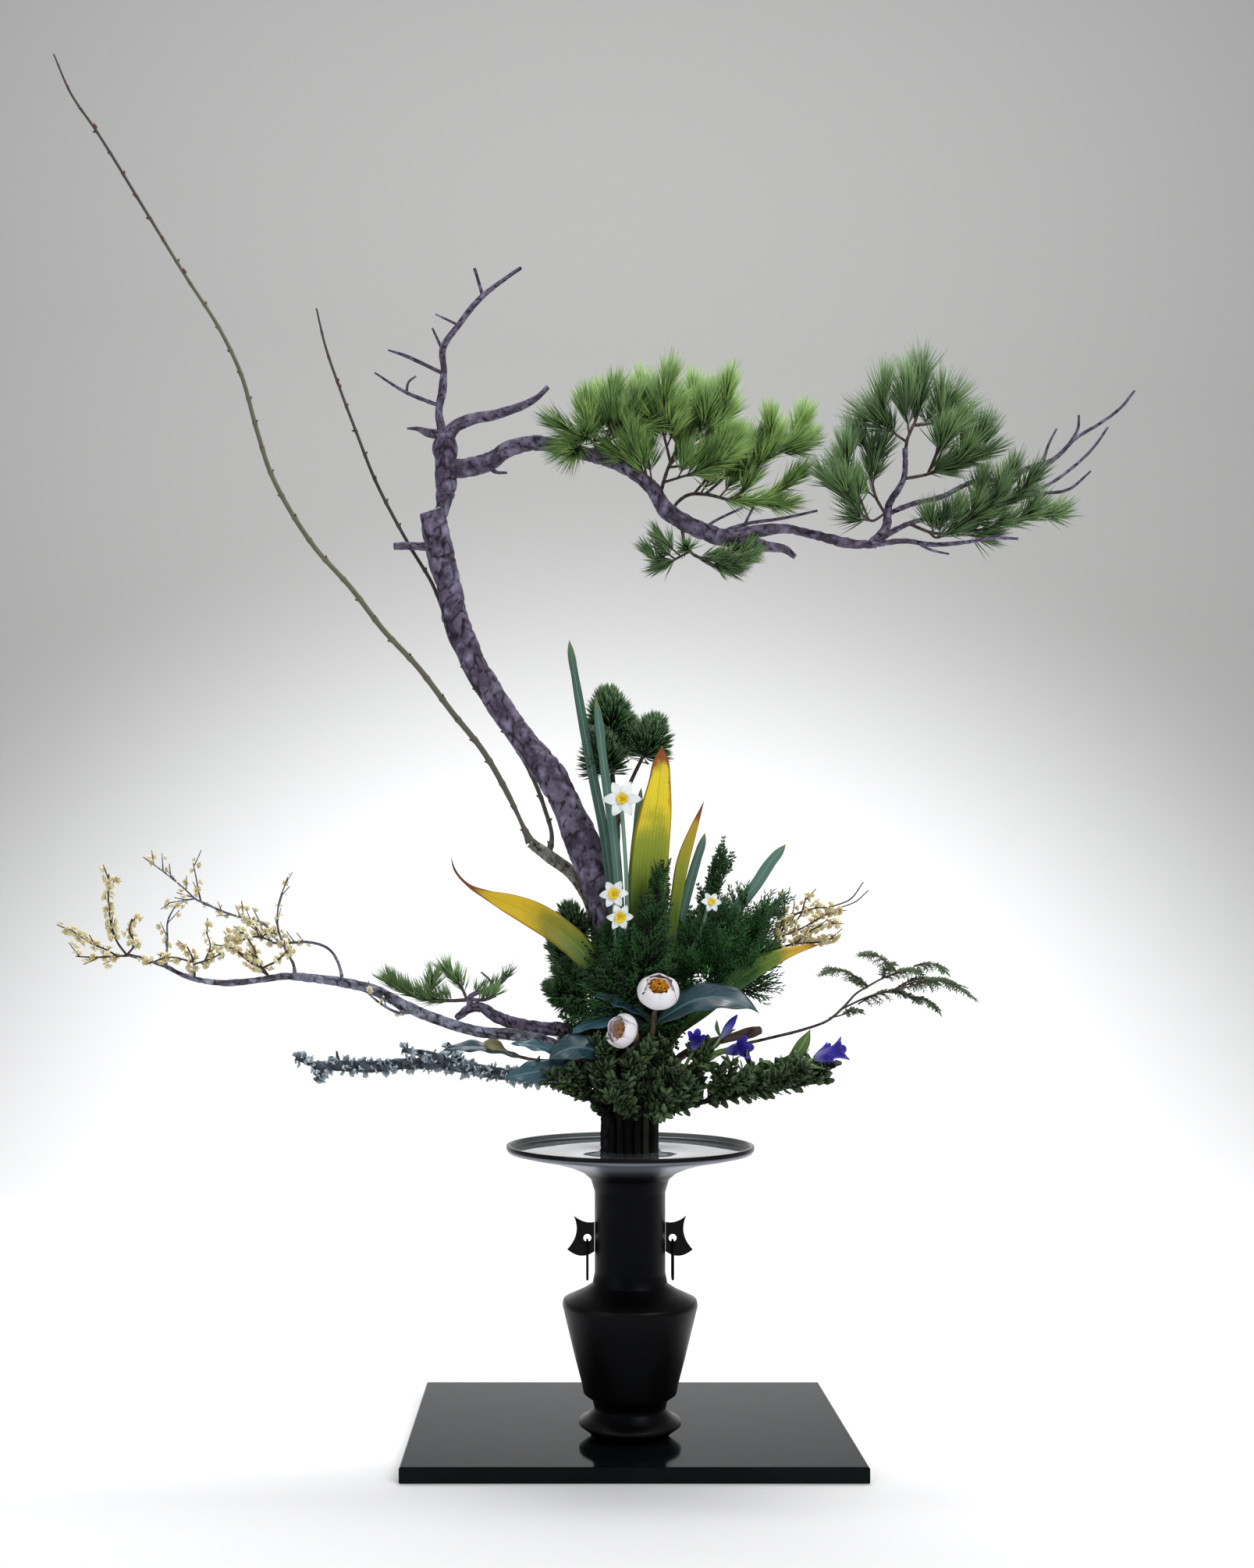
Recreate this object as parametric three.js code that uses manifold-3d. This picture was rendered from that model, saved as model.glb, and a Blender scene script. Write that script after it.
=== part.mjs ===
// Ikebana arrangement: a standing composition of pine, plum, wintersweet, narcissus, camellia and
// evergreens in a bronze vase with ring handles, on a lacquered board.
// Lengths are millimetres, +Z is up and the front looks towards -Y.
// The origin lies on the underside of the board, below the axis of the vase.

import * as THREE from 'three';
import { mergeVertices } from 'three/addons/utils/BufferGeometryUtils.js';
import Module from 'manifold-3d';

const wasm = await Module();
wasm.setup();

// Driving dimensions
const seam = 0.3;
const board = { length: 450, depth: 313, thickness: 16, middleY: 50.5, bevel: 1.2 };
const vaseHeight = 296;
const rimRadius = 126;
const neckRadius = 36;
const neckWall = 3;
const vaseSides = 24;
const waterDepth = 6;
const earThickness = 3.2;
const earHole = { x: 43.5, height: 200.7, radius: 4 };
const ringWire = 1.25;
const ringHalfWidth = 6.5;
const ringLength = 43;
const ringArc = 5;
const ringClearance = 0.85;
const strawFloor = 188;
const strawThickness = 8;
const strawTop = 254;
const trunkRadiusInVase = 13;
const stemRadius = 3.7;
const innerStems = { count: 13, radius: 18 };
const outerStems = { count: 19, radius: 26.5 };

const vaseFoot = board.thickness + seam;
const stemFoot = vaseFoot + strawFloor + seam;
const cutGap = seam + 0.1;
const plantGap = 1.6 * seam;
const leafGap = 0.1;
const twigTwist = 0.55;

// Colours and gloss
const bronze = { color: 0x2a2522, roughness: 0.42, metalness: 0.75 };
const lacquer = { color: 0x0c0c0e, roughness: 0.12, metalness: 0 };
const waterLook = { color: 0xb9bec0, roughness: 0.05, metalness: 0 };
const straw = { color: 0xb59a5c, roughness: 0.9, metalness: 0 };
const pineBark = { color: 0x5b4a4c, roughness: 0.9, metalness: 0 };
const pineNeedle = { color: 0x5f8a35, roughness: 0.6, metalness: 0 };
const shortNeedle = { color: 0x365c34, roughness: 0.6, metalness: 0 };
const plumBark = { color: 0x68704a, roughness: 0.7, metalness: 0 };
const sweetBark = { color: 0x75685c, roughness: 0.85, metalness: 0 };
const sweetBloom = { color: 0xe6d9a6, roughness: 0.55, metalness: 0 };
const lichenLook = { color: 0x93a0ad, roughness: 0.95, metalness: 0 };
const narcissusLeaf = { color: 0x4c7350, roughness: 0.5, metalness: 0 };
const narcissusPetal = { color: 0xf6f6f1, roughness: 0.5, metalness: 0 };
const narcissusCup = { color: 0xe8cf1e, roughness: 0.5, metalness: 0 };
const yellowBlade = { color: 0xc3c22c, roughness: 0.45, metalness: 0 };
const cypressLeaf = { color: 0x29512f, roughness: 0.7, metalness: 0 };
const camelliaLeaf = { color: 0x33524b, roughness: 0.3, metalness: 0 };
const camelliaPetal = { color: 0xf4f0ee, roughness: 0.5, metalness: 0 };
const camelliaStamen = { color: 0xd9a53c, roughness: 0.6, metalness: 0 };
const boxLeaf = { color: 0x3f5639, roughness: 0.5, metalness: 0 };
const gentianLeaf = { color: 0x5d7a47, roughness: 0.5, metalness: 0 };
const gentianPetal = { color: 0x4b3fa0, roughness: 0.5, metalness: 0 };
const hemlockLeaf = { color: 0x5d7659, roughness: 0.6, metalness: 0 };
const stubBark = { color: 0x61504a, roughness: 0.8, metalness: 0 };

const arrangement = new THREE.Group();

// Every random draw comes from this one seeded sequence
let seed = 20240117;
function draw(low = 0, high = 1) {
  seed = (seed + 0x6d2b79f5) | 0;
  let mix = Math.imul(seed ^ (seed >>> 15), 1 | seed);
  mix = (mix + Math.imul(mix ^ (mix >>> 7), 61 | mix)) ^ mix;
  return low + (high - low) * (((mix ^ (mix >>> 14)) >>> 0) / 4294967296);
}

const vector = (x, y, z) => new THREE.Vector3(x, y, z);
const place = ([x, y, z]) => vector(x, y, z);
const degrees = THREE.MathUtils.degToRad;

// The bare shape, so that equal corners can be joined
function bareOf(geometry) {
  const bare = geometry.clone();
  bare.deleteAttribute('normal');
  bare.deleteAttribute('uv');
  return bare;
}

// A closed solid from a ready-made shape, with its faces turned outwards
function solid(geometry) {
  const merged = mergeVertices(bareOf(geometry), 1e-4);
  const corners = merged.attributes.position;
  const faces = [];
  let volume = 0;
  for (let i = 0; i < merged.index.count; i += 3) {
    const [a, b, c] = [0, 1, 2].map((k) => merged.index.getX(i + k));
    if (a === b || b === c || c === a) continue;
    faces.push([a, b, c]);
    const [p, q, r] = [a, b, c].map((k) => new THREE.Vector3().fromBufferAttribute(corners, k));
    volume += p.dot(q.cross(r));
  }
  const triVerts = faces.flatMap(([a, b, c]) => (volume > 0 ? [a, b, c] : [a, c, b]));
  return new wasm.Manifold(new wasm.Mesh({
    numProp: 3,
    vertProperties: Float32Array.from(corners.array),
    triVerts: Uint32Array.from(triVerts),
  }));
}

function addMesh(name, body, look) {
  const { vertProperties, triVerts } = body.getMesh();
  const geometry = new THREE.BufferGeometry();
  geometry.setAttribute('position', new THREE.BufferAttribute(Float32Array.from(vertProperties), 3));
  geometry.setIndex(new THREE.BufferAttribute(Uint32Array.from(triVerts), 1));
  geometry.computeVertexNormals();
  const mesh = new THREE.Mesh(geometry, new THREE.MeshStandardMaterial(look));
  mesh.name = name;
  arrangement.add(mesh);
  return mesh;
}

// The direction of a row of points at each of them
function directions(points) {
  return points.map((point, i) => {
    const ahead = points[Math.min(i + 1, points.length - 1)].clone().sub(point).normalize();
    const behind = point.clone().sub(points[Math.max(i - 1, 0)]).normalize();
    return ahead.add(behind).normalize();
  });
}

function square(direction) {
  const guide = Math.abs(direction.z) < 0.9 ? vector(0, 0, 1) : vector(1, 0, 0);
  return guide.cross(direction).normalize();
}

// Two directions square to an axis and to each other
function basis(axis) {
  const out = axis.clone().normalize();
  const across = square(out);
  return { out, across, over: out.clone().cross(across) };
}

const radialOf = (frame, turn) => frame.across.clone().multiplyScalar(Math.cos(turn))
  .addScaledVector(frame.over, Math.sin(turn));

// Rings round stations [x, y, z, radius]; gnarl makes them uneven, grow fatter, twist turns them
function stemRings(stations, sides, { gnarl = 0, grow = 0, twist = 0 } = {}) {
  const points = stations.map(place);
  const heading = directions(points);
  let across = square(heading[0]);
  return points.map((point, i) => {
    const radius = stations[i][3];
    across = across.clone().addScaledVector(heading[i], -across.dot(heading[i])).normalize();
    const frame = { across, over: heading[i].clone().cross(across) };
    return Array.from({ length: sides }, (_, k) => {
      const reach = radius * (1 + gnarl * Math.sin(3.1 * i + 2.3 * k)) + grow;
      return point.clone().addScaledVector(radialOf(frame, (2 * Math.PI * k) / sides + twist * i), reach);
    });
  });
}

// Rings of a leaf along a spine: a ridge above, a keel below, pointed where the width is nought
function bladeRings(spine, widths, thickness, face, fold = 0) {
  const heading = directions(spine);
  return spine.map((point, i) => {
    if (widths[i] === 0) return [point.clone()];
    const side = heading[i].clone().cross(face).normalize();
    const over = side.clone().cross(heading[i]);
    const half = widths[i] / 2;
    const edge = (sign) => point.clone().addScaledVector(side, sign * half)
      .addScaledVector(over, fold * half);
    return [
      edge(1),
      point.clone().addScaledVector(over, thickness / 2),
      edge(-1),
      point.clone().addScaledVector(over, -thickness / 2),
    ];
  });
}

// Whether an edge of the first triangle passes through the second
function pierces(one, other) {
  const [p, q, r] = other;
  const normal = q.clone().sub(p).cross(r.clone().sub(p)).normalize();
  const heights = one.map((corner) => corner.clone().sub(p).dot(normal));
  return one.some((corner, k) => {
    const next = (k + 1) % 3;
    if (Math.abs(heights[k]) < 1e-7 || Math.abs(heights[next]) < 1e-7) return false;
    if (heights[k] * heights[next] > 0) return false;
    const meet = corner.clone().lerp(one[next], heights[k] / (heights[k] - heights[next]));
    return other.every((from, m) => other[(m + 1) % 3].clone().sub(from)
      .cross(meet.clone().sub(from)).dot(normal) > 1e-7);
  });
}

// A closed skin of triangles; leaves, needles and petals can be grown out of its single faces
class Skin {
  constructor(rings) {
    this.corners = [];
    this.faces = [];
    const lines = rings.map((points) => this.store(points));
    for (let k = 1; k + 1 < lines[0].length; k += 1) {
      this.faces.push([lines[0][0], lines[0][k + 1], lines[0][k]]);
    }
    this.sides = [];
    lines.slice(1).forEach((line, i) => this.sides.push(this.bridge(lines[i], line)));
    const last = lines.at(-1);
    for (let k = 1; k + 1 < last.length; k += 1) this.faces.push([last[0], last[k], last[k + 1]]);
  }

  store(points) {
    this.corners.push(...points);
    return points.map((_, k) => this.corners.length - points.length + k);
  }

  // Triangles between two rings of any number of corners; gives back the numbers of the new faces
  bridge(lower, upper) {
    const first = this.faces.length;
    let a = 0;
    let b = 0;
    while (a < lower.length || b < upper.length) {
      const stepBelow = b === upper.length
        || (a < lower.length && (a + 1) / lower.length <= (b + 1) / upper.length);
      const below = lower[a % lower.length];
      const above = upper[b % upper.length];
      if (stepBelow) {
        if (lower.length > 1) this.faces.push([below, lower[(a + 1) % lower.length], above]);
        a += 1;
      } else {
        if (upper.length > 1) this.faces.push([below, upper[(b + 1) % upper.length], above]);
        b += 1;
      }
    }
    return Array.from({ length: this.faces.length - first }, (_, k) => first + k);
  }

  middle(face) {
    const sum = this.faces[face].reduce((total, k) => total.add(this.corners[k]), vector(0, 0, 0));
    return sum.divideScalar(3);
  }

  facing(face) {
    const [p, q, r] = this.faces[face].map((k) => this.corners[k]);
    return q.clone().sub(p).cross(r.clone().sub(p)).normalize();
  }

  // Whether any of these faces passes through another face of the skin
  crossed(fresh) {
    const triangle = (face) => face.map((k) => this.corners[k]);
    const boxes = this.faces.map((face) => new THREE.Box3().setFromPoints(triangle(face)));
    return fresh.some((i) => this.faces.some((other, j) => {
      if (i === j || !boxes[i].intersectsBox(boxes[j])) return false;
      const [one, two] = [triangle(this.faces[i]), triangle(other)];
      return pierces(one, two) || pierces(two, one);
    }));
  }

  // Grows rings out of one face, each turned so that its corners follow the ring below.
  // Gives back the new faces row by row, or nothing where they would cross the skin itself.
  grow(face, rings) {
    const [faces, cornerCount] = [[...this.faces], this.corners.length];
    let lower = this.faces[face];
    const fresh = [];
    rings.forEach((points, i) => {
      const shift = (turn) => points.reduce((sum, _, k) => sum
        + points[(k + turn) % points.length].distanceTo(this.corners[lower[k % lower.length]]), 0);
      const shifts = points.map((_, turn) => shift(turn));
      const turn = shifts.indexOf(Math.min(...shifts));
      const upper = this.store([...points.slice(turn), ...points.slice(0, turn)]);
      const added = this.bridge(lower, upper);
      if (i === 0) this.faces[face] = this.faces.pop();
      fresh.push(i === 0 ? [...added.slice(0, -1), face] : added);
      lower = upper;
    });
    for (let k = 1; k + 1 < lower.length; k += 1) this.faces.push([lower[0], lower[k], lower[k + 1]]);
    const newest = this.faces.map((_, k) => k).filter((k) => k === face || k >= faces.length);
    if (!this.crossed(newest)) return fresh;
    this.faces = faces;
    this.corners.length = cornerCount;
    return null;
  }

  solid() {
    const faces = this.faces;
    const volume = faces.reduce((sum, face) => {
      const [p, q, r] = face.map((k) => this.corners[k]);
      return sum + p.dot(q.clone().cross(r));
    }, 0);
    const turned = volume > 0 ? faces : faces.map(([p, q, r]) => [p, r, q]);
    return new wasm.Manifold(new wasm.Mesh({
      numProp: 3,
      vertProperties: Float32Array.from(this.corners.flatMap((corner) => corner.toArray())),
      triVerts: Uint32Array.from(turned.flat()),
    }));
  }
}

// Space already taken, as rods: the next leaf or needle is left out where it would cross one
const rods = [];

function rodGap(one, other) {
  const p = one.to.clone().sub(one.from);
  const q = other.to.clone().sub(other.from);
  const w = one.from.clone().sub(other.from);
  const [pp, qq, pq, pw, qw] = [p.dot(p), q.dot(q), p.dot(q), p.dot(w), q.dot(w)];
  const spread = pp * qq - pq * pq;
  const clamp = (value) => THREE.MathUtils.clamp(value, 0, 1);
  let s = spread > 1e-9 ? clamp((pq * qw - qq * pw) / spread) : 0;
  const t = qq > 1e-9 ? clamp((pq * s + qw) / qq) : 0;
  s = pp > 1e-9 ? clamp((pq * t - pw) / pp) : 0;
  const gap = w.addScaledVector(p, s).addScaledVector(q, -t).length();
  return gap - one.radius - other.radius;
}

function rodsAlong(owner, stations) {
  return stations.slice(1).map((station, i) => {
    const [from, to] = [place(stations[i]), place(station)];
    const radius = Math.max(stations[i][3], station[3]);
    const box = new THREE.Box3().setFromPoints([from, to]).expandByScalar(radius + seam);
    return { owner, from, to, radius, box };
  });
}

function isFree(owner, lines) {
  return lines.flatMap((line) => rodsAlong(owner, line)).every((rod) => rods.every((other) => {
    if (!rod.box.intersectsBox(other.box)) return true;
    return rodGap(rod, other) > (other.owner === owner ? leafGap : plantGap);
  }));
}

function take(owner, lines) {
  for (const line of lines) rods.push(...rodsAlong(owner, line));
}

// Even stations along a stem, so that its faces are small enough to carry leaves
function evenly(stations, spacing) {
  const points = stations.map(place);
  const lengths = points.slice(1).map((point, i) => point.distanceTo(points[i]));
  const total = lengths.reduce((sum, length) => sum + length, 0);
  const steps = Math.max(2, Math.round(total / spacing));
  const even = [];
  let k = 0;
  let passed = 0;
  for (let i = 0; i <= steps; i += 1) {
    const along = (total * i) / steps;
    while (k < lengths.length - 1 && along > passed + lengths[k]) {
      passed += lengths[k];
      k += 1;
    }
    const share = Math.min((along - passed) / lengths[k], 1);
    even.push(stations[k].map((value, n) => THREE.MathUtils.lerp(value, stations[k + 1][n], share)));
  }
  return even;
}

// The side faces of a stem, row by row along its line, ready to carry leaves
class Twig {
  constructor(skin, rows, line) {
    this.skin = skin;
    this.rows = rows;
    this.line = line;
  }
}

// A plant piece: stems and leaves gathered and then fused into one body
class Plant {
  constructor(name, look, tolerance = 0.03) {
    this.name = name;
    this.look = look;
    this.tolerance = tolerance;
    this.skins = [];
    this.cuts = [];
  }

  stem(stations, sides, gnarl = 0) {
    this.add(stemRings(stations, sides, { gnarl }), [stations]);
  }

  // A twig with faces small enough to grow leaves from
  twig(stations, spacing, sides = 3) {
    const even = evenly(stations, spacing);
    const skin = this.add(stemRings(even, sides, { twist: twigTwist }), [stations]);
    return new Twig(skin, skin.sides, even);
  }

  // A side twig drawn out of one of the nearest faces of another, or else sunk into it
  sprout(parent, stations, spacing) {
    const even = evenly(stations, spacing);
    const [start, next] = even.map(place);
    const ahead = next.clone().sub(start).normalize();
    const { skin } = parent;
    const score = (face) => skin.middle(face).distanceTo(start) - 2 * skin.facing(face).dot(ahead);
    const nearest = parent.rows.flat().sort((a, b) => score(a) - score(b)).slice(0, 6);
    const rings = stemRings(even, 3, { twist: twigTwist }).slice(1);
    for (const root of nearest) {
      const rows = skin.grow(root, rings);
      if (rows) {
        take(this, [stations]);
        return new Twig(skin, rows.slice(1), even.slice(1));
      }
    }
    return this.twig(stations, spacing);
  }

  // A branching spray: the first line is the main twig, the others leave the twig given by number
  spray(lines, spacing, parents = []) {
    const twigs = [];
    lines.forEach((line, i) => {
      const parent = twigs[parents[i] ?? 0];
      twigs.push(i === 0 ? this.twig(line, spacing) : this.sprout(parent, line, spacing));
    });
    return twigs;
  }

  // Seats this piece on a stem of another: what would enter that stem is cut away
  seatOn(stations, sides, gnarl = 0) {
    this.cuts.push(new Skin(stemRings(stations, sides, { gnarl, grow: cutGap })).solid());
  }

  add(rings, lines) {
    const skin = new Skin(rings);
    this.skins.push(skin);
    take(this, lines);
    return skin;
  }

  blade(stations, thickness, face, fold = 0) {
    const spine = stations.map(place);
    const widths = stations.map((station) => station[3]);
    const heading = directions(spine);
    const lines = [-0.4, -0.2, 0, 0.2, 0.4].map((shift) => spine.map((point, i) => {
      const side = heading[i].clone().cross(face).normalize();
      const at = point.clone().addScaledVector(side, shift * widths[i]);
      return [...at, Math.max(widths[i] * 0.1, thickness / 2)];
    }));
    return this.add(bladeRings(spine, widths, thickness, face, fold), lines);
  }

  finish() {
    let whole = wasm.Manifold.union(this.skins.map((skin) => skin.solid()));
    if (this.cuts.length > 0) whole = whole.subtract(wasm.Manifold.union(this.cuts));
    const bodies = whole.simplify(this.tolerance).decompose();
    const body = bodies.reduce((best, next) => (next.volume() > best.volume() ? next : best));
    addMesh(this.name, body, this.look);
  }
}

// Runs through the faces of a twig in even steps and hands each one on with its directions
function alongFaces(twig, count, from, grow) {
  const choices = twig.rows.flatMap((faces, i) => faces.map((face) => ({ face, row: i })))
    .filter(({ row }) => (row + 0.5) / twig.rows.length >= from);
  const step = Math.max(1, choices.length / count);
  for (let i = 0; i < choices.length; i += step) {
    const { face, row } = choices[Math.floor(i)];
    const ahead = place(twig.line[row + 1]).sub(place(twig.line[row])).normalize();
    const outward = twig.skin.facing(face).projectOnPlane(ahead).normalize();
    const along = (row + 0.5) / twig.rows.length;
    grow({ face, foot: twig.skin.middle(face), ahead, outward, along });
  }
}

// Needles grow round a twig and close up towards its tip
function bristle(plant, twig, { count, length, lean, from = 0, rise = 0 }) {
  alongFaces(twig, count, from, ({ face, foot, ahead, outward, along }) => {
    const opening = degrees(lean * (1 - 0.55 * along ** 4) + draw(-6, 6));
    const direction = ahead.clone().multiplyScalar(Math.cos(opening))
      .addScaledVector(outward, Math.sin(opening));
    direction.add(vector(draw(-0.15, 0.15), draw(-0.15, 0.15), rise)).normalize();
    const tip = foot.clone().addScaledVector(direction, length * draw(0.82, 1.1));
    const [start, half] = [4 / length, 0.4].map((s) => foot.clone().lerp(tip, s));
    const line = [[...start, 0.9], [...half, 0.6], [...tip, 0.3]];
    if (isFree(plant, [line]) && twig.skin.grow(face, [[tip]])) take(plant, [line]);
  });
}

// A small leaf grown from a face: it widens to three corners and ends in a point
function growLeaf(plant, skin, face, tip, width, thickness, upper) {
  const foot = skin.middle(face);
  const ahead = tip.clone().sub(foot).normalize();
  const side = ahead.clone().cross(upper).normalize();
  const over = side.clone().cross(ahead);
  const middle = foot.clone().lerp(tip, 0.55);
  const left = middle.clone().addScaledVector(side, width / 2);
  const right = middle.clone().addScaledVector(side, -width / 2);
  const ridge = middle.clone().addScaledVector(over, thickness);
  const start = foot.clone().lerp(tip, 0.3);
  const lines = [[[...start, 0.9], [...tip, 0.6]],
    ...[left, right].map((edge) => [[...start.clone().lerp(edge, 0.4), 0.8], [...edge, 0.6], [...tip, 0.5]])];
  if (isFree(plant, lines) && skin.grow(face, [[left, right, ridge], [tip]])) take(plant, lines);
}

function leafTwig(plant, twig, { count, length, width, thickness, lean, from = 0.15 }) {
  alongFaces(twig, count, from, ({ face, foot, ahead, outward }) => {
    const opening = degrees(lean + draw(-10, 10));
    const direction = ahead.clone().multiplyScalar(Math.cos(opening))
      .addScaledVector(outward, Math.sin(opening));
    const tip = foot.clone().addScaledVector(direction, length * draw(0.8, 1.15));
    const upper = ahead.clone().addScaledVector(outward, -0.4).add(vector(0, -0.3, 0.5));
    growLeaf(plant, twig.skin, face, tip, width * draw(0.85, 1.1), thickness, upper);
  });
}

// A feathered spray grown from a face: a rib whose side faces are drawn out into pointed leaflets
function growFrond(plant, skin, face, tip, { width, steps, droop = 3 }) {
  const foot = skin.middle(face);
  const ahead = tip.clone().sub(foot).normalize();
  const side = ahead.clone().cross(vector(0.1, -0.75, 0.65)).normalize();
  const over = side.clone().cross(ahead);
  const at = (s) => foot.clone().lerp(tip, s).addScaledVector(over, droop * Math.sin(Math.PI * s));
  const rib = [[...at(0.15), 1.1], [...at(0.55), 1], [...at(1), 0.8]];
  if (!isFree(plant, [rib])) return false;
  const rings = [];
  for (let i = 1; i < steps; i += 1) {
    const middle = at(i / steps);
    rings.push([[1, 0], [-1, 0], [0, 1]].map(([u, v]) => middle.clone()
      .addScaledVector(side, 1.1 * u).addScaledVector(over, 1.3 * v)));
  }
  rings.push([at(1)]);
  const segments = skin.grow(face, rings);
  if (!segments) return false;
  take(plant, [rib]);
  segments.slice(0, -1).forEach((faces, i) => {
    for (const sign of [1, -1]) {
      const facing = faces.map((one) => skin.facing(one).dot(side) * sign);
      const best = faces[facing.indexOf(Math.max(...facing))];
      const s = (i + 0.5) / steps;
      const reach = (width / 2) * Math.sin(Math.PI * (0.22 + 0.68 * s)) ** 0.7;
      const start = skin.middle(best);
      const end = start.clone().addScaledVector(side, sign * reach).addScaledVector(ahead, reach * 0.75)
        .addScaledVector(over, -0.15 * reach);
      const lines = skin.faces[best].map((corner) => [
        [...skin.corners[corner].clone().lerp(end, 0.4), 0.5], [...end, 0.5]]);
      if (isFree(plant, lines) && skin.grow(best, [[end]])) take(plant, lines);
    }
  });
  return true;
}

function frondTwig(plant, twig, { count, length, lean, from, rise = 0.25, ...shape }) {
  alongFaces(twig, count, from, ({ face, foot, ahead, outward, along }) => {
    const opening = degrees(lean * (1 - 0.5 * along) + draw(-8, 8));
    const direction = ahead.clone().multiplyScalar(Math.cos(opening))
      .addScaledVector(outward, Math.sin(opening));
    direction.z += rise;
    direction.normalize();
    const reach = length * draw(0.75, 1.1);
    for (const share of [1, 0.75, 0.55]) {
      const tip = foot.clone().addScaledVector(direction, reach * share);
      if (growFrond(plant, twig.skin, face, tip, shape)) return;
    }
  });
}

// A flower seen from the front as a star with notches between its petals
function starRing(heart, frame, petals, corners) {
  return Array.from({ length: petals }, (_, k) => corners.map(([share, reach, forward]) => {
    const turn = (2 * Math.PI * (k + share)) / petals;
    return heart.clone().addScaledVector(radialOf(frame, turn), reach)
      .addScaledVector(frame.out, forward);
  })).flat();
}

function roundRing(heart, frame, sides, reach, forward) {
  return starRing(heart, frame, sides, [[0, reach, forward]]);
}

// Small five-petalled blossoms grown out of the faces of a twig
function blossoms(plant, twig, { count, radius, from = 0.15 }) {
  alongFaces(twig, count, from, ({ face, foot, ahead, outward }) => {
    const axis = outward.clone().addScaledVector(ahead, draw(0, 0.8)).add(vector(0, -0.3, 0)).normalize();
    const size = radius * draw(0.85, 1.15);
    const heart = foot.clone().addScaledVector(axis, size * 0.75);
    const frame = basis(axis);
    const lines = [0, 1, 2].map((k) => {
      const radial = radialOf(frame, (2 * Math.PI * k) / 3);
      return [[...heart.clone().addScaledVector(radial, size * 0.8), 1],
        [...heart.clone().addScaledVector(radial, -size * 0.5), 1]];
    });
    const star = starRing(heart, frame, 5, [[0, size, size * 0.3], [0.5, size * 0.5, 0]]);
    const eye = [heart.clone().addScaledVector(axis, size * 0.15)];
    if (isFree(plant, lines) && twig.skin.grow(face, [star, eye])) take(plant, lines);
  });
}

// A tuft: a small core from whose faces needles stand out to all sides but straight down
function tuft(plant, centre, core, length) {
  const ball = mergeVertices(bareOf(new THREE.IcosahedronGeometry(1, 1)), 1e-4);
  const lowest = -0.55;
  const corners = Array.from({ length: ball.attributes.position.count }, (_, i) => {
    const corner = new THREE.Vector3().fromBufferAttribute(ball.attributes.position, i);
    return centre.clone().addScaledVector(corner, core);
  });
  const skin = new Skin([[corners[0]]]);
  skin.corners = corners;
  skin.faces = Array.from({ length: ball.index.count / 3 }, (_, i) => [0, 1, 2]
    .map((k) => ball.index.getX(3 * i + k)));
  for (let face = 0; face < ball.index.count / 3; face += 1) {
    const foot = skin.middle(face);
    const direction = foot.clone().sub(centre).normalize();
    if (direction.z < lowest) continue;
    direction.add(vector(draw(-0.12, 0.12), draw(-0.12, 0.12), 0.25)).normalize();
    const tip = foot.clone().addScaledVector(direction, length * draw(0.8, 1.1));
    const line = [[...foot.clone().lerp(tip, 0.3), 0.9], [...tip, 0.3]];
    if (isFree(plant, [line]) && skin.grow(face, [[tip]])) take(plant, [line]);
  }
  plant.skins.push(skin);
}

// A place in the packed column of stems: ring, number counted anticlockwise from the right
function column(ring, number, top, ...onward) {
  const angle = (2 * Math.PI * number) / ring.count;
  const x = Number((ring.radius * Math.cos(angle)).toFixed(2));
  const y = Number((ring.radius * Math.sin(angle)).toFixed(2));
  return [[x, y, stemFoot, stemRadius], [x, y, top, stemRadius], ...onward];
}

// Where each flower sits, which way it looks, and how far its back lies behind that point
const flowers = {
  camelliaOpen: { heart: vector(24, -68, 462), axis: vector(0.05, -0.85, 0.5), back: 5 },
  camelliaSide: { heart: vector(-4, -70, 429), axis: vector(-0.78, -0.6, 0.12), back: 5 },
  narcissusUpper: { heart: vector(-10, -47, 659), axis: vector(0, -1, 0.1), back: 7 },
  narcissusMiddle: { heart: vector(-18, -58, 564), axis: vector(-0.1, -1, 0.2), back: 7 },
  narcissusLower: { heart: vector(-13, -62, 543), axis: vector(0.15, -1, -0.25), back: 7 },
  narcissusRight: { heart: vector(78, -44, 557), axis: vector(0.2, -1, 0.2), back: 7 },
  gentianLeft: { heart: vector(60.5, -56, 412), axis: vector(0.05, -0.75, 0.6), back: 0 },
  gentianMiddle: { heart: vector(92.5, -53, 409.5), axis: vector(0.6, -0.75, 0.2), back: 0 },
  gentianRight: { heart: vector(180.5, -50.6, 402.2), axis: vector(0.9, -0.25, 0.35), back: 0 },
};

// The last two stations of a flower's stalk, close behind its back
function stalkEnd({ heart, axis, back }, radius) {
  const { out } = basis(axis);
  return [4, 0].map((run) => [...heart.clone().addScaledVector(out, -back - seam - run), radius]);
}

// Board
const boardOutline = new THREE.Shape();
boardOutline.moveTo(-board.length / 2 + board.bevel, -board.depth / 2 + board.bevel);
boardOutline.lineTo(board.length / 2 - board.bevel, -board.depth / 2 + board.bevel);
boardOutline.lineTo(board.length / 2 - board.bevel, board.depth / 2 - board.bevel);
boardOutline.lineTo(-board.length / 2 + board.bevel, board.depth / 2 - board.bevel);
const boardGeometry = new THREE.ExtrudeGeometry(boardOutline, {
  depth: board.thickness - 2 * board.bevel,
  bevelThickness: board.bevel,
  bevelSize: board.bevel,
  bevelSegments: 1,
});
boardGeometry.translate(0, board.middleY, board.bevel);
addMesh('display_board', solid(boardGeometry), lacquer);

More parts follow.
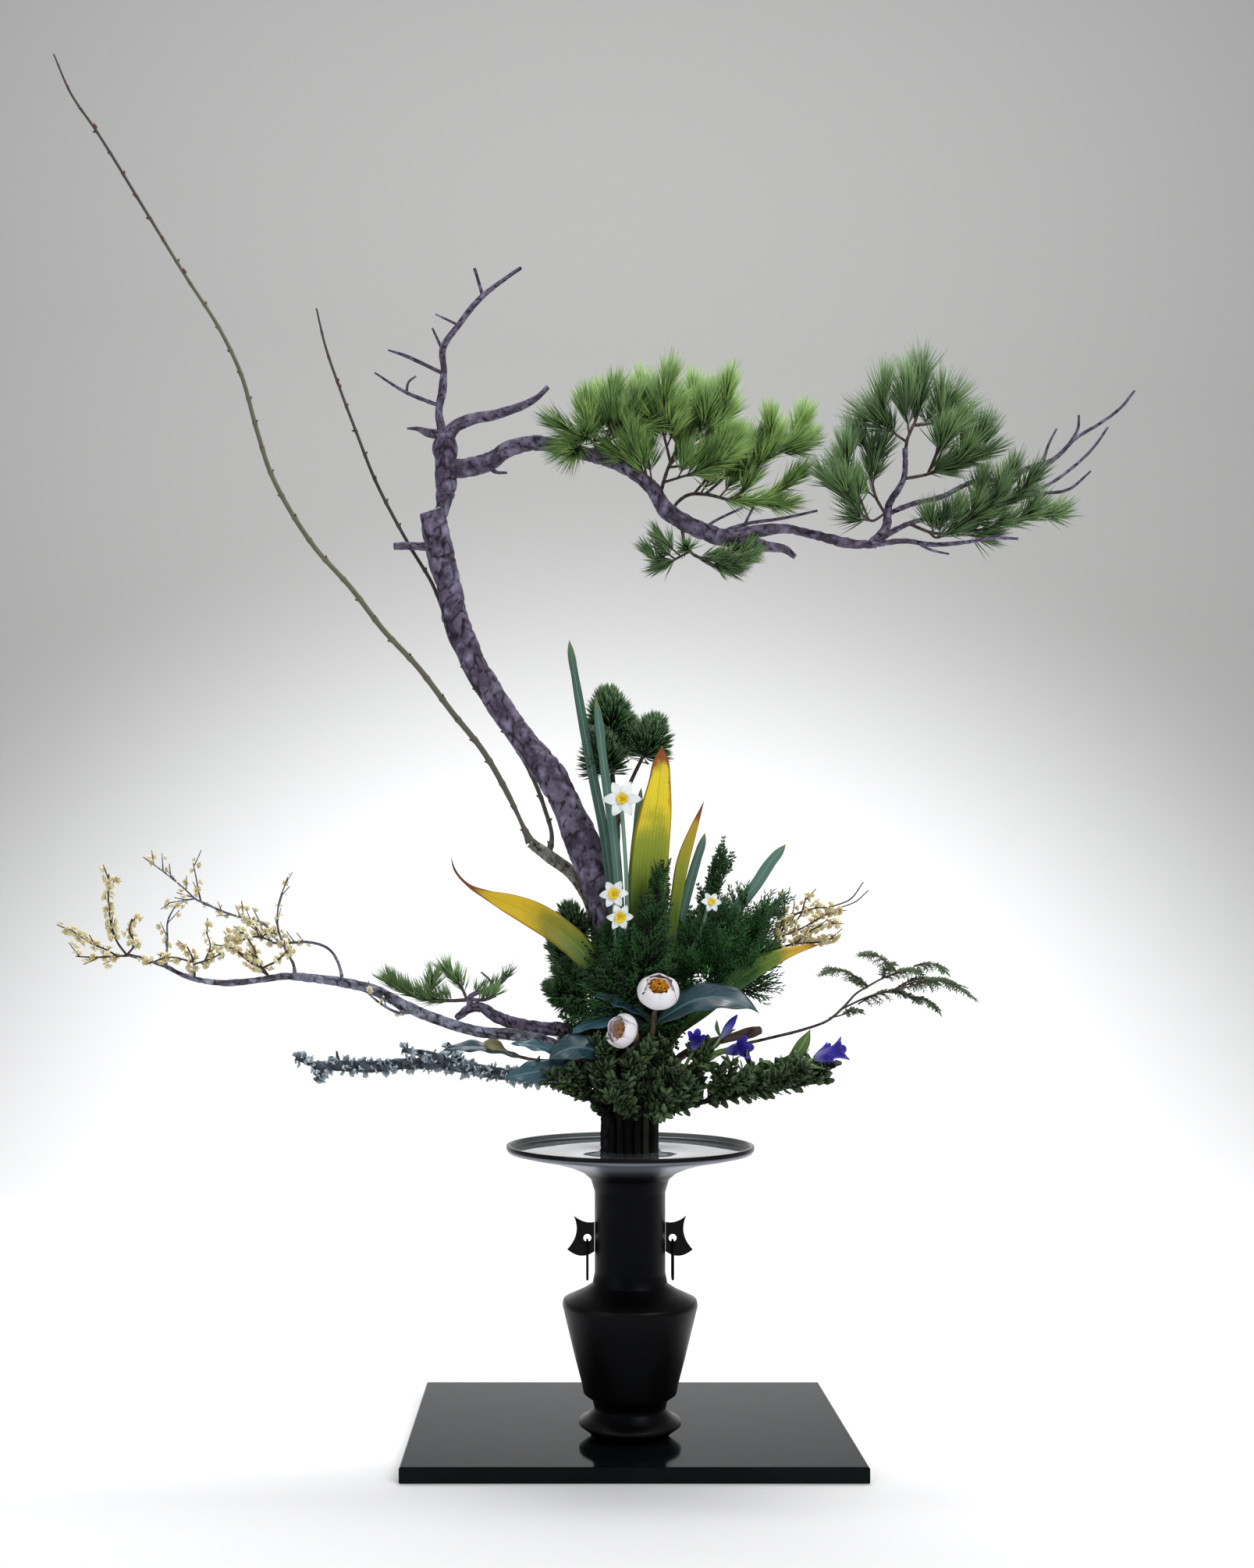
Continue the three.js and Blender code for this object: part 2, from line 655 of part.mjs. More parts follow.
// Vase: half section as [radius, height above the board]
const outerSection = [
  [0, 3], [34, 3], [36, 0], [38, 0], [44, 6], [52, 12], [51.5, 16], [44, 20], [36.5, 28],
  [38.5, 37], [47.5, 43.5], [49, 52], [56, 79], [63, 108], [69, 133], [68, 138], [50, 146.5],
  [38.5, 154], [neckRadius, 166], [neckRadius, 248], [40, 261], [48, 268], [62, 274], [83, 280],
  [108, 285], [124, 288.8], [rimRadius, 292], [rimRadius, vaseHeight], [122.5, vaseHeight],
];
const innerSection = [
  [121.6, 291.5], [83, 283.6], [50, 272.6], [neckRadius - neckWall, 258],
  [neckRadius - neckWall, 156], [64.5, 133], [44.5, 50], [0, 49],
];

function turned(section, sides) {
  const points = section.map(([radius, height]) => new THREE.Vector2(radius, height));
  const geometry = new THREE.LatheGeometry(points, sides);
  geometry.rotateX(Math.PI / 2);
  return geometry;
}

const vaseGeometry = turned([...outerSection, ...innerSection], vaseSides);
vaseGeometry.translate(0, 0, vaseFoot);
addMesh('vase', solid(vaseGeometry), bronze);

// Water: a pool that follows the dish, open in the middle for the stems
const poolHole = outerStems.radius + stemRadius + 0.9;
const poolTop = vaseHeight - waterDepth;
const poolSection = [
  [poolHole, poolTop], [112.3, poolTop], [82.9, 284], [49.8, 273], [38.5, 263.3],
  [poolHole, 263.3], [poolHole, poolTop],
];
const poolGeometry = turned(poolSection, vaseSides);
poolGeometry.translate(0, 0, vaseFoot);
addMesh('water', solid(poolGeometry), waterLook);

// Straw bundle: it lines the neck and the stems stand in it
const strawOuter = neckRadius - neckWall - seam;
const strawInner = outerStems.radius + stemRadius + 0.4;
const strawGeometry = turned([
  [0, strawFloor - strawThickness], [strawOuter, strawFloor - strawThickness],
  [strawOuter, strawTop], [strawInner, strawTop], [strawInner, strawFloor], [0, strawFloor],
], vaseSides);
strawGeometry.translate(0, 0, vaseFoot);
addMesh('straw_bundle', solid(strawGeometry), straw);

// Ears: flat castings with two outer points and a hole for the ring
function ear(name, side) {
  const outline = new THREE.Shape();
  outline.moveTo(neckRadius + seam, 187);
  outline.lineTo(neckRadius + seam, 217);
  outline.quadraticCurveTo(47, 214.5, 57.5, 223.5);
  outline.quadraticCurveTo(49, 205, 64, 189);
  outline.quadraticCurveTo(50, 177, neckRadius + seam, 187);
  const eye = new THREE.Path();
  eye.absarc(earHole.x, earHole.height, earHole.radius, 0, 2 * Math.PI, false);
  outline.holes.push(eye);
  const geometry = new THREE.ExtrudeGeometry(outline, {
    depth: earThickness,
    bevelEnabled: false,
    curveSegments: 4,
  });
  geometry.translate(0, 0, -earThickness / 2);
  geometry.rotateX(Math.PI / 2);
  geometry.translate(0, 0, vaseFoot);
  if (side < 0) geometry.rotateZ(Math.PI);
  addMesh(name, solid(geometry), bronze);
}

ear('ear_right', 1);
ear('ear_left', -1);

// Drop rings: long loops of wire that hang in the holes of the ears
const ringPivotHeight = vaseFoot + earHole.height - earHole.radius + ringWire + ringClearance;

function dropRing(name, side) {
  const straight = ringLength - 2 * ringWire - 2 * ringHalfWidth;
  const loop = [];
  for (let k = 0; k <= ringArc; k += 1) {
    const angle = (Math.PI * k) / ringArc;
    loop.push(vector(0, ringHalfWidth * Math.cos(angle), ringHalfWidth * (Math.sin(angle) - 1)));
  }
  for (let k = 0; k <= ringArc; k += 1) {
    const angle = Math.PI + (Math.PI * k) / ringArc;
    const drop = ringHalfWidth * (Math.sin(angle) - 1) - straight;
    loop.push(vector(0, ringHalfWidth * Math.cos(angle), drop));
  }
  const sides = 5;
  const corners = [];
  const index = [];
  loop.forEach((point, i) => {
    const next = loop[(i + 1) % loop.length];
    const last = loop[(i + loop.length - 1) % loop.length];
    const ahead = next.clone().sub(last).normalize();
    const over = ahead.clone().cross(vector(1, 0, 0));
    for (let k = 0; k < sides; k += 1) {
      const angle = (2 * Math.PI * k) / sides;
      corners.push(point.clone().addScaledVector(vector(1, 0, 0), ringWire * Math.cos(angle))
        .addScaledVector(over, ringWire * Math.sin(angle)));
      const l = (k + 1) % sides;
      const here = i * sides;
      const there = ((i + 1) % loop.length) * sides;
      index.push(here + k, here + l, there + l, here + k, there + l, there + k);
    }
  });
  const geometry = new THREE.BufferGeometry().setFromPoints(corners);
  geometry.setIndex(index);
  geometry.translate(side * earHole.x, 0, ringPivotHeight);
  addMesh(name, solid(geometry), bronze);
}

dropRing('ring_right', 1);
dropRing('ring_left', -1);

// Pine trunk: stations are [x, y, z, radius] here and in every stem below
const barkGnarl = 0.06;
const trunkLine = [
  [0, 0, stemFoot, trunkRadiusInVase], [0, 0, 372, trunkRadiusInVase], [-5, 1, 430, 13.5],
  [-14, 2, 495, 15], [-26, 3, 552, 16], [-32, 4, 580, 18], [-50, 6, 623, 18], [-62, 8, 650, 15.5],
  [-78, 10, 685, 15.5], [-108, 14, 725, 14], [-136, 18, 766, 13], [-161, 21, 807, 12.5],
  [-178, 23, 848, 13.5], [-187, 25, 890, 12.5], [-197, 26, 927, 14], [-199, 26, 948, 10.5],
  [-194, 26, 965, 7.5], [-190, 26, 986, 10], [-190, 26, 1018, 11.5], [-191, 26, 1039, 11],
  [-191, 26, 1046, 6],
];
const rightLimb = [
  [-190, 26, 1010, 10], [-168, 24, 1010, 9.5], [-146, 22, 1015, 9], [-124, 19, 1028, 8],
  [-98, 16, 1033, 7.4], [-70, 12, 1027, 7.2], [-42, 8, 1018, 7.2], [-18, 5, 1011, 7.4],
  [6, 2, 996, 7], [24, 0, 980, 8], [36, -2, 960, 8.4], [55, -4, 946, 8.4], [77, -6, 935, 8.8],
  [101, -8, 928, 8.6], [124, -10, 934, 6.2], [156, -12, 937, 5.4], [191, -17, 928, 4.8],
  [225, -21, 919, 4.8], [247, -24, 918, 4.4],
];
const farRise = [
  [240, -23, 918, 4.4], [256, -26, 934, 4.6], [258, -28, 954, 4], [273, -30, 983, 3],
  [274, -32, 1012, 2.6],
];
const farUpper = [
  [258, -28, 948, 3], [282, -30, 957, 2.6], [309, -32, 963, 2.6], [340, -34, 977, 2.6],
  [374, -36, 981, 2.6], [397, -38, 991, 3], [416, -40, 996, 2.6], [442, -44, 1019, 1.9],
  [464, -46, 1032, 1.7], [483, -48, 1046, 1.5], [497, -50, 1063, 1.2],
];
const farMiddle = [
  [251, -25, 924, 3.4], [281, -16, 941, 2.8], [311, -8, 950, 2.8], [348, 0, 956, 3],
  [382, 8, 972, 2.8], [404, 12, 978, 2.6], [433, 16, 991, 1.9], [458, 20, 1009, 1.7],
  [480, 24, 1030, 1.5], [498, 28, 1053, 1.2],
];
const farLower = [
  [244, -24, 918, 3.2], [273, -36, 918, 2.6], [298, -46, 912, 2.4], [327, -54, 912, 2],
  [356, -60, 915, 1.7], [378, -64, 913, 1.2],
];
const bareTwigs = [
  [[-191, 26, 1040, 6], [-197, 26, 1067, 4], [-193, 26, 1093, 4.4], [-192, 26, 1111, 3.4],
    [-193, 26, 1133, 3.4], [-176, 26, 1159, 3.2], [-151, 28, 1190, 2.8], [-130, 30, 1207, 2],
    [-112, 31, 1220, 2]],
  [[-151, 28, 1187, 2.2], [-156, 27, 1204, 1.8], [-160, 26, 1217, 1.8]],
  [[-176, 26, 1158, 1.6], [-200, 22, 1168, 0.9]],
  [[-194, 26, 1134, 1.8], [-204, 28, 1156, 1]],
  [[-194, 26, 1109, 2], [-237, 16, 1125, 1.6], [-248, 12, 1127, 1]],
  [[-197, 26, 1075, 2.2], [-232, 32, 1091, 1.9], [-265, 40, 1114, 1]],
  [[-231, 32, 1091, 1.5], [-229, 31, 1101, 1.2], [-221, 30, 1107, 1]],
  [[-191, 26, 1037, 8], [-180, 25, 1053, 6.6], [-169, 24, 1058, 6.2], [-133, 20, 1065, 5],
    [-99, 16, 1077, 3.4], [-94, 15, 1080, 3], [-84, 14, 1090, 2.8]],
  [[-191, 26, 1044, 5], [-209, 26, 1047, 4.4], [-219, 27, 1051, 2.4], [-230, 28, 1052, 1]],
  [[-196, 26, 927, 6], [-215, 22, 928, 4.2], [-231, 20, 928, 4], [-243, 18, 927, 3.6]],
  [[-146, 22, 1012, 4], [-138, 22, 1005, 2], [-126, 22, 1004, 1.2]],
  [[109, -9, 928, 6.5], [140, -14, 918, 5.2], [156, -16, 915, 4], [166, -17, 907, 2.6]],
  [[90, -6, 934, 2.4], [120, 6, 947, 1.9], [156, 16, 955, 1.7], [195, 26, 966, 1.4]],
  [[74, -5, 938, 2], [86, 6, 949, 1.5], [116, 16, 966, 1.4]],
  [[118, 5, 947, 1.5], [127, 9, 965, 1.3]],
  [[409, -40, 993, 1.7], [416, -36, 1014, 1.4], [425, -33, 1031, 1.1]],
  [[434, -43, 1012, 1.6], [442, -47, 1027, 1.5], [442, -50, 1039, 1.1]],
  [[391, 10, 974, 2], [417, 4, 977, 1.9], [447, -2, 980, 1.7], [467, -10, 996, 1.1]],
  [[412, 13, 980, 1.5], [424, 20, 998, 1.3], [431, 26, 1012, 1]],
  [[282, -40, 917, 1.8], [295, -44, 908, 1.4], [313, -52, 901, 1]],
];

const trunk = new Plant('pine_trunk', pineBark, 0.1);
trunk.stem(trunkLine, 6, barkGnarl);
trunk.stem(rightLimb, 6, barkGnarl);
for (const line of [farRise, farUpper, farMiddle, farLower]) trunk.stem(line, 3);
for (const line of bareTwigs) trunk.stem(line, line[0][3] > 3 ? 4 : 3);

// Stems of all the other plants, so that foliage can be kept clear of them
const plum = new Plant('plum_shoots', plumBark);
plum.stem(column(innerStems, 5, 366, [-20, 22, 408, 4.5], [-27, 31, 460, 6], [-31, 34, 510, 7],
  [-38, 34, 556, 7], [-60, 28, 591, 7], [-86, 24, 610, 6.6], [-102, 23, 622, 5.4],
  [-107, 23, 633, 3.2], [-127, 23, 675, 3], [-150, 24, 715, 3], [-184, 25, 758, 3],
  [-218, 26, 803, 2.9], [-255, 26, 843, 2.8], [-288, 27, 886, 2.7], [-327, 28, 930, 2.6],
  [-351, 28, 966, 2.5], [-373, 29, 1009, 2.4], [-385, 30, 1046, 2.3], [-406, 31, 1117, 2.1],
  [-424, 31, 1154, 2], [-461, 32, 1212, 1.8], [-507, 34, 1287, 1.7], [-555, 36, 1365, 1.5],
  [-582, 37, 1405, 1.3], [-601, 38, 1447, 1.1]), 4);
plum.stem([[-84, 24, 608, 4], [-80, 32, 626, 2.6], [-88, 40, 660, 2.4], [-103, 46, 698, 2.4],
  [-137, 50, 752, 2.3], [-170, 50, 803, 2.2], [-192, 50, 861, 2.1], [-204, 48, 892, 2],
  [-230, 46, 936, 1.9], [-266, 42, 1005, 1.8], [-284, 41, 1051, 1.7], [-301, 40, 1096, 1.6],
  [-317, 40, 1143, 1.4], [-326, 40, 1181, 1.1]], 4);

const lowPine = new Plant('low_pine_branch', pineBark);
const lowPineTwig = [[-161, -10, 449, 3.6], [-163, -9, 462, 2.8], [-150, -6, 469, 2.2],
  [-137, -3, 473, 2], [-124, 0, 484, 1.3]];
lowPine.stem(column(outerStems, 10, 350, [-38, -6, 385, 5], [-52, -7, 413, 6], [-66, -8, 428, 7],
  [-93, -9, 431, 7.4], [-121, -10, 437, 6.6], [-138, -10, 444, 6], [-150, -10, 452, 5],
  [-161, -10, 452, 5], [-169, -11, 447, 4.4], [-177, -12, 441, 3]), 6, barkGnarl);
lowPine.stem(lowPineTwig, 4);
lowPine.stem([[-162, -9, 460, 2.2], [-148, -14, 460, 1.8], [-136, -18, 464, 1.3]], 3);
lowPine.stem([[-138, -3, 473, 1.6], [-143, -1, 480, 1.3], [-152, 2, 488, 1]], 3);

const sweetMain = column(outerStems, 11, 355, [-44, -22, 388, 4.6], [-68, -27, 411, 5],
  [-93, -30, 422, 5.5], [-116, -32, 425, 6], [-163, -34, 431, 5.8], [-194, -35, 441, 5.6],
  [-225, -35, 454, 5.6], [-257, -34, 470, 6], [-288, -32, 478, 5.4], [-320, -29, 482, 4.6],
  [-344, -26, 484, 4.2], [-376, -22, 480, 3.9], [-408, -18, 477, 3.6], [-431, -15, 479, 3.2],
  [-453, -12, 485, 2.9], [-472, -9, 494, 2.7], [-490, -6, 500, 2.2], [-512, -3, 506, 1.9]);
const sweetUpper = [[-289, -32, 478, 2.4], [-292, -26, 492, 2], [-304, -18, 511, 1.9],
  [-323, -10, 518, 1.8], [-348, 0, 518, 1.8], [-369, 6, 520, 1.8], [-370, 12, 531, 1.7],
  [-379, 16, 539, 1.7], [-396, 20, 543, 1.7], [-416, 22, 549, 1.6], [-437, 25, 558, 1.5],
  [-450, 27, 564, 1.4], [-460, 30, 573, 1.2], [-480, 34, 589, 1.1], [-507, 40, 608, 0.8]];
const sweet = new Plant('wintersweet_left_branch', sweetBark);
sweet.stem(sweetMain, 5, barkGnarl);
sweet.stem(sweetUpper, 3);
sweet.stem([[-471, -9, 493, 1.8], [-471, -4, 520, 1.4], [-472, 2, 540, 1.2], [-466, 8, 556, 0.8]], 3);
sweet.stem([[-337, -27, 483, 3], [-341, -14, 496, 2], [-350, -6, 510, 1.6], [-357, -14, 536, 1.3],
  [-356, -16, 554, 1.1], [-346, -18, 584, 0.8]], 3);
sweet.stem([[-214, -35, 449, 3], [-232, -42, 448, 2], [-249, -46, 457, 1.7], [-262, -50, 468, 1]], 3);
sweet.stem([[-444, 26, 561, 1.2], [-446, 18, 581, 1], [-448, 10, 600, 0.8]], 3);
sweet.stem([[-450, 27, 564, 1.2], [-466, 34, 562, 1], [-481, 40, 560, 0.8]], 3);

const lichen = new Plant('lichen_branch', lichenLook);
const lichenLine = column(outerStems, 9, 345, [-42, 8, 366, 4.4], [-62, 11, 375, 5],
  [-86, 11, 378, 5.5], [-110, 12, 381, 6], [-149, 12, 386, 6.4], [-187, 12, 393, 6.4],
  [-226, 11, 394, 6], [-263, 10, 391, 6], [-302, 9, 392, 5.5], [-322, 8, 392, 4.6]);
lichen.stem(lichenLine.slice(0, 6), 5);
const lichenTwig = lichen.twig(lichenLine.slice(4), 22, 5);
lichen.stem([[-320, 8, 392, 4], [-331, 6, 396, 3], [-342, 4, 400, 2.4]], 5);
lichen.stem([[-311, 9, 391, 4], [-318, 12, 383, 3.6], [-324, 14, 377, 2.4]], 5);
lichen.stem([[-298, 9, 393, 2.6], [-300, 4, 407, 1.2]], 3);
lichen.stem([[-180, 11, 394, 5], [-209, 6, 404, 4.4], [-232, 2, 409, 3]], 5);
lichen.stem([[-172, 13, 392, 3], [-182, 18, 406, 2.6], [-188, 20, 415, 2.2]], 4);

const hemlock = new Plant('hemlock_spray', hemlockLeaf);
const hemlockLine = column(outerStems, 0, 348, [50, -6, 384, 2.8], [78, -11, 403, 2.5],
  [110, -15, 414, 2.4], [142, -18, 422, 2.2], [173, -20, 430, 2], [199, -22, 440, 1.8],
  [213, -23, 452, 1.7], [227, -24, 467, 1.5], [240, -25, 475, 1.4], [260, -26, 485, 1.3],
  [277, -27, 489, 1.1]);
hemlock.stem(hemlockLine.slice(0, 7), 4);
const hemlockTwigs = hemlock.spray([hemlockLine.slice(5),
  [[210, -23, 450, 1.4], [239, -30, 464, 1.4], [265, -38, 471, 1.3], [281, -44, 475, 1]],
  [[200, -22, 442, 1.3], [214, -15, 445, 1.1], [228, -9, 450, 0.8]]], 13);

const stub = new Plant('cut_stub', stubBark);
stub.stem(column(outerStems, 1, 362, [46, 10, 396, 4.3], [72, 9, 412, 4.5], [104, 6, 421, 4.6],
  [135, 4, 429, 4.4]), 7, 0.04);

const sweetRight = new Plant('wintersweet_right', sweetBloom);
const sweetRightMain = column(outerStems, 3, 366, [38, 34, 415, 3.2], [70, 36, 452, 2.8],
  [100, 34, 475, 2.6], [116, 33, 490, 2.4], [138, 33, 506, 2.2], [154, 34, 521, 2],
  [162, 35, 535, 1.8], [171, 36, 546, 1.5], [188, 37, 553, 1.2], [211, 39, 555, 1], [241, 41, 569, 0.8]);
sweetRight.stem(sweetRightMain.slice(0, 6), 4);
const sweetRightTwigs = sweetRight.spray([sweetRightMain.slice(4),
  [[142, 33, 510, 1.7], [173, 26, 517, 1.3], [201, 20, 519, 0.9]],
  [[156, 34, 524, 1.6], [182, 42, 534, 1.3], [209, 50, 549, 1.1], [252, 56, 570, 0.8]],
  [[136, 33, 505, 1.6], [158, 38, 513, 1.3], [184, 42, 519, 1.1], [217, 46, 523, 0.8]]], 13);

const shortUpper = new Plant('short_pine_upper', shortNeedle);
shortUpper.stem(column(innerStems, 4, 372, [-8, 24, 430, 3.6], [-12, 31, 500, 3.4],
  [-14, 30, 580, 3.2], [-12, 26, 640, 3], [-18, 20, 700, 2.6], [-21, 16, 732, 2]), 4);
shortUpper.stem([[-12, 26, 640, 2.6], [0, 20, 680, 2.2], [14, 14, 706, 1.8]], 4);
shortUpper.stem([[-13, 26, 638, 2.4], [-22, 12, 666, 2], [-26, 2, 688, 1.6]], 4);
const shortLeft = new Plant('short_pine_left', shortNeedle);
shortLeft.stem(column(innerStems, 6, 366, [-32, 10, 408, 3.4], [-50, 14, 450, 3],
  [-60, 16, 495, 2.6], [-57, 16, 530, 1.8]), 4);
shortLeft.stem([[-50, 14, 448, 2.4], [-58, 8, 458, 1.8], [-66, 2, 462, 1.4]], 4);

// Narcissus: strap leaves and flower stems rise from one sheath
const towardsCamera = vector(0, -1, 0.1);
const narcissusLeft = new Plant('narcissus_left', narcissusLeaf);
narcissusLeft.stem(column(innerStems, 9, 420, [-8, -22, 452, 4.2], [-9, -25, 478, 4]), 6);
narcissusLeft.blade([[-9, -23, 466, 5], [-16, -23, 530, 8], [-28, -18, 634, 10],
  [-37, -17, 680, 10], [-56, -15, 786, 7.6], [-62, -15, 824, 0]], 1.6, towardsCamera, 0.15);
narcissusLeft.blade([[-8, -26, 466, 5], [-10, -33, 520, 8], [-16, -32, 611, 10],
  [-28, -30, 700, 8.6], [-36, -29, 765, 0]], 1.6, towardsCamera, 0.15);
narcissusLeft.blade([[-7, -24, 466, 5], [-3, -22, 530, 6], [5, -17, 630, 6],
  [11, -14, 675, 0]], 1.6, towardsCamera, 0.1);
narcissusLeft.stem([[-9, -27, 466, 2.4], [-5, -36, 520, 2.4], [-5, -37, 580, 2.2],
  [-8, -36, 630, 2.1], [-9.5, -34.5, 650, 2.2], ...stalkEnd(flowers.narcissusUpper, 2.2)], 4);
narcissusLeft.stem([[-10, -27, 466, 2.4], [-15, -38, 505, 2.2], [-18, -43, 535, 2],
  [-17.5, -44, 556, 2], ...stalkEnd(flowers.narcissusMiddle, 2)], 4);
narcissusLeft.stem([[-17.8, -42.5, 534, 1.6], [-15, -48, 544, 1.8],
  ...stalkEnd(flowers.narcissusLower, 1.8)], 4);

const narcissusRight = new Plant('narcissus_right', narcissusLeaf);
narcissusRight.stem(column(innerStems, 1, 400, [24, 10, 440, 4], [36, 7, 480, 4]), 6);
narcissusRight.blade([[32, 8, 466, 5], [47, 2, 520, 8], [60, -4, 575, 10], [68, -6, 603, 9],
  [74, -8, 622, 6], [76, -8, 630, 0]], 1.6, towardsCamera, 0.15);
narcissusRight.blade([[34, 8, 470, 5], [70, 6, 518, 9], [106, 6, 550, 12], [128, 6, 576, 12],
  [144, 6, 600, 11], [155, 6, 613, 7], [160, 6, 619, 0]], 1.6, vector(0.2, -1, 0.3), 0.12);
narcissusRight.stem([[34, 7, 470, 2.2], [58, -10, 505, 2.1], [72, -24, 534, 2], [76, -29, 551, 1.9],
  ...stalkEnd(flowers.narcissusRight, 1.8)], 4);

// Broad yellow-green blades
const bladeTall = new Plant('blade_upright', yellowBlade);
bladeTall.stem(column(innerStems, 11, 392, [15, -18, 418, 3.6]), 6);
bladeTall.blade([[14, -17.5, 408, 5], [15, -20, 470, 13], [17, -23, 520, 21], [19, -26, 570, 28],
  [22, -28, 617, 31], [26, -29, 652, 31], [28.5, -30, 679, 20], [30, -29, 700, 13],
  [31, -28, 715, 0]], 1.8, towardsCamera, 0.22);
bladeTall.blade([[15.5, -17.5, 408, 5], [30, -18, 466, 8], [40, -21, 520, 10], [46, -23, 565, 12],
  [53, -23, 602, 13], [63, -22, 632, 8], [74, -22, 661, 0]], 1.6, towardsCamera, 0.2);
const bladeLeft = new Plant('blade_left', yellowBlade);
bladeLeft.stem(column(innerStems, 8, 372, [-22, -25, 405, 3.6], [-27, -31, 440, 3.4]), 6);
bladeLeft.blade([[-26, -30, 428, 5], [-31, -33, 470, 14], [-45, -35, 503, 25], [-70, -35, 527, 28],
  [-98, -33, 545, 28], [-124, -31, 557, 24], [-148, -29, 567, 17], [-165, -28, 577, 12],
  [-177, -27, 592, 7], [-181, -27, 605, 0]], 1.8, vector(0, -1, 0.15), 0.2);
const bladeRight = new Plant('blade_right', yellowBlade);
bladeRight.stem(column(innerStems, 0, 382, [38, -9, 412, 3.6], [54, -17, 434, 3.2]), 6);
bladeRight.blade([[48, -14.5, 426, 5], [70, -23, 449, 17], [94, -26, 470, 21], [117, -27, 487, 21],
  [140, -28, 500, 16], [165, -28, 510, 9], [190, -28, 516, 0]], 1.6, vector(-0.2, -1, 0.2), 0.2);

// Camellias: leafy stems with large glossy leaves
const camelliaFront = new Plant('camellia_front_leaves', camelliaLeaf);
camelliaFront.stem(column(outerStems, 15, 362, [12, -42, 398, 3.2], [20, -56, 432, 3],
  [22, -59, 449, 3], ...stalkEnd(flowers.camelliaOpen, 2.8)), 4);
camelliaFront.blade([[20, -56, 436, 4], [38, -60, 448, 20], [58, -62, 459, 31], [82, -63, 463, 34],
  [102, -64, 460, 24], [115, -64, 455, 11], [124, -64, 448, 0]], 1.4, vector(0, -0.75, 0.65), 0.18);
camelliaFront.blade([[20, -56, 440, 4], [2, -58, 452, 17], [-14, -58, 459, 21], [-29, -58, 464, 13],
  [-38, -58, 466, 0]], 1.4, vector(0, -0.55, 0.8), 0.18);
camelliaFront.blade([[18, -53, 430, 4], [-6, -50, 441, 20], [-28, -50, 441, 25], [-48, -51, 434, 14],
  [-60, -52, 427, 0]], 1.4, vector(-0.2, -0.7, 0.7), 0.18);
const camelliaLeft = new Plant('camellia_left_leaves', camelliaLeaf);
camelliaLeft.stem(column(outerStems, 13, 358, [-18, -38, 384, 3.2], [-26, -50, 402, 3]), 4);
camelliaLeft.stem([[-22, -44, 393, 2.6], [-8, -54, 406, 2.4], [4, -59, 420, 2.4],
  ...stalkEnd(flowers.camelliaSide, 2.4)], 4);
camelliaLeft.stem([[-25, -49, 400, 2.4], [-60, -46, 400, 2], [-100, -34, 401, 1.8],
  [-126, -20, 407, 1.8]], 3);
camelliaLeft.blade([[-24, -48, 398, 4], [-38, -57, 411, 24], [-55, -61, 414, 31], [-70, -63, 410, 24],
  [-82, -64, 403, 0]], 1.4, vector(-0.1, -0.8, 0.6), 0.15);
camelliaLeft.blade([[-56, -46, 400, 4], [-76, -56, 393, 20], [-100, -60, 389, 25], [-116, -60, 386, 13],
  [-126, -60, 384, 0]], 1.4, vector(0, -0.8, 0.6), 0.15);
camelliaLeft.blade([[-60, -46, 400, 4], [-80, -54, 411, 13], [-100, -56, 416, 15], [-120, -56, 418, 0]],
  1.2, vector(0, -0.6, 0.8), 0.15);
camelliaLeft.stem([[-124, -21, 407, 1.8], [-129, -18, 409, 3.4], [-135, -15, 412, 7],
  [-142, -12, 415, 6.4], [-148, -9, 417, 1.6]], 5);
camelliaLeft.blade([[-112, -28, 403, 4], [-146, -16, 411, 15], [-168, -12, 412, 17], [-190, -12, 409, 0]],
  1.2, vector(0, -0.6, 0.8), 0.15);

// Gentians: leafy stems
const gentianCentre = new Plant('gentian_centre_leaves', gentianLeaf);
gentianCentre.stem(column(outerStems, 16, 352, [30, -34, 372, 2.6], [52, -44, 388, 2.2]), 4);
gentianCentre.stem([[50, -43, 387, 2], [56, -50, 402, 1.8], ...stalkEnd(flowers.gentianLeft, 1.7)], 4);
gentianCentre.stem([[51, -43, 388, 2], [76, -48, 402, 1.8], ...stalkEnd(flowers.gentianMiddle, 1.8)], 4);
gentianCentre.stem([[70, -48, 398, 1.6], [80, -46, 412, 1.5], [89, -46, 425, 1.6], [93, -48, 430, 3.2],
  [99, -50, 438, 3.4], [103, -51, 444, 0.8]], 4);
const gentianRight = new Plant('gentian_right_leaves', gentianLeaf);
gentianRight.stem(column(outerStems, 18, 344, [52, -18, 364, 2.8], [100, -30, 380, 2.4],
  [146, -44, 392, 2.2], ...stalkEnd(flowers.gentianRight, 2)), 4);
gentianRight.blade([[150, -44, 392, 4], [160, -50, 404, 12], [170, -52, 420, 12], [176, -53, 432, 0]],
  1.2, vector(0.3, -1, 0.2), 0.15);
gentianRight.blade([[160, -46, 395, 4], [172, -56, 396, 10], [190, -62, 393, 0]],
  1.2, vector(0, -0.5, 0.9), 0.15);

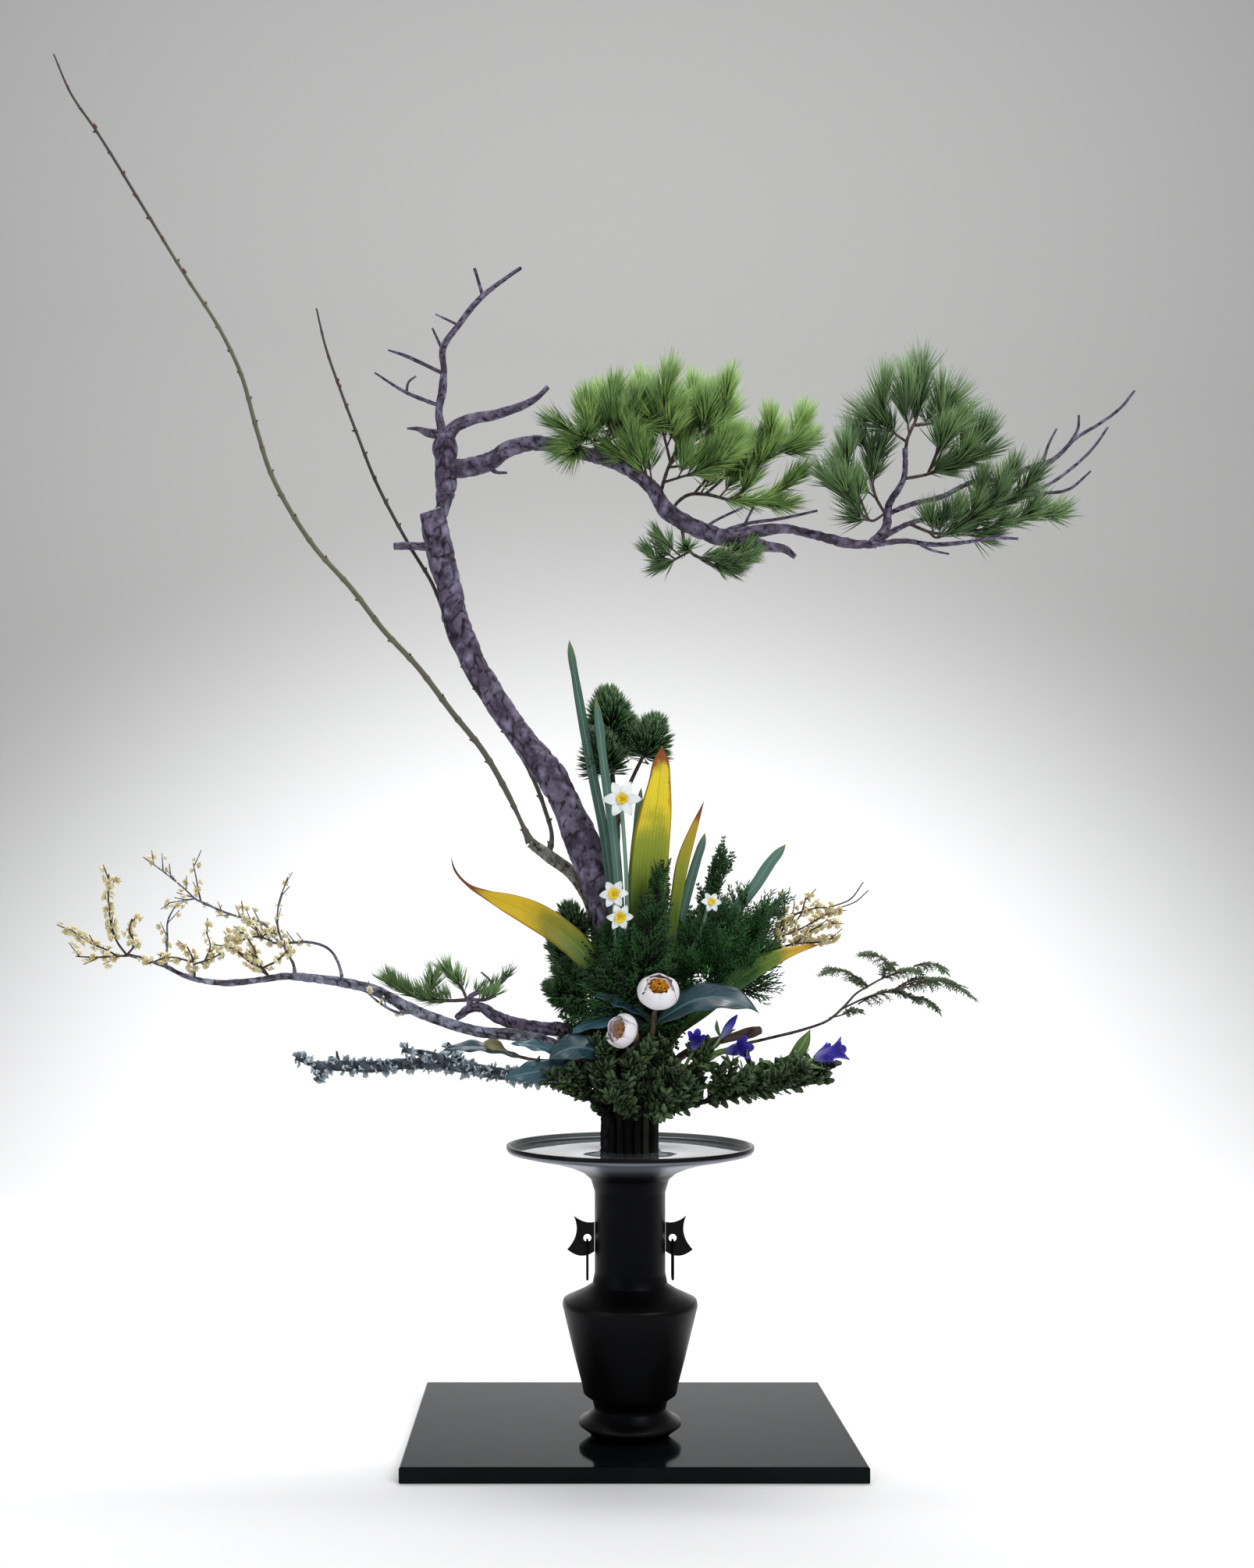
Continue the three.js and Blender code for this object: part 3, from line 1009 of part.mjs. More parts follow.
// Boxwood, cypress and juniper stems
const boxStems = {
  boxwood_left: column(outerStems, 12, 335, [-34, -30, 354, 3], [-58, -36, 366, 2.6],
    [-84, -38, 376, 2]),
  boxwood_centre: column(outerStems, 14, 333, [2, -46, 347, 3], [14, -64, 352, 2.6],
    [30, -82, 350, 2]),
  boxwood_right: column(outerStems, 17, 335, [50, -34, 352, 3], [92, -44, 364, 2.6],
    [140, -46, 372, 2.3], [196, -44, 381, 1.8]),
};
const boxTwigs = {
  boxwood_left: [[[-46, -33, 360], [-58, -52, 366], [-70, -66, 366]],
    [[-30, -28, 352], [-30, -52, 362], [-34, -72, 366]],
    [[-50, -34, 362], [-56, -22, 352], [-70, -14, 352]]],
  boxwood_centre: [[[4, -50, 348], [-8, -70, 358], [-12, -90, 362]],
    [[12, -62, 351], [30, -62, 366], [44, -72, 378]],
    [[10, -58, 350], [34, -52, 352], [56, -58, 358]]],
  boxwood_right: [[[70, -39, 358], [86, -60, 372], [100, -78, 380]],
    [[92, -44, 364], [112, -28, 366], [136, -14, 370]],
    [[118, -45, 368], [134, -62, 377], [154, -74, 384]],
    [[140, -46, 372], [160, -30, 378], [186, -22, 384]]],
};
const boxPlants = Object.entries(boxStems).map(([name, line]) => {
  const plant = new Plant(name, boxLeaf);
  plant.stem(line.slice(0, 3), 4);
  plant.twigs = plant.spray([line.slice(1), ...boxTwigs[name].map((twig) => twig
    .map(([x, y, z], i) => [x, y, z, 1.7 - 0.2 * i]))], 13);
  return plant;
});

const cypressStems = {
  cypress_centre: [column(innerStems, 10, 392, [5, -30, 430, 3.2], [14, -46, 480, 2.8],
    [20, -50, 530, 2.4], [27, -48, 580, 2], [30, -46, 612, 1.4])],
  cypress_left: [column(innerStems, 7, 366, [-32, -10, 404, 3.2], [-46, -12, 446, 2.6],
    [-52, -12, 490, 2.2], [-52, -14, 524, 1.6])],
  cypress_right: [column(innerStems, 2, 392, [20, 22, 430, 3.2], [48, 24, 480, 2.8],
    [72, 24, 530, 2.4], [90, 22, 576, 2], [98, 20, 612, 1.4]),
  [[19, 21, 424, 2.6], [18, 42, 480, 2.6], [30, 50, 550, 2.2], [34, 50, 596, 1.6]]],
};
const cypressPlants = Object.entries(cypressStems).map(([name, lines]) => {
  const plant = new Plant(name, cypressLeaf);
  plant.stem(lines[0].slice(0, 3), 4);
  plant.twigs = plant.spray([lines[0].slice(1), ...lines.slice(1)], 14);
  return plant;
});

const juniper = new Plant('juniper_right', cypressLeaf);
juniper.stem(column(outerStems, 2, 378, [42, 16, 424, 3], [72, 14, 462, 2.6]), 4);
const juniperTwigs = juniper.spray([
  [[66, 14, 454, 2.6], [72, 14, 462, 2.4], [104, 10, 494, 2], [134, 6, 520, 1.4]],
  [[74, 14, 464, 1.8], [100, 0, 470, 1.5], [128, -6, 486, 1.1]],
  [[84, 13, 474, 1.8], [108, 16, 512, 1.5], [128, 18, 544, 1.1]]], 8);

// Blooms
const blooms = [];

function bloom(name, look, rings, heart, frame, depth, radius) {
  const plant = new Plant(name, look);
  const back = heart.clone().addScaledVector(frame.out, -depth * 0.2);
  const front = heart.clone().addScaledVector(frame.out, depth);
  plant.add(rings, [[[...back, radius * 0.6], [...front, radius]]]);
  blooms.push(plant);
  return plant;
}

// A bowl of petals: back of the flower, rim of the petals and the inside a little above the back
function camelliaBloom(name, { heart, axis, back }, petals, size, opening) {
  const frame = basis(axis);
  const reach = size * opening;
  const high = size * Math.sqrt(1.2 - opening * opening);
  bloom(name, camelliaPetal, [
    roundRing(heart, frame, 6, 3.2, -back),
    roundRing(heart, frame, 6, 5.6, -3),
    starRing(heart, frame, petals, [[-0.25, reach * 0.64, high * 0.18], [0.25, reach * 0.64, high * 0.18]]),
    starRing(heart, frame, petals, [[-0.5, reach * 0.66, high * 0.42], [-0.27, reach * 0.94, high * 0.9],
      [0, reach, high], [0.27, reach * 0.94, high * 0.9]]),
    starRing(heart, frame, petals, [[-0.25, reach * 0.6, high * 0.18 + 1.7],
      [0.25, reach * 0.6, high * 0.18 + 1.7]]),
    [heart.clone().addScaledVector(frame.out, -0.6)],
  ], heart, frame, high, size * opening);
  return frame;
}

const openFrame = camelliaBloom('camellia_bloom_open', flowers.camelliaOpen, 6, 20.5, 0.99);
camelliaBloom('camellia_bloom_side', flowers.camelliaSide, 5, 18.5, 0.8);

// Stamens: spikes drawn out of a low button
const stamens = new Plant('camellia_stamens', camelliaStamen);
const openHeart = flowers.camelliaOpen.heart;
const button = stamens.add([
  [openHeart.clone().addScaledVector(openFrame.out, 0.2)],
  roundRing(openHeart, openFrame, 8, 3.4, 2), roundRing(openHeart, openFrame, 8, 2.6, 4),
  [openHeart.clone().addScaledVector(openFrame.out, 4.6)],
], []);
button.sides.slice(1).flat().forEach((face, k) => {
  const foot = button.middle(face);
  const outward = foot.clone().sub(openHeart).projectOnPlane(openFrame.out);
  const tip = foot.clone().addScaledVector(openFrame.out, 6.5 + (k % 3))
    .addScaledVector(outward, 1.1 + 0.3 * (k % 2));
  button.grow(face, [[tip]]);
});
blooms.push(stamens);

function narcissusBloom(name, { heart, axis, back }, size, cupName) {
  const frame = basis(axis);
  bloom(name, narcissusPetal, [
    roundRing(heart, frame, 6, 2, -back),
    roundRing(heart, frame, 6, 2.5, -1.6),
    starRing(heart, frame, 6, [[-0.5, size * 0.3, 0], [-0.22, size * 0.68, 0.8], [0, size, 2],
      [0.22, size * 0.68, 0.8]]),
    [heart.clone().addScaledVector(frame.out, 1.6)],
  ], heart, frame, size * 0.35, size * 0.75);
  if (!cupName) return;
  const cup = turned([[0, 0], [2.4, 0], [4.8, 4.6], [3.8, 4.6], [1.8, 1.1], [0, 1.1]], 8);
  cup.applyQuaternion(new THREE.Quaternion().setFromUnitVectors(vector(0, 0, 1), frame.out));
  const seat = heart.clone().addScaledVector(frame.out, 1.6 + 2 * seam);
  cup.translate(seat.x, seat.y, seat.z);
  addMesh(cupName, solid(cup), narcissusCup);
}

narcissusBloom('narcissus_bloom_upper', flowers.narcissusUpper, 21, 'narcissus_cup_upper');
narcissusBloom('narcissus_bloom_middle', flowers.narcissusMiddle, 15.5, 'narcissus_cup_middle');
narcissusBloom('narcissus_bloom_lower', flowers.narcissusLower, 14.5, 'narcissus_cup_lower');
narcissusBloom('narcissus_bloom_right', flowers.narcissusRight, 11);

// A gentian trumpet: it widens to five points and is hollow at the mouth
function gentianBloom(name, { heart: start, axis }, length, radius) {
  const frame = basis(axis);
  bloom(name, gentianPetal, [
    roundRing(start, frame, 5, radius * 0.3, 0),
    roundRing(start, frame, 5, radius * 0.52, length * 0.35),
    starRing(start, frame, 5, [[0, radius * 0.66, length * 0.75], [0.5, radius * 0.58, length * 0.75]]),
    starRing(start, frame, 5, [[0, radius, length], [0.5, radius * 0.62, length * 0.96]]),
    starRing(start, frame, 5, [[0, radius * 0.5, length * 0.8], [0.5, radius * 0.42, length * 0.8]]),
    [start.clone().addScaledVector(frame.out, length * 0.5)],
  ], start, frame, length, radius * 0.8);
}

gentianBloom('gentian_bloom_left', flowers.gentianLeft, 20, 8);
gentianBloom('gentian_bloom_middle', flowers.gentianMiddle, 24, 9);
gentianBloom('gentian_bloom_right', flowers.gentianRight, 28, 9.5);

// Wintersweet sprays of the left branch: twigs, and how many flowers each carries
const sweetSprays = {
  wintersweet_spray_tip: {
    seat: [sweetMain, 5, barkGnarl],
    lines: [
      [[-508, -4, 505, 1.8], [-526, -6, 504, 1.4], [-543, -10, 503, 1.2], [-561, -14, 504, 0.9]],
      [[-521, -5, 504, 1.6], [-535, 0, 511, 1.3], [-548, 4, 516, 1.2], [-575, 12, 532, 0.9]],
      [[-512, -4, 505, 1.7], [-520, -12, 519, 1.4], [-523, -18, 532, 1.3], [-524, -28, 555, 1.1],
        [-521, -38, 586, 0.8]],
      [[-512, -5, 505, 1.6], [-507, 6, 517, 1.3], [-514, 12, 530, 1.1], [-513, 18, 543, 0.9]],
    ],
    flowers: [1, 3, 4, 4],
  },
  wintersweet_spray_middle: {
    seat: [sweetMain, 5, barkGnarl],
    lines: [
      [[-441, -14, 482, 1.8], [-440, -24, 500, 1.5], [-445, -34, 516, 0.9]],
      [[-440, -23, 498, 1.4], [-462, -30, 503, 1.1], [-484, -34, 496, 0.9]],
      [[-440, -22, 496, 1.4], [-424, -34, 500, 1.2], [-408, -46, 506, 1]],
      [[-426, -33, 500, 1.2], [-418, -46, 514, 1], [-420, -56, 529, 0.8]],
    ],
    parents: [0, 0, 0, 2],
    flowers: [2, 4, 4, 3],
  },
  wintersweet_spray_inner: {
    seat: [sweetMain, 5, barkGnarl],
    lines: [
      [[-362, -24, 481, 2], [-372, -36, 496, 1.6], [-390, -46, 508, 1.2], [-402, -58, 516, 0.9]],
      [[-369, -33, 492, 1.5], [-352, -42, 500, 1.2], [-340, -50, 510, 0.9]],
      [[-372, -36, 496, 1.4], [-374, -50, 512, 1.2], [-384, -56, 528, 0.9]],
      [[-366, -28, 486, 1.4], [-384, -20, 498, 1.2], [-398, -12, 508, 0.9]],
    ],
    flowers: [3, 3, 4, 3],
  },
  wintersweet_spray_upper: {
    seat: [sweetUpper, 3, 0],
    lines: [
      [[-366, 5, 520, 1.6], [-380, -4, 524, 1.4], [-396, -8, 521, 1], [-408, -10, 520, 0.9]],
      [[-378, -2, 523, 1.2], [-380, -12, 534, 1.1], [-392, -18, 544, 0.9]],
      [[-376, -1, 522, 1.2], [-366, -12, 530, 1.1], [-356, -24, 526, 0.9]],
    ],
    flowers: [3, 3, 2],
  },
};
const sprayPlants = Object.entries(sweetSprays).map(([name, { seat, lines, parents }]) => {
  const plant = new Plant(name, sweetBloom);
  plant.seatOn(...seat);
  plant.twigs = plant.spray(lines, 13, parents);
  return plant;
});

// Upper pine sprays: shoots with needles, rooted on the limb
const pineSprays = {
  pine_spray_inner: {
    seat: [rightLimb, 6, barkGnarl],
    shoots: [
      [[-30, 7, 1014, 2], [-36, 6, 1034, 1.8], [-22, 2, 1056, 1.4]],
      [[-35, 6, 1028, 1.6], [-52, -6, 1030, 1.3], [-66, -12, 1027, 1]],
      [[-30, 5, 1042, 1.5], [-4, 8, 1062, 1.4], [6, 10, 1084, 1.1]],
      [[-34, 6, 1032, 1.5], [-22, 24, 1042, 1.4], [-8, 32, 1058, 1.1]],
    ],
    needles: [14, 14, 16, 14],
    length: 34,
  },
  pine_spray_top: {
    seat: [rightLimb, 6, barkGnarl],
    shoots: [
      [[30, -1, 972, 2], [38, 4, 1000, 1.9], [54, 6, 1034, 1.7], [72, 6, 1062, 1.3]],
      [[42, 5, 1008, 1.6], [34, -14, 1030, 1.4], [26, -24, 1054, 1.1]],
      [[50, 6, 1026, 1.6], [50, 24, 1044, 1.4], [44, 36, 1060, 1.1]],
      [[48, 6, 1022, 1.6], [76, -8, 1034, 1.4], [96, -14, 1050, 1.1]],
    ],
    needles: [16, 14, 12, 16],
    length: 36,
  },
  pine_spray_outer: {
    seat: [rightLimb, 6, barkGnarl],
    shoots: [
      [[42, -3, 956, 2], [50, 6, 970, 1.9], [62, 13, 979, 1.9], [78, 16, 980, 1.8], [108, 18, 974, 1.7],
        [136, 16, 973, 1.5], [156, 14, 984, 1.2]],
      [[78, 16, 980, 1.5], [98, 18, 998, 1.4], [118, 16, 1022, 1.1]],
      [[108, 18, 974, 1.5], [128, 6, 1000, 1.4], [146, -2, 1030, 1.1]],
      [[134, 4, 1010, 1.4], [158, 10, 1022, 1.2], [178, 14, 1030, 1]],
    ],
    parents: [0, 0, 0, 2],
    needles: [12, 14, 16, 12],
    length: 32,
  },
  pine_spray_under: {
    seat: [rightLimb, 6, barkGnarl],
    shoots: [
      [[52, -4, 944, 2], [56, -10, 922, 1.8], [64, -14, 910, 1.6], [90, -22, 904, 1.4],
        [112, -26, 902, 1.1]],
      [[60, -12, 914, 1.5], [44, -8, 906, 1.2], [34, -6, 900, 1]],
      [[66, -15, 909, 1.5], [84, -6, 892, 1.3], [106, -2, 878, 1]],
    ],
    needles: [18, 10, 16],
    length: 25,
  },
  pine_spray_far_left: {
    seat: [farRise, 3, 0],
    shoots: [
      [[257, -28, 944, 1.8], [246, -24, 966, 1.5], [242, -20, 996, 1.3], [242, -18, 1010, 1]],
      [[255, -27, 948, 1.5], [238, -38, 938, 1.4], [222, -44, 950, 1.2], [204, -48, 966, 1]],
      [[236, -39, 939, 1.3], [226, -34, 966, 1.2], [212, -28, 992, 1]],
    ],
    parents: [0, 0, 1],
    needles: [15, 10, 12],
    length: 36,
  },
  pine_spray_far_top: {
    seat: [farRise, 3, 0],
    shoots: [
      [[274, -31, 1000, 1.8], [276, -32, 1020, 1.7], [284, -34, 1036, 1.5], [285, -34, 1056, 1.2]],
      [[276, -32, 1018, 1.4], [262, -28, 1030, 1.2], [252, -24, 1044, 1]],
      [[284, -34, 1034, 1.4], [300, -28, 1038, 1.2], [314, -22, 1044, 1]],
    ],
    needles: [18, 12, 14],
    length: 44,
  },
  pine_spray_far_middle: {
    seat: [farRise, 3, 0],
    shoots: [
      [[273, -30, 982, 1.8], [292, -20, 988, 1.6], [312, -10, 996, 1.4], [332, -4, 1008, 1.1]],
      [[306, -13, 993, 1.4], [330, -16, 1000, 1.3], [356, -18, 1010, 1.1]],
      [[300, -16, 991, 1.4], [306, -28, 1008, 1.2], [312, -36, 1024, 1]],
    ],
    needles: [14, 16, 12],
    length: 36,
  },
  pine_spray_far_low: {
    seat: [farMiddle, 3, 0],
    shoots: [
      [[281, -16, 941, 1.8], [304, -22, 930, 1.6], [336, -24, 930, 1.5], [372, -22, 938, 1.4],
        [400, -18, 946, 1.2]],
      [[318, -23, 930, 1.4], [334, -36, 936, 1.2], [350, -44, 944, 1]],
      [[344, -24, 932, 1.4], [362, -38, 950, 1.2], [380, -48, 958, 1]],
      [[300, -21, 931, 1.3], [306, -34, 922, 1.2], [318, -40, 926, 1]],
    ],
    needles: [18, 12, 12, 10],
    length: 34,
  },
};
const pinePlants = Object.entries(pineSprays).map(([name, { seat, shoots, parents }]) => {
  const plant = new Plant(name, pineNeedle);
  plant.seatOn(...seat);
  plant.twigs = plant.spray(shoots, 8, parents);
  return plant;
});

const lowNeedles = new Plant('low_pine_needles', pineNeedle);
const lowNeedleShoots = [
  [[-163, -9, 460, 2], [-184, -12, 466, 1.7], [-205, -16, 470, 1.6], [-223, -20, 475, 1.5],
    [-245, -26, 489, 1]],
  [[-166, -9, 461, 1.6], [-172, -4, 473, 1.4], [-186, 2, 486, 1.1]],
  [[-205, -16, 470, 1.4], [-202, -10, 480, 1.2], [-200, -6, 488, 1]],
];
lowNeedles.seatOn(lowPineTwig, 4);
const lowNeedleTwigs = lowNeedles.spray(lowNeedleShoots, 5);

// Foliage, from the pieces that matter most to those that fill what is left
Object.values(pineSprays).forEach(({ needles, length }, i) => {
  pinePlants[i].twigs.forEach((twig, k) => bristle(pinePlants[i], twig, {
    count: needles[k], length, lean: 48, from: 0.2, rise: 0.15,
  }));
});
lowNeedleTwigs.forEach((twig, k) => bristle(lowNeedles, twig, {
  count: [22, 8, 6][k], length: 22, lean: 50, from: 0.3, rise: 0.2,
}));
tuft(shortUpper, vector(-21, 16, 738), 6, 22);
tuft(shortUpper, vector(16, 13, 710), 6, 22);
tuft(shortUpper, vector(-27, 0, 692), 5.5, 20);
tuft(shortLeft, vector(-56.5, 16, 535), 5, 18);
tuft(shortLeft, vector(-67, 2, 463), 4.5, 14);
Object.values(sweetSprays).forEach(({ flowers }, i) => {
  sprayPlants[i].twigs.forEach((twig, k) => blossoms(sprayPlants[i], twig, {
    count: flowers[k], radius: 6, from: 0.3,
  }));
});
sweetRightTwigs.forEach((twig, k) => blossoms(sweetRight, twig, {
  count: [6, 3, 4, 3][k], radius: 5.5, from: k === 0 ? 0.45 : 0.2,
}));

// Fronds of the hemlock: number of the twig, how far along it, the tip and the width
const hemlockFronds = [
  [0, 0.35, [186, -36, 490], 15], [0, 0.7, [230, -16, 508], 13], [0, 0.95, [316, -30, 489], 14],
  [1, 0.95, [345, -48, 466], 17], [1, 0.3, [242, -20, 444], 10], [1, 0.45, [306, -24, 458], 13],
];
for (const [twig, share, tip, width] of hemlockFronds) {
  const { skin, rows } = hemlockTwigs[twig];
  const faces = rows[Math.floor(share * rows.length)];
  const towards = faces.map((face) => skin.facing(face).dot(place(tip).sub(skin.middle(face)).normalize()));
  const face = faces[towards.indexOf(Math.max(...towards))];
  growFrond(hemlock, skin, face, place(tip), { width, steps: 5, droop: 2 });
}

const cypressCounts = { cypress_centre: [9], cypress_left: [7], cypress_right: [9, 6] };
cypressPlants.forEach((plant) => plant.twigs.forEach((twig, k) => frondTwig(plant, twig, {
  count: cypressCounts[plant.name][k], length: 48, from: 0.2, lean: 62, width: 24, steps: 4,
})));
juniperTwigs.forEach((twig) => bristle(juniper, twig, {
  count: 13, length: 26, lean: 30, from: 0.1,
}));
boxPlants.forEach((plant) => plant.twigs.forEach((twig, k) => leafTwig(plant, twig, {
  count: 7, length: 15, width: 10, thickness: 1.2, lean: 56, from: k === 0 ? 0.45 : 0.1,
})));

// Flakes on the lichen-covered branch
alongFaces(lichenTwig, 15, 0.05, ({ face, foot, ahead, outward }) => {
  const tip = foot.clone().addScaledVector(outward, draw(4, 8)).addScaledVector(ahead, -draw(1, 5));
  growLeaf(lichen, lichenTwig.skin, face, tip, draw(7, 10), 2.4, ahead);
});

// Buds on the two long plum shoots
for (const [x, y, z] of [[-555, 36, 1365], [-461, 32, 1212], [-301, 40, 1096]]) {
  plum.stem([[x, y, z, 1.2], [x - 1, y - 1.5, z + 4, 2.2], [x - 1.5, y - 2, z + 8, 0.6]], 3);
}

for (const plant of [trunk, plum, lowPine, lowNeedles, sweet, lichen, hemlock, stub, sweetRight,
  shortUpper, shortLeft, narcissusLeft, narcissusRight, bladeTall, bladeLeft, bladeRight,
  camelliaFront, camelliaLeft, gentianCentre, gentianRight, juniper, ...boxPlants, ...cypressPlants,
  ...blooms, ...sprayPlants, ...pinePlants]) {
  plant.finish();
}

export default arrangement;
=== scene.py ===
# %% [markdown]
# # A tall standing flower arrangement in a bronze vase
# The object is a pine trunk with its clouds of needles, two long plum shoots, flowering branches,
# narcissus, camellia and evergreens, held in a bronze vase with drop rings on a lacquered board.
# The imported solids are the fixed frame: they carry the sizes, and each plant solid is replaced here by
# a finer mesh on the same lines. Lines are written in millimetres, as [x, y, z, radius or width],
# because that is how a maker would measure a stem, and are turned into metres when they are used.

# %% Load the frame
import math

import bpy
import numpy as np
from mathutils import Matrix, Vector, noise


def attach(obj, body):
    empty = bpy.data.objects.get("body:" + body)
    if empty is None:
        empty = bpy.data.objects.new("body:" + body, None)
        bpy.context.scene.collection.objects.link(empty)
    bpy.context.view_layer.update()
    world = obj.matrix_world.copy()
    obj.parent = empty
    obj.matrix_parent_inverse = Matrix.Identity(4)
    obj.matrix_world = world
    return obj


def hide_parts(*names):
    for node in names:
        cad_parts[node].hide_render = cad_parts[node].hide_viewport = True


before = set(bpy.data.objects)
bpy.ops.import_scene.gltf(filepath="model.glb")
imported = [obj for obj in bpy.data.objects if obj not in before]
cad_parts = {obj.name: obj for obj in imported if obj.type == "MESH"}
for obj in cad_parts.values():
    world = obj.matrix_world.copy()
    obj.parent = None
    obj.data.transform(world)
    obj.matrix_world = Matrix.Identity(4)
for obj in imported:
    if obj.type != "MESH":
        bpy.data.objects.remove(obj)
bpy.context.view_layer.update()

# %% [markdown]
# ## The camera
# The photograph was taken level, a little below the middle of the arrangement, so all uprights stay
# parallel. A level camera with lens shift gives the same picture: the point that it looks at lies off
# the middle of the frame, and the shift says how far. The numbers follow from the board's and the
# mouth's ellipses in a picture of 1607 by 2009 pixels.

# %% Camera
MM = 0.001
IMAGE = (1607, 2009)
FOCAL_PIXELS = 2050
AIM_PIXEL = (724.4, 1236.7)
SENSOR = 36

camera = bpy.data.objects.new("camera", bpy.data.cameras.new("camera"))
bpy.context.scene.collection.objects.link(camera)
camera.location = Vector((-66, -1632, 495)) * MM
camera.rotation_euler = (math.pi / 2, 0, 0)
camera.data.sensor_width = SENSOR
camera.data.lens = SENSOR * FOCAL_PIXELS / IMAGE[1]
camera.data.shift_x = (IMAGE[0] / 2 - AIM_PIXEL[0]) / IMAGE[1]
camera.data.shift_y = (AIM_PIXEL[1] - IMAGE[1] / 2) / IMAGE[1]
bpy.context.scene.camera = camera
print("lens", round(camera.data.lens, 2), "mm")

# %% [markdown]
# ## Gathering a piece
# A spray has thousands of needles. As separate objects they would be slow and hard to keep, so each
# piece gathers its corners and faces in numpy arrays and becomes one mesh at the end. Three numbers
# are kept at each corner for the finish: how far along the leaf or stem it lies, how far across it,
# and a tint that is the same all over one leaf.

# %% Piece
MARKS = ("along", "across", "tint")


def unit(rows):
    return rows / np.maximum(np.linalg.norm(rows, axis=-1, keepdims=True), 1e-12)


class Piece:
    """One piece of the model while it is being made"""

    def __init__(self):
        self.corners = []
        self.marks = []
        self.faces = []
        self.count = 0

    def add(self, corners, faces, marks, paint=0):
        self.corners.append(np.asarray(corners, float).reshape(-1, 3))
        self.marks.append(np.asarray(marks, float).reshape(-1, 3))
        self.faces += [(rows + self.count, paint) for rows in faces]
        self.count += len(self.corners[-1])

    def make(self, name, finishes, node, body="arrangement"):
        mesh = bpy.data.meshes.new(name)
        corners = np.concatenate(self.corners).astype(np.float32)
        marks = np.concatenate(self.marks).astype(np.float32)
        widths = np.concatenate([np.full(len(rows), rows.shape[1]) for rows, _ in self.faces])
        paints = np.concatenate([np.full(len(rows), paint) for rows, paint in self.faces])
        loops = np.concatenate([rows.ravel() for rows, _ in self.faces]).astype(np.int32)
        mesh.vertices.add(len(corners))
        mesh.vertices.foreach_set("co", corners.ravel())
        mesh.loops.add(len(loops))
        mesh.loops.foreach_set("vertex_index", loops)
        mesh.polygons.add(len(widths))
        mesh.polygons.foreach_set("loop_start", (np.cumsum(widths) - widths).astype(np.int32))
        mesh.polygons.foreach_set("material_index", paints.astype(np.int32))
        mesh.polygons.foreach_set("use_smooth", np.full(len(widths), True))
        for k, mark in enumerate(MARKS):
            mesh.attributes.new(mark, "FLOAT", "POINT").data.foreach_set("value", marks[:, k].copy())
        for finish in finishes:
            mesh.materials.append(finish.material)
        mesh.update(calc_edges=True)
        mesh.validate()
        made = bpy.data.objects.new(name, mesh)
        bpy.context.scene.collection.objects.link(made)
        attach(made, body)
        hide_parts(node)
        print(f"{name}: {int((widths - 2).sum())} triangles")
        return made


# %% [markdown]
# ## Skins, rods and blades
# Nearly everything here is a row of rings with a skin over them: a stem is round rings along a smooth
# line, a leaf is flat lens-shaped rings that narrow to a point, and the vase is rings round its axis.
# One function makes the faces for all of them. The line of a stem runs smoothly through listed
# stations, and the directions square to it are carried along so that the skin doesn't twist.

# %% Faces over a row of rings
def ring_faces(rings, sides, pointed):
    """Faces over `rings` rings of `sides` corners, closed at the start, and pointed or flat at the end"""
    corner = np.arange(sides)
    band = np.stack([corner, np.roll(corner, -1), np.roll(corner, -1) + sides, corner + sides], axis=1)
    bands = (band[None] + sides * np.arange(rings - 1)[:, None, None]).reshape(-1, 4)
    last = sides * (rings - 1) + corner
    end = last[None]
    if pointed:
        end = np.stack([last, np.roll(last, -1), np.full(sides, sides * rings)], axis=1)
    return [bands, corner[None, ::-1], end]


def skin(piece, rings, marks, paint=0, tip=None, tip_mark=None):
    """Adds a closed skin over rings (n, m, 3); tip is the point it ends in, if it is pointed"""
    count, sides = rings.shape[:2]
    corners = rings.reshape(-1, 3)
    marks = np.broadcast_to(marks, rings.shape).reshape(-1, 3)
    if tip is not None:
        corners = np.vstack([corners, tip])
        marks = np.vstack([marks, tip_mark])
    piece.add(corners, ring_faces(count, sides, tip is not None), marks, paint)


def hoop(piece, rings, reverse=True):
    """Adds a skin over rings of which the last joins the first"""
    count, sides = rings.shape[:2]
    faces = ring_faces(count + 1, sides, False)[0] % (count * sides)
    piece.add(rings, [faces[:, ::-1] if reverse else faces], np.full(rings.shape, 0.5))


# %% Turns and runs
def turns_of(count):
    return np.linspace(0, 2 * np.pi, count, endpoint=False)


def ways_round(across, over, turns):
    """The directions that lie at these turns between across and over"""
    return across * np.cos(turns)[..., None] + over * np.sin(turns)[..., None]


def gaps_of(points):
    return np.linalg.norm(np.diff(points, axis=0), axis=1)


def run_of(points):
    """How far along its line each point lies"""
    return np.concatenate([[0], np.cumsum(gaps_of(points))])


def marks_of(rings, along, across, tint):
    """The three marks for each corner of rings (n, m, 3)"""
    marks = np.empty(rings.shape)
    marks[..., 0], marks[..., 1], marks[..., 2] = along, across, tint
    return marks


# %% Smooth lines
def read_smoothly(at, where, rows):
    """Reads a table of rows at `at`, with smooth turns between its rows"""
    slope = np.gradient(rows, where, axis=0)
    k = np.clip(np.searchsorted(where, at, side="right") - 1, 0, len(where) - 2)
    wide = (where[k + 1] - where[k])[:, None]
    s = (at - where[k])[:, None] / wide
    return ((2 * s**3 - 3 * s**2 + 1) * rows[k] + (s**3 - 2 * s**2 + s) * wide * slope[k]
            + (3 * s**2 - 2 * s**3) * rows[k + 1] + (s**3 - s**2) * wide * slope[k + 1])


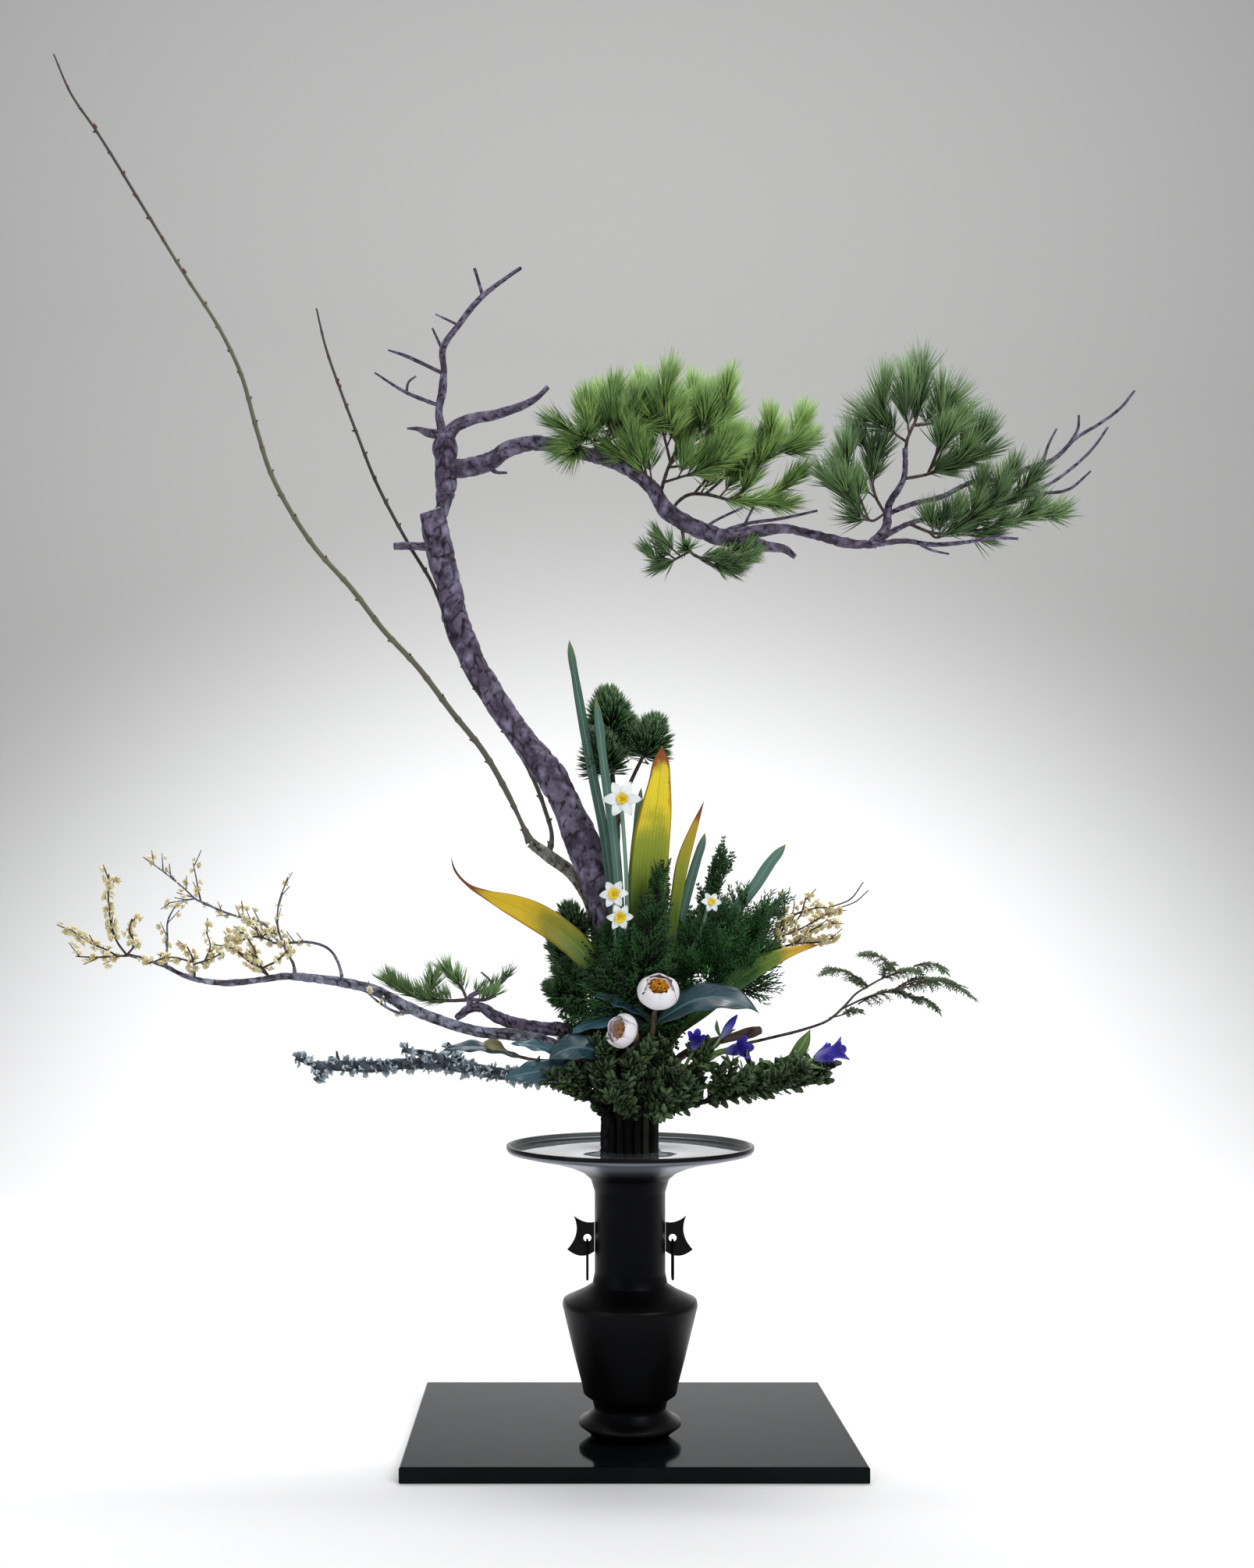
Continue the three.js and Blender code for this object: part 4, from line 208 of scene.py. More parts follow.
def flow(stations, step):
    """Even points on the smooth line through stations, and the fourth number there, in metres"""
    known = np.array(stations, float) * MM
    run = run_of(known[:, :3])
    at = np.linspace(0, run[-1], max(3, int(run[-1] / (step * MM)) + 1))
    points = read_smoothly(at, run, known)
    return points[:, :3], np.maximum(points[:, 3], 0)


def carry(points):
    """At each point two directions square to the way ahead, which turn as little as they can"""
    ahead = unit(np.gradient(points, axis=0))
    guide = np.array([0, 0, 1.0]) if abs(ahead[0, 2]) < 0.9 else np.array([1.0, 0, 0])
    side = np.cross(guide, ahead[0])
    across = np.empty_like(points)
    for i, way in enumerate(ahead):
        side = unit(side - way * side.dot(way))
        across[i] = side
    return across[:, None], np.cross(ahead, across)[:, None]


def rod(piece, stations, step, sides, tint=0.5, paint=0, relief=None):
    """A round stem; relief gives the height of its bark and two marks for its finish at each corner"""
    points, radii = flow(stations, step)
    ways = ways_round(*carry(points), turns_of(sides))
    rings = points[:, None] + ways * radii[:, None, None]
    across = 0
    if relief:
        heights, across, tint = relief(rings, radii)
        rings = rings + ways * heights[..., None]
    skin(piece, rings, marks_of(rings, np.linspace(0, 1, len(points))[:, None], across, tint), paint)
    return points


def tapered(points, foot, tip):
    """A line of points as stations whose radius goes evenly from foot to tip, in millimetres"""
    return np.hstack([points / MM, np.linspace(foot, tip, len(points))[:, None]])


# %% [markdown]
# Leaves are closed lenses, thickest at the midrib, rather than single sheets: they catch light on both
# sides as real leaves do, and their mesh is a solid one. `fold` raises the two halves into a shallow V
# and `wave` ripples the edges.

# %% Blades
def blade(piece, stations, face, thickness=1.2, fold=0.15, wave=0.0, waves=5, step=4, half=5,
          tint=0.5, paint=0):
    """A long or broad leaf through stations [x, y, z, width] whose upper side looks towards `face`"""
    points, widths = flow(stations, step)
    side = unit(np.cross(unit(np.gradient(points, axis=0)), np.array(face, float)))
    over = np.cross(side, unit(np.gradient(points, axis=0)))
    run = np.linspace(0, 1, len(points))[:, None]
    share = np.linspace(-1, 1, half)
    across = np.concatenate([share, share[-2:0:-1]])
    upper = np.concatenate([np.ones(half), -np.ones(half - 2)])
    lens = np.sqrt(np.maximum(1 - across**2, 0)) * upper
    reach = across[None] * widths[:, None] / 2
    ripple = wave * MM * np.sin(2 * np.pi * waves * run) * np.sign(across) * across**2
    lift = fold * np.abs(reach) + lens * thickness * MM / 2 + ripple
    rings = points[:, None] + side[:, None] * reach[..., None] + over[:, None] * lift[..., None]
    skin(piece, rings[:-1], marks_of(rings, run, across, tint)[:-1], paint, points[-1], [1, 0, tint])


# %% [markdown]
# ## Patterns
# Needles, small leaves, scales and florets repeat hundreds of times. Each kind is drawn once as a
# pattern, 1 long and 1 wide, and `spread` copies it to many feet at once, each with its own direction,
# size and tint. The copies are real faces in the piece's mesh and not instances.

# %% Patterns and copies
class Pattern:
    """A small shape, 1 long along x, 1 wide along y, with its upper side towards z"""

    def __init__(self):
        self.corners = np.empty((0, 3))
        self.marks = np.empty((0, 2))
        self.faces = []

    def add(self, corners, faces, along, across):
        self.faces += [rows + len(self.corners) for rows in faces]
        self.corners = np.vstack([self.corners, corners])
        self.marks = np.vstack([self.marks, np.stack([along, across], axis=1)])
        return self


def spread(piece, pattern, feet, ahead, upper, size, tint, paint=0):
    """Copies a pattern to feet (n, 3), lying along `ahead`; size (n, 3) is in metres"""
    x = unit(ahead)
    y = unit(np.cross(np.broadcast_to(upper, x.shape), x))
    z = np.cross(x, y)
    size = np.broadcast_to(size, x.shape)
    scaled = pattern.corners[None] * size[:, None]
    corners = feet[:, None] + sum(scaled[..., k:k + 1] * way[:, None] for k, way in enumerate((x, y, z)))
    tint = np.broadcast_to(tint, len(feet))[:, None]
    shift = len(pattern.corners) * np.arange(len(feet))[:, None, None]
    faces = [(rows[None] + shift).reshape(-1, rows.shape[1]) for rows in pattern.faces]
    piece.add(corners, faces, marks_of(corners, *pattern.marks.T, tint), paint)


def spindle(start, end, thick, sides=3, belly=0.4, flat=1.0):
    """Corners, faces and marks of a spindle, pointed at both ends, between two points of a pattern"""
    start, end = np.array(start, float), np.array(end, float)
    way = unit(end - start)
    side = unit(np.cross([0, 0, 1.0], way))
    ring = ways_round(side, np.cross(way, side) * flat, turns_of(sides))
    corners = np.vstack([start, start + (end - start) * belly + ring * thick, end])
    at = np.arange(sides)
    after = np.roll(at, -1)
    ends = np.stack([np.zeros(sides, int), after + 1, at + 1], axis=1)
    tips = np.stack([at + 1, after + 1, np.full(sides, sides + 1)], axis=1)
    return corners, [ends, tips], np.array([0, *[belly] * sides, 1]), np.zeros(sides + 2)


def small_leaf(outline, cup=0.1, droop=0.1, thick=0.06):
    """A pointed leaf pattern from its outline [[x, half width], ...], ending in a point at x = 1"""
    x, half = np.array(outline, float).T
    half = half / 2
    sink = -droop * x**2
    edge = sink + cup * half
    rings = np.stack([x, half, edge, x, half * 0, sink + thick / 2, x, -half, edge, x, half * 0,
                      sink - thick / 2], axis=1)
    corners = np.vstack([rings.reshape(-1, 3), [1, 0, -droop]])
    across = np.append(np.tile([1, 0.15, -1, 0.15], len(x)), 0)
    return Pattern().add(corners, ring_faces(len(x), 4, True), np.append(np.repeat(x, 4), 1), across)


NEEDLE = Pattern().add(*spindle([0, 0, 0], [1, 0, -0.03], 0.5, 3, 0.35))
STIFF_NEEDLE = Pattern().add(*spindle([0, 0, 0], [1, 0, 0], 0.5, 3, 0.75))

# %% [markdown]
# ## Shader maths
# A finish is a sum of masks and colours. Wrapping a socket in a small class lets them be written as
# plain expressions, such as `1 - mask * 0.5`, and each operator adds its Math node. Every other node
# comes from one method, `node`, which sets the node's settings first and then feeds its sockets.

# %% Sockets
def paint_code(code):
    """A colour from its web code, as the linear numbers that a shader uses"""
    parts = [int(code[k:k + 2], 16) / 255 for k in (0, 2, 4)]
    return (*[p / 12.92 if p <= 0.04045 else ((p + 0.055) / 1.055) ** 2.4 for p in parts], 1.0)


def maths(operation, reflected=False):
    """An operator that adds a Math node; reflected, the socket comes second, as in `1 - mask`"""
    def operator(self, other):
        first, second = (other, self) if reflected else (self, other)
        return self.finish.node("Math", {"operation": operation}, {0: first, 1: second})
    return operator


class Socket:
    """A socket of a finish, so that shader maths reads like maths"""

    def __init__(self, finish, socket):
        self.finish = finish
        self.socket = socket

    __add__ = maths("ADD")
    __radd__ = maths("ADD", True)
    __sub__ = maths("SUBTRACT")
    __rsub__ = maths("SUBTRACT", True)
    __mul__ = maths("MULTIPLY")
    __rmul__ = maths("MULTIPLY", True)
    __truediv__ = maths("DIVIDE")
    __rtruediv__ = maths("DIVIDE", True)
    __pow__ = maths("POWER")
    __rpow__ = maths("POWER", True)

    def between(self, low, high):
        """0 below low, 1 above high, and a smooth step between them"""
        return self.finish.node("MapRange", {"interpolation_type": "SMOOTHSTEP"},
                                {"Value": self, "From Min": low, "From Max": high})

    def size(self):
        return self.finish.node("Math", {"operation": "ABSOLUTE"}, {0: self})

    def sine(self):
        return self.finish.node("Math", {"operation": "SINE"}, {0: self})


# %% Finishes
class Finish:
    """One material: a Principled shader and the nodes that feed it; a text stands for a web colour"""

    def __init__(self, name, **fixed):
        self.material = bpy.data.materials.new(name)
        self.material.use_nodes = True
        self.tree = self.material.node_tree
        self.tree.nodes.clear()
        self.shader = self.tree.nodes.new("ShaderNodeBsdfPrincipled")
        output = self.tree.nodes.new("ShaderNodeOutputMaterial")
        self.tree.links.new(self.shader.outputs[0], output.inputs[0])
        self.set(**fixed)
        self.place = self.node("TexCoord", {}, {}, "Object")

    def set(self, **values):
        """Feeds the shader: `coat_weight=1` is its Coat Weight"""
        for name, value in values.items():
            words = " ".join(word.upper() if word == "ior" else word.capitalize() for word in name.split("_"))
            self.feed(self.shader.inputs[words], value)

    def feed(self, target, value):
        if isinstance(value, Socket):
            self.tree.links.new(value.socket, target)
        else:
            target.default_value = paint_code(value) if isinstance(value, str) else value

    def node(self, kind, settings, inputs, output=0):
        made = self.tree.nodes.new("ShaderNode" + kind)
        for name, value in settings.items():
            if name == "stops":
                for k, (where, colour) in enumerate(value):
                    stop = made.color_ramp.elements[k] if k < 2 else made.color_ramp.elements.new(where)
                    stop.position, stop.color = where, colour
            else:
                setattr(made, name, value)
        for name, value in inputs.items():
            self.feed(made.inputs[name], value)
        return Socket(self, made.outputs[output])

    def mix(self, share, first, second):
        return self.node("Mix", {"data_type": "RGBA"}, {0: share, 6: first, 7: second}, 2)

    def marks(self):
        """What Piece keeps at each corner: along, across and tint"""
        return [self.node("Attribute", {"attribute_name": name}, {}, "Fac") for name in MARKS]

    def noise(self, scale, detail=3.0, roughness=0.5):
        return self.node("TexNoise", {}, {"Vector": self.place, "Scale": scale, "Detail": detail,
                                          "Roughness": roughness}, "Fac")

    def ramp(self, value, *stops):
        return self.node("ValToRGB", {"stops": [(at, paint_code(code)) for at, code in stops]}, {0: value})

    def axis(self, name, vector=None):
        return self.node("SeparateXYZ", {}, {0: vector or self.place}, name)

    def away(self):
        """How far from the vase's axis, in metres"""
        x, y = self.axis("X"), self.axis("Y")
        return (x * x + y * y) ** 0.5

    def bundle_shade(self, colour):
        """The colour, but almost black within the crowded bundle of stems over the dish: their own wet
        darkness and painted shade
        """
        bundle_shade_share = (1 - self.away().between(0.034, 0.050)) * (1 - self.axis("Z").between(0.36, 0.45))
        return self.mix(bundle_shade_share * 0.93, colour, "0b0a08")

    def bump(self, height, millimetres):
        """A bump whose height of 1 stands that many millimetres proud"""
        return self.node("Bump", {}, {"Height": height, "Distance": millimetres * MM, "Strength": 1.0},
                         "Normal")

# %% [markdown]
# ## The studio
# The arrangement stands before a seamless sheet that rolls up behind it, so no horizon shows. A pool of
# light is painted on the sheet: it is white in an oval round the vase and turns to plain grey above. The
# light is soft: a large key from the upper right in front, a weaker fill from the left and one from above
# behind, which draws a pale edge on bark, leaves and bronze.

# %% Backdrop
sheet_finish = Finish("studio_sheet", roughness=0.9)
# A painted pool of light: the sheet's colour is white in an oval round the vase and grey beyond it
oval = (((sheet_finish.axis("X") - 0.1) / 2.3) ** 2 + ((sheet_finish.axis("Z") + 0.1) / 1.75) ** 2) ** 0.5
sheet_finish.set(base_color=sheet_finish.mix(oval.between(0.46, 1.25), "f6f6f6", "acacaa"))

FLOOR_FRONT = -6.0
SHEET_FOOT = 1.9
SHEET_RADIUS = 1.6
SHEET_TOP = 7.0
SHEET_HALF = 8.0
SHEET_STEPS = 24
profile = [(FLOOR_FRONT, 0.0), (SHEET_FOOT, 0.0)]
for k in range(1, SHEET_STEPS + 1):
    angle = math.pi / 2 * k / SHEET_STEPS
    profile.append((SHEET_FOOT + SHEET_RADIUS * math.sin(angle), SHEET_RADIUS * (1 - math.cos(angle))))
profile.append((SHEET_FOOT + SHEET_RADIUS, SHEET_TOP))
sheet_mesh = bpy.data.meshes.new("studio_sheet")
sheet_mesh.from_pydata([(x, y, z) for y, z in profile for x in (-SHEET_HALF, SHEET_HALF)], [],
                       [(2 * k, 2 * k + 1, 2 * k + 3, 2 * k + 2) for k in range(len(profile) - 1)])
sheet_mesh.shade_smooth()
sheet_mesh.materials.append(sheet_finish.material)
studio_sheet = bpy.data.objects.new("studio_sheet", sheet_mesh)
bpy.context.scene.collection.objects.link(studio_sheet)
print("backdrop:", len(sheet_mesh.polygons), "faces")


# %% Lights
def panel(name, place, aim, width, height, watts, colour):
    """A soft rectangular light at `place` that looks at `aim`"""
    light = bpy.data.lights.new(name, "AREA")
    light.shape = "RECTANGLE"
    light.size, light.size_y = width, height
    light.energy = watts
    light.color = colour
    holder = bpy.data.objects.new(name, light)
    holder.location = place
    holder.rotation_euler = (Vector(aim) - Vector(place)).to_track_quat("-Z", "Y").to_euler()
    bpy.context.scene.collection.objects.link(holder)


MIDDLE = (0, 0, 0.6)
panel("key", (1.9, -2.4, 3.0), MIDDLE, 1.6, 1.6, 58, (1.0, 0.985, 0.96))
panel("fill", (-2.5, -2.2, 1.6), MIDDLE, 2.0, 2.0, 14, (0.95, 0.97, 1.0))
panel("crown", (0.2, 1.0, 3.4), (0, 0, 0.8), 2.2, 1.6, 52, (1.0, 1.0, 1.0))
panel("sheet_light", (0, 0.8, 3.8), (0, 3.3, 0.9), 4.4, 0.8, 84, (1.0, 1.0, 1.0))
world = bpy.data.worlds.new("studio")
world.use_nodes = True
world.node_tree.nodes["Background"].inputs["Color"].default_value = (0.93, 0.95, 1.0, 1.0)
world.node_tree.nodes["Background"].inputs["Strength"].default_value = 0.42
bpy.context.scene.world = world
bpy.context.scene.view_settings.view_transform = "Standard"

# %% [markdown]
# ## The board
# The slab is wood under many coats of black lacquer. Its shape in the frame is right, so it keeps its
# mesh and only takes a finish: almost black, very smooth, with a faint haze where it was wiped, so
# that it mirrors the foot of the vase softly.

# %% Lacquer
lacquer = Finish("black_lacquer", specular_ior_level=0.055, coat_weight=0.03, coat_roughness=0.04,
                 specular_tint=(0.86, 1.0, 1.0, 1.0))
haze = lacquer.noise(9, 4, 0.6)
lacquer.set(base_color=lacquer.ramp(haze, (0.3, "070a0b"), (0.75, "0e1214")),
            roughness=haze.between(0.35, 0.8) * 0.10 + 0.07,
            normal=lacquer.bump(lacquer.noise(30, 2), 0.02))
board_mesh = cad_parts["display_board"].data
board_mesh.materials.clear()
board_mesh.materials.append(lacquer.material)
print("lacquer on", board_mesh.name)

# %% [markdown]
# ## The vase
# Cast and turned bronze with a dark patina. The frame holds it with 24 flats; here the same half
# section is turned in 160 steps, so its mouth is a true circle. Smooth shading would smear over the
# sharp arrises of the shoulder and foot, so each arris gets two more rings close beside it.

# %% Bronze
VASE_FOOT = 16.3
NECK_RADIUS = 36
NECK_WALL = 3
RIM_RADIUS = 126
VASE_HEIGHT = 296
WATER_DEPTH = 6
ARRIS = 0.3


def bronze_finish(name, worn):
    """Dark patina, rubbed on its edges, with a painted reflection under the dish and a painted highlight
    along its lip
    """
    bronze = Finish(name, metallic=0.8, specular_ior_level=0.22)
    patches = bronze.noise(14, 5, 0.65)
    grain = bronze.noise(420, 3, 0.6)
    rub = bronze.node("NewGeometry", {}, {}, "Pointiness").between(0.505, 0.56)
    facing = bronze.axis("Z", bronze.node("NewGeometry", {}, {}, "Normal"))
    away, height = bronze.away(), bronze.axis("Z")
    # Painted reflection: faces that look down under the dish's flare turn pale grey-lavender
    under = away.between(0.042, 0.085) * (0 - facing).between(0.1, 0.8) * height.between(0.26, 0.275)
    # Painted highlight: a pale band round the top of the lip
    lip = away.between(0.118, 0.1212) * (1 - away.between(0.1226, 0.1236)) * height.between(0.3045, 0.3065)
    tone = bronze.ramp(patches, (0.25, "050608"), (0.55, "090a0d"), (0.8, "111216"))
    tone = bronze.mix(under * 0.75, tone, "a9acbc")
    tone = bronze.mix(lip * 0.6, tone, "8b9192")
    bronze.set(base_color=bronze.mix(rub * worn, tone, "3a3532"),
               roughness=patches.between(0.2, 0.9) * 0.16 + 0.31 - rub * 0.1 + grain * 0.05,
               normal=bronze.bump(grain * 0.5 + patches * 0.5, 0.12))
    return bronze


# %% Turned shapes
def kept_sharp(section, arris):
    """The section with a point close before and after each corner, so that shading stays crisp"""
    points = np.array(section, float)
    kept = [points[0]]
    for before, corner, after in zip(points, points[1:], points[2:]):
        for other in (before, after):
            gap = np.linalg.norm(other - corner)
            kept.append(corner + (other - corner) * min(arris / gap, 0.33))
    return np.array([*kept, points[-1]])


def rings_round(section, steps):
    """Rings round the vase's axis from a section of [radius, height over the vase's foot]"""
    radii, heights = np.array(section, float).T[..., None] * MM
    turns = turns_of(steps)
    return np.stack([radii * np.cos(turns), radii * np.sin(turns),
                     np.broadcast_to(heights + VASE_FOOT * MM, (len(radii), steps))], axis=2)


OUTER_SECTION = [
    [0, 3], [34, 3], [36, 0], [38, 0], [44, 6], [52, 12], [51.5, 16], [44, 20], [36.5, 28],
    [38.5, 37], [47.5, 43.5], [49, 52], [56, 79], [63, 108], [69, 133], [68, 138], [50, 146.5],
    [38.5, 154], [NECK_RADIUS, 166], [NECK_RADIUS, 248], [40, 261], [48, 268], [62, 274], [83, 280],
    [108, 285], [124, 288.8], [RIM_RADIUS, 292], [RIM_RADIUS, VASE_HEIGHT], [122.5, VASE_HEIGHT],
]
INNER_SECTION = [
    [121.6, 291.5], [83, 283.6], [50, 272.6], [NECK_RADIUS - NECK_WALL, 258],
    [NECK_RADIUS - NECK_WALL, 156], [64.5, 133], [44.5, 50], [0, 49],
]
vase = Piece()
skin(vase, rings_round(kept_sharp(OUTER_SECTION + INNER_SECTION, ARRIS)[1:-1], 160), [0, 0, 0.5])
vase.make("bronze_vase", [bronze_finish("dark_bronze", 0.3)], "vase")

# %% [markdown]
# ## Water
# The dish is full to just below its lip. Water has no colour of its own: what shows is the bronze
# below it and the pale sheet mirrored in it, so it is clear, smooth and barely rippled. It follows the
# dish a little above the bronze, and has a hole where the stems rise out of the neck.

# %% Pool
POOL_HOLE = 31.1
POOL_TOP = VASE_HEIGHT - WATER_DEPTH
POOL_FLOOR = 263.4
POOL_SECTION = [
    [POOL_HOLE, POOL_TOP - 1.2], [POOL_HOLE + 0.4, POOL_TOP - 0.3], [POOL_HOLE + 1.6, POOL_TOP],
    [111.2, POOL_TOP], [112.2, POOL_TOP - 0.1], [82.9, 284.1], [49.8, 273.1], [38.5, POOL_FLOOR],
    [POOL_HOLE, POOL_FLOOR],
]
clear = Finish("water", base_color="c9d3dc", roughness=0.02, ior=1.33, transmission_weight=0.85)
clear.set(normal=clear.bump(clear.noise(24, 2), 0.15))
pool = Piece()
hoop(pool, rings_round(POOL_SECTION, 128))
pool.make("clear_water", [clear], "water")

# %% [markdown]
# ## Straw bundle
# Rice straw, packed in the neck, grips the stems. It hides below the water, but a look down between
# the stems finds it. The frame holds it as a cup; here a ring of single straws stands in its place.

# %% Straw
STRAW_FLOOR = 188
STRAW_TOP = 254
STRAW_REACH = 31.1
STRAW_COUNT = 60
straw_finish = Finish("dry_straw", roughness=0.75)
straw_finish.set(base_color=straw_finish.mix(straw_finish.marks()[2], "8c7440", "c9b276"),
                 normal=straw_finish.bump(straw_finish.noise(900, 2), 0.1))
dice = np.random.default_rng(11)
straw = Piece()
skin(straw, rings_round([[31.6, STRAW_FLOOR - 8], [31.6, STRAW_FLOOR - 1]], 48), [0, 0, 0.5])
for turn in turns_of(STRAW_COUNT):
    x, y = STRAW_REACH * math.cos(turn), STRAW_REACH * math.sin(turn)
    top = VASE_FOOT + STRAW_TOP - dice.uniform(0, 5)
    rod(straw, [[x, y, VASE_FOOT + STRAW_FLOOR - 4, 1.3], [x, y, top, 1.3]], 40, 6, dice.uniform(0, 1))
straw.make("straw_stalks", [straw_finish], "straw_bundle")

# %% [markdown]
# ## Ears and drop rings
# Each ear is a flat casting with two outer points, filed smooth round its edge, and a hole for a loop
# of drawn wire. The ear is cut from the same outline as in the frame with a small round on its edges.
# The ring is swept along its oval with 12 sides, and rides on its own body so that it can swing.

# %% Ears
EAR_THICKNESS = 3.2
EAR_HOLE = (43.5, 200.7)
EAR_HOLE_RADIUS = 4
EAR_EDGE = 0.5
EAR_ROOT = NECK_RADIUS + 0.3
EAR_FOOT = 187
EAR_HEAD = 217
ring_bronze = bronze_finish("rubbed_bronze", 0.15)


def bow(start, middle, end, count):
    """Points along a curve from start to end, pulled towards middle"""
    s = np.linspace(0, 1, count, endpoint=False)[:, None]
    return (1 - s) ** 2 * np.array(start) + 2 * s * (1 - s) * np.array(middle) + s**2 * np.array(end)


def ear(name, side, node):
    """A flat outline with a round hole, bevelled by an inset on both faces"""
    outline = np.vstack([
        np.linspace([EAR_ROOT, EAR_FOOT], [EAR_ROOT, EAR_HEAD], 8, endpoint=False),
        bow([EAR_ROOT, EAR_HEAD], [47, 214.5], [57.5, 223.5], 12),
        bow([57.5, 223.5], [49, 205], [64, 189], 16),
        bow([64, 189], [50, 177], [EAR_ROOT, EAR_FOOT], 16),
    ])
    turns = np.linspace(math.pi, -math.pi, len(outline), endpoint=False)
    outward = np.stack([np.cos(turns), np.sin(turns)], axis=1)
    hole = np.array(EAR_HOLE) + EAR_HOLE_RADIUS * outward
    way = unit(np.roll(outline, -1, axis=0) - np.roll(outline, 1, axis=0))
    inset = outline + np.stack([way[:, 1], -way[:, 0]], axis=1) * EAR_EDGE
    half = EAR_THICKNESS / 2
    upper = [(outline, half - EAR_EDGE), (inset, half), (hole + outward * EAR_EDGE, half),
             (hole, half - EAR_EDGE)]
    rings = [np.stack([flat[:, 0] * side, np.full(len(flat), depth * side), flat[:, 1] + VASE_FOOT], axis=1)
             for flat, depth in upper + [(flat, -depth) for flat, depth in upper[::-1]]]
    piece = Piece()
    hoop(piece, np.stack(rings) * MM, reverse=False)
    made = piece.make(name, [ring_bronze], node)
    made.modifiers.new("crisp", "EDGE_SPLIT").split_angle = math.radians(40)


ear("bronze_ear_right", 1, "ear_right")
ear("bronze_ear_left", -1, "ear_left")

# %% Drop rings
RING_WIRE = 1.25
RING_HALF = 6.5
RING_LENGTH = 43
RING_CLEARANCE = 0.85
RING_TOP = VASE_FOOT + EAR_HOLE[1] - EAR_HOLE_RADIUS + RING_WIRE + RING_CLEARANCE
RING_CROWN = 0.951


def drop_ring(name, side, node, body):
    """A long loop of round wire; its crown is a flattened arc, as the wire's seat in the ear is"""
    straight = RING_LENGTH - 2 * RING_WIRE - 2 * RING_HALF
    angles = np.linspace(0, np.pi, 24)
    crown = np.minimum(np.sin(angles), RING_CROWN) - 1
    upper = np.stack([np.cos(angles), crown], axis=1) * RING_HALF
    lower = np.stack([-np.cos(angles), -crown - 2], axis=1) * RING_HALF - [0, straight]
    loop = np.vstack([upper, lower])
    line = np.stack([np.full(len(loop), side * EAR_HOLE[0]), loop[:, 0], loop[:, 1] + RING_TOP], axis=1) * MM
    ahead = unit(np.roll(line, -1, axis=0) - np.roll(line, 1, axis=0))
    over = np.cross(ahead, [1.0, 0, 0])[:, None]
    piece = Piece()
    hoop(piece, line[:, None] + ways_round(np.array([1.0, 0, 0]), over, turns_of(12)) * RING_WIRE * MM)
    piece.make(name, [ring_bronze], node, body)


drop_ring("bronze_ring_right", 1, "ring_right", "right_ring")
drop_ring("bronze_ring_left", -1, "ring_left", "left_ring")

# %% [markdown]
# ## The imported stems
# All stems stand in the straw in two rings round the trunk. From there each one leans out on its own
# line. Below the leaves they are wet and crowded, and every finish turns them almost black for this
# stretch: their own wet darkness, with the shade among them painted in.

# %% Places in the bundle
STEM_FOOT = VASE_FOOT + STRAW_FLOOR + 0.3
STEM_RADIUS = 3.7
INNER_RING = (13, 18)
OUTER_RING = (19, 26.5)


def column(ring, number, top, *onward):
    """The stations of a stem that stands upright up to `top` in its place, and then goes onward"""
    places, radius = ring
    angle = 2 * math.pi * number / places
    x, y = radius * math.cos(angle), radius * math.sin(angle)
    return [[x, y, z, STEM_RADIUS] for z in (STEM_FOOT, top - 12, top)] + list(onward)


print("stems stand", round(STEM_FOOT, 1), "mm over the floor")


# %% [markdown]
# ## Bark
# Old pine bark breaks into plates with dark cracks between them. The plates are real relief: a cell
# noise is read at each corner of the stem, stretched along it, and the corner is pushed out on a plate
# and in at a crack. The same noise says which plate a corner is on, so each plate gets its own tone.
# The noise has a fixed seed; without one it would be a little different in every run.

# %% Bark relief
BARK_SEED = 7
noise.seed_set(BARK_SEED)


def bark_relief(cell, depth, lumps=0.6, stretch=0.5):
    """Relief for `rod`: plates `cell` mm across and `depth` mm thick on a lumpy stem"""
    def relief(rings, radii):
        middle = rings.mean(axis=1)
        run = run_of(middle)
        rows, sides = rings.shape[:2]
        heights, plates, tones = np.empty((3, rows, sides))
        start = Vector(middle[0] * 91)
        for i in range(rows):
            for k in range(sides):
                turn = 2 * math.pi * k / sides
                spot = Vector((radii[i] * math.cos(turn), radii[i] * math.sin(turn), run[i] * stretch))
                spot = spot / (cell * MM) + start
                spot += noise.noise_vector(spot * 0.7) * 0.4
                near, centres = noise.voronoi(spot)
                plate = min(max((near[1] - near[0] - 0.03) / 0.25, 0), 1)
                tone = noise.cell(centres[0] * 3.7)
                lump = noise.noise(spot * 0.3) * lumps + noise.noise(spot * 2.3) * 0.15
                heights[i, k] = (depth * (plate - 0.7 + 0.3 * tone) + lump * depth) * MM
                plates[i, k] = plate
                tones[i, k] = tone
        return heights * np.minimum(1, radii / (3 * MM))[:, None], plates, tones
    return relief


def bark_finish(name, crack, low, high, dust_and_highlight, dust_and_highlight_share=0.7, grain=0.35):
    bark = Finish(name, specular_ior_level=0.22)
    _, plate, tint = bark.marks()
    fine = bark.noise(240, 4, 0.65)
    patch = bark.noise(75, 4, 0.65)
    tone = bark.mix(tint * 0.6 + fine * 0.5, low, high)
    # Pale patches on the plates: partly dust and lichen, partly painted highlight
    tone = bark.mix(patch.between(0.38, 0.74) * dust_and_highlight_share * plate, tone, dust_and_highlight)
    bark.set(base_color=bark.bundle_shade(bark.mix(plate.between(0.0, 0.3), crack, tone)),
             roughness=fine * 0.25 + 0.68, normal=bark.bump(fine + patch * 0.5, grain))
    return bark


def twig(piece, stations, step=2, sides=9):
    """A rod with the fine relief of young bark"""
    return rod(piece, stations, step, sides, relief=TWIG_RELIEF)


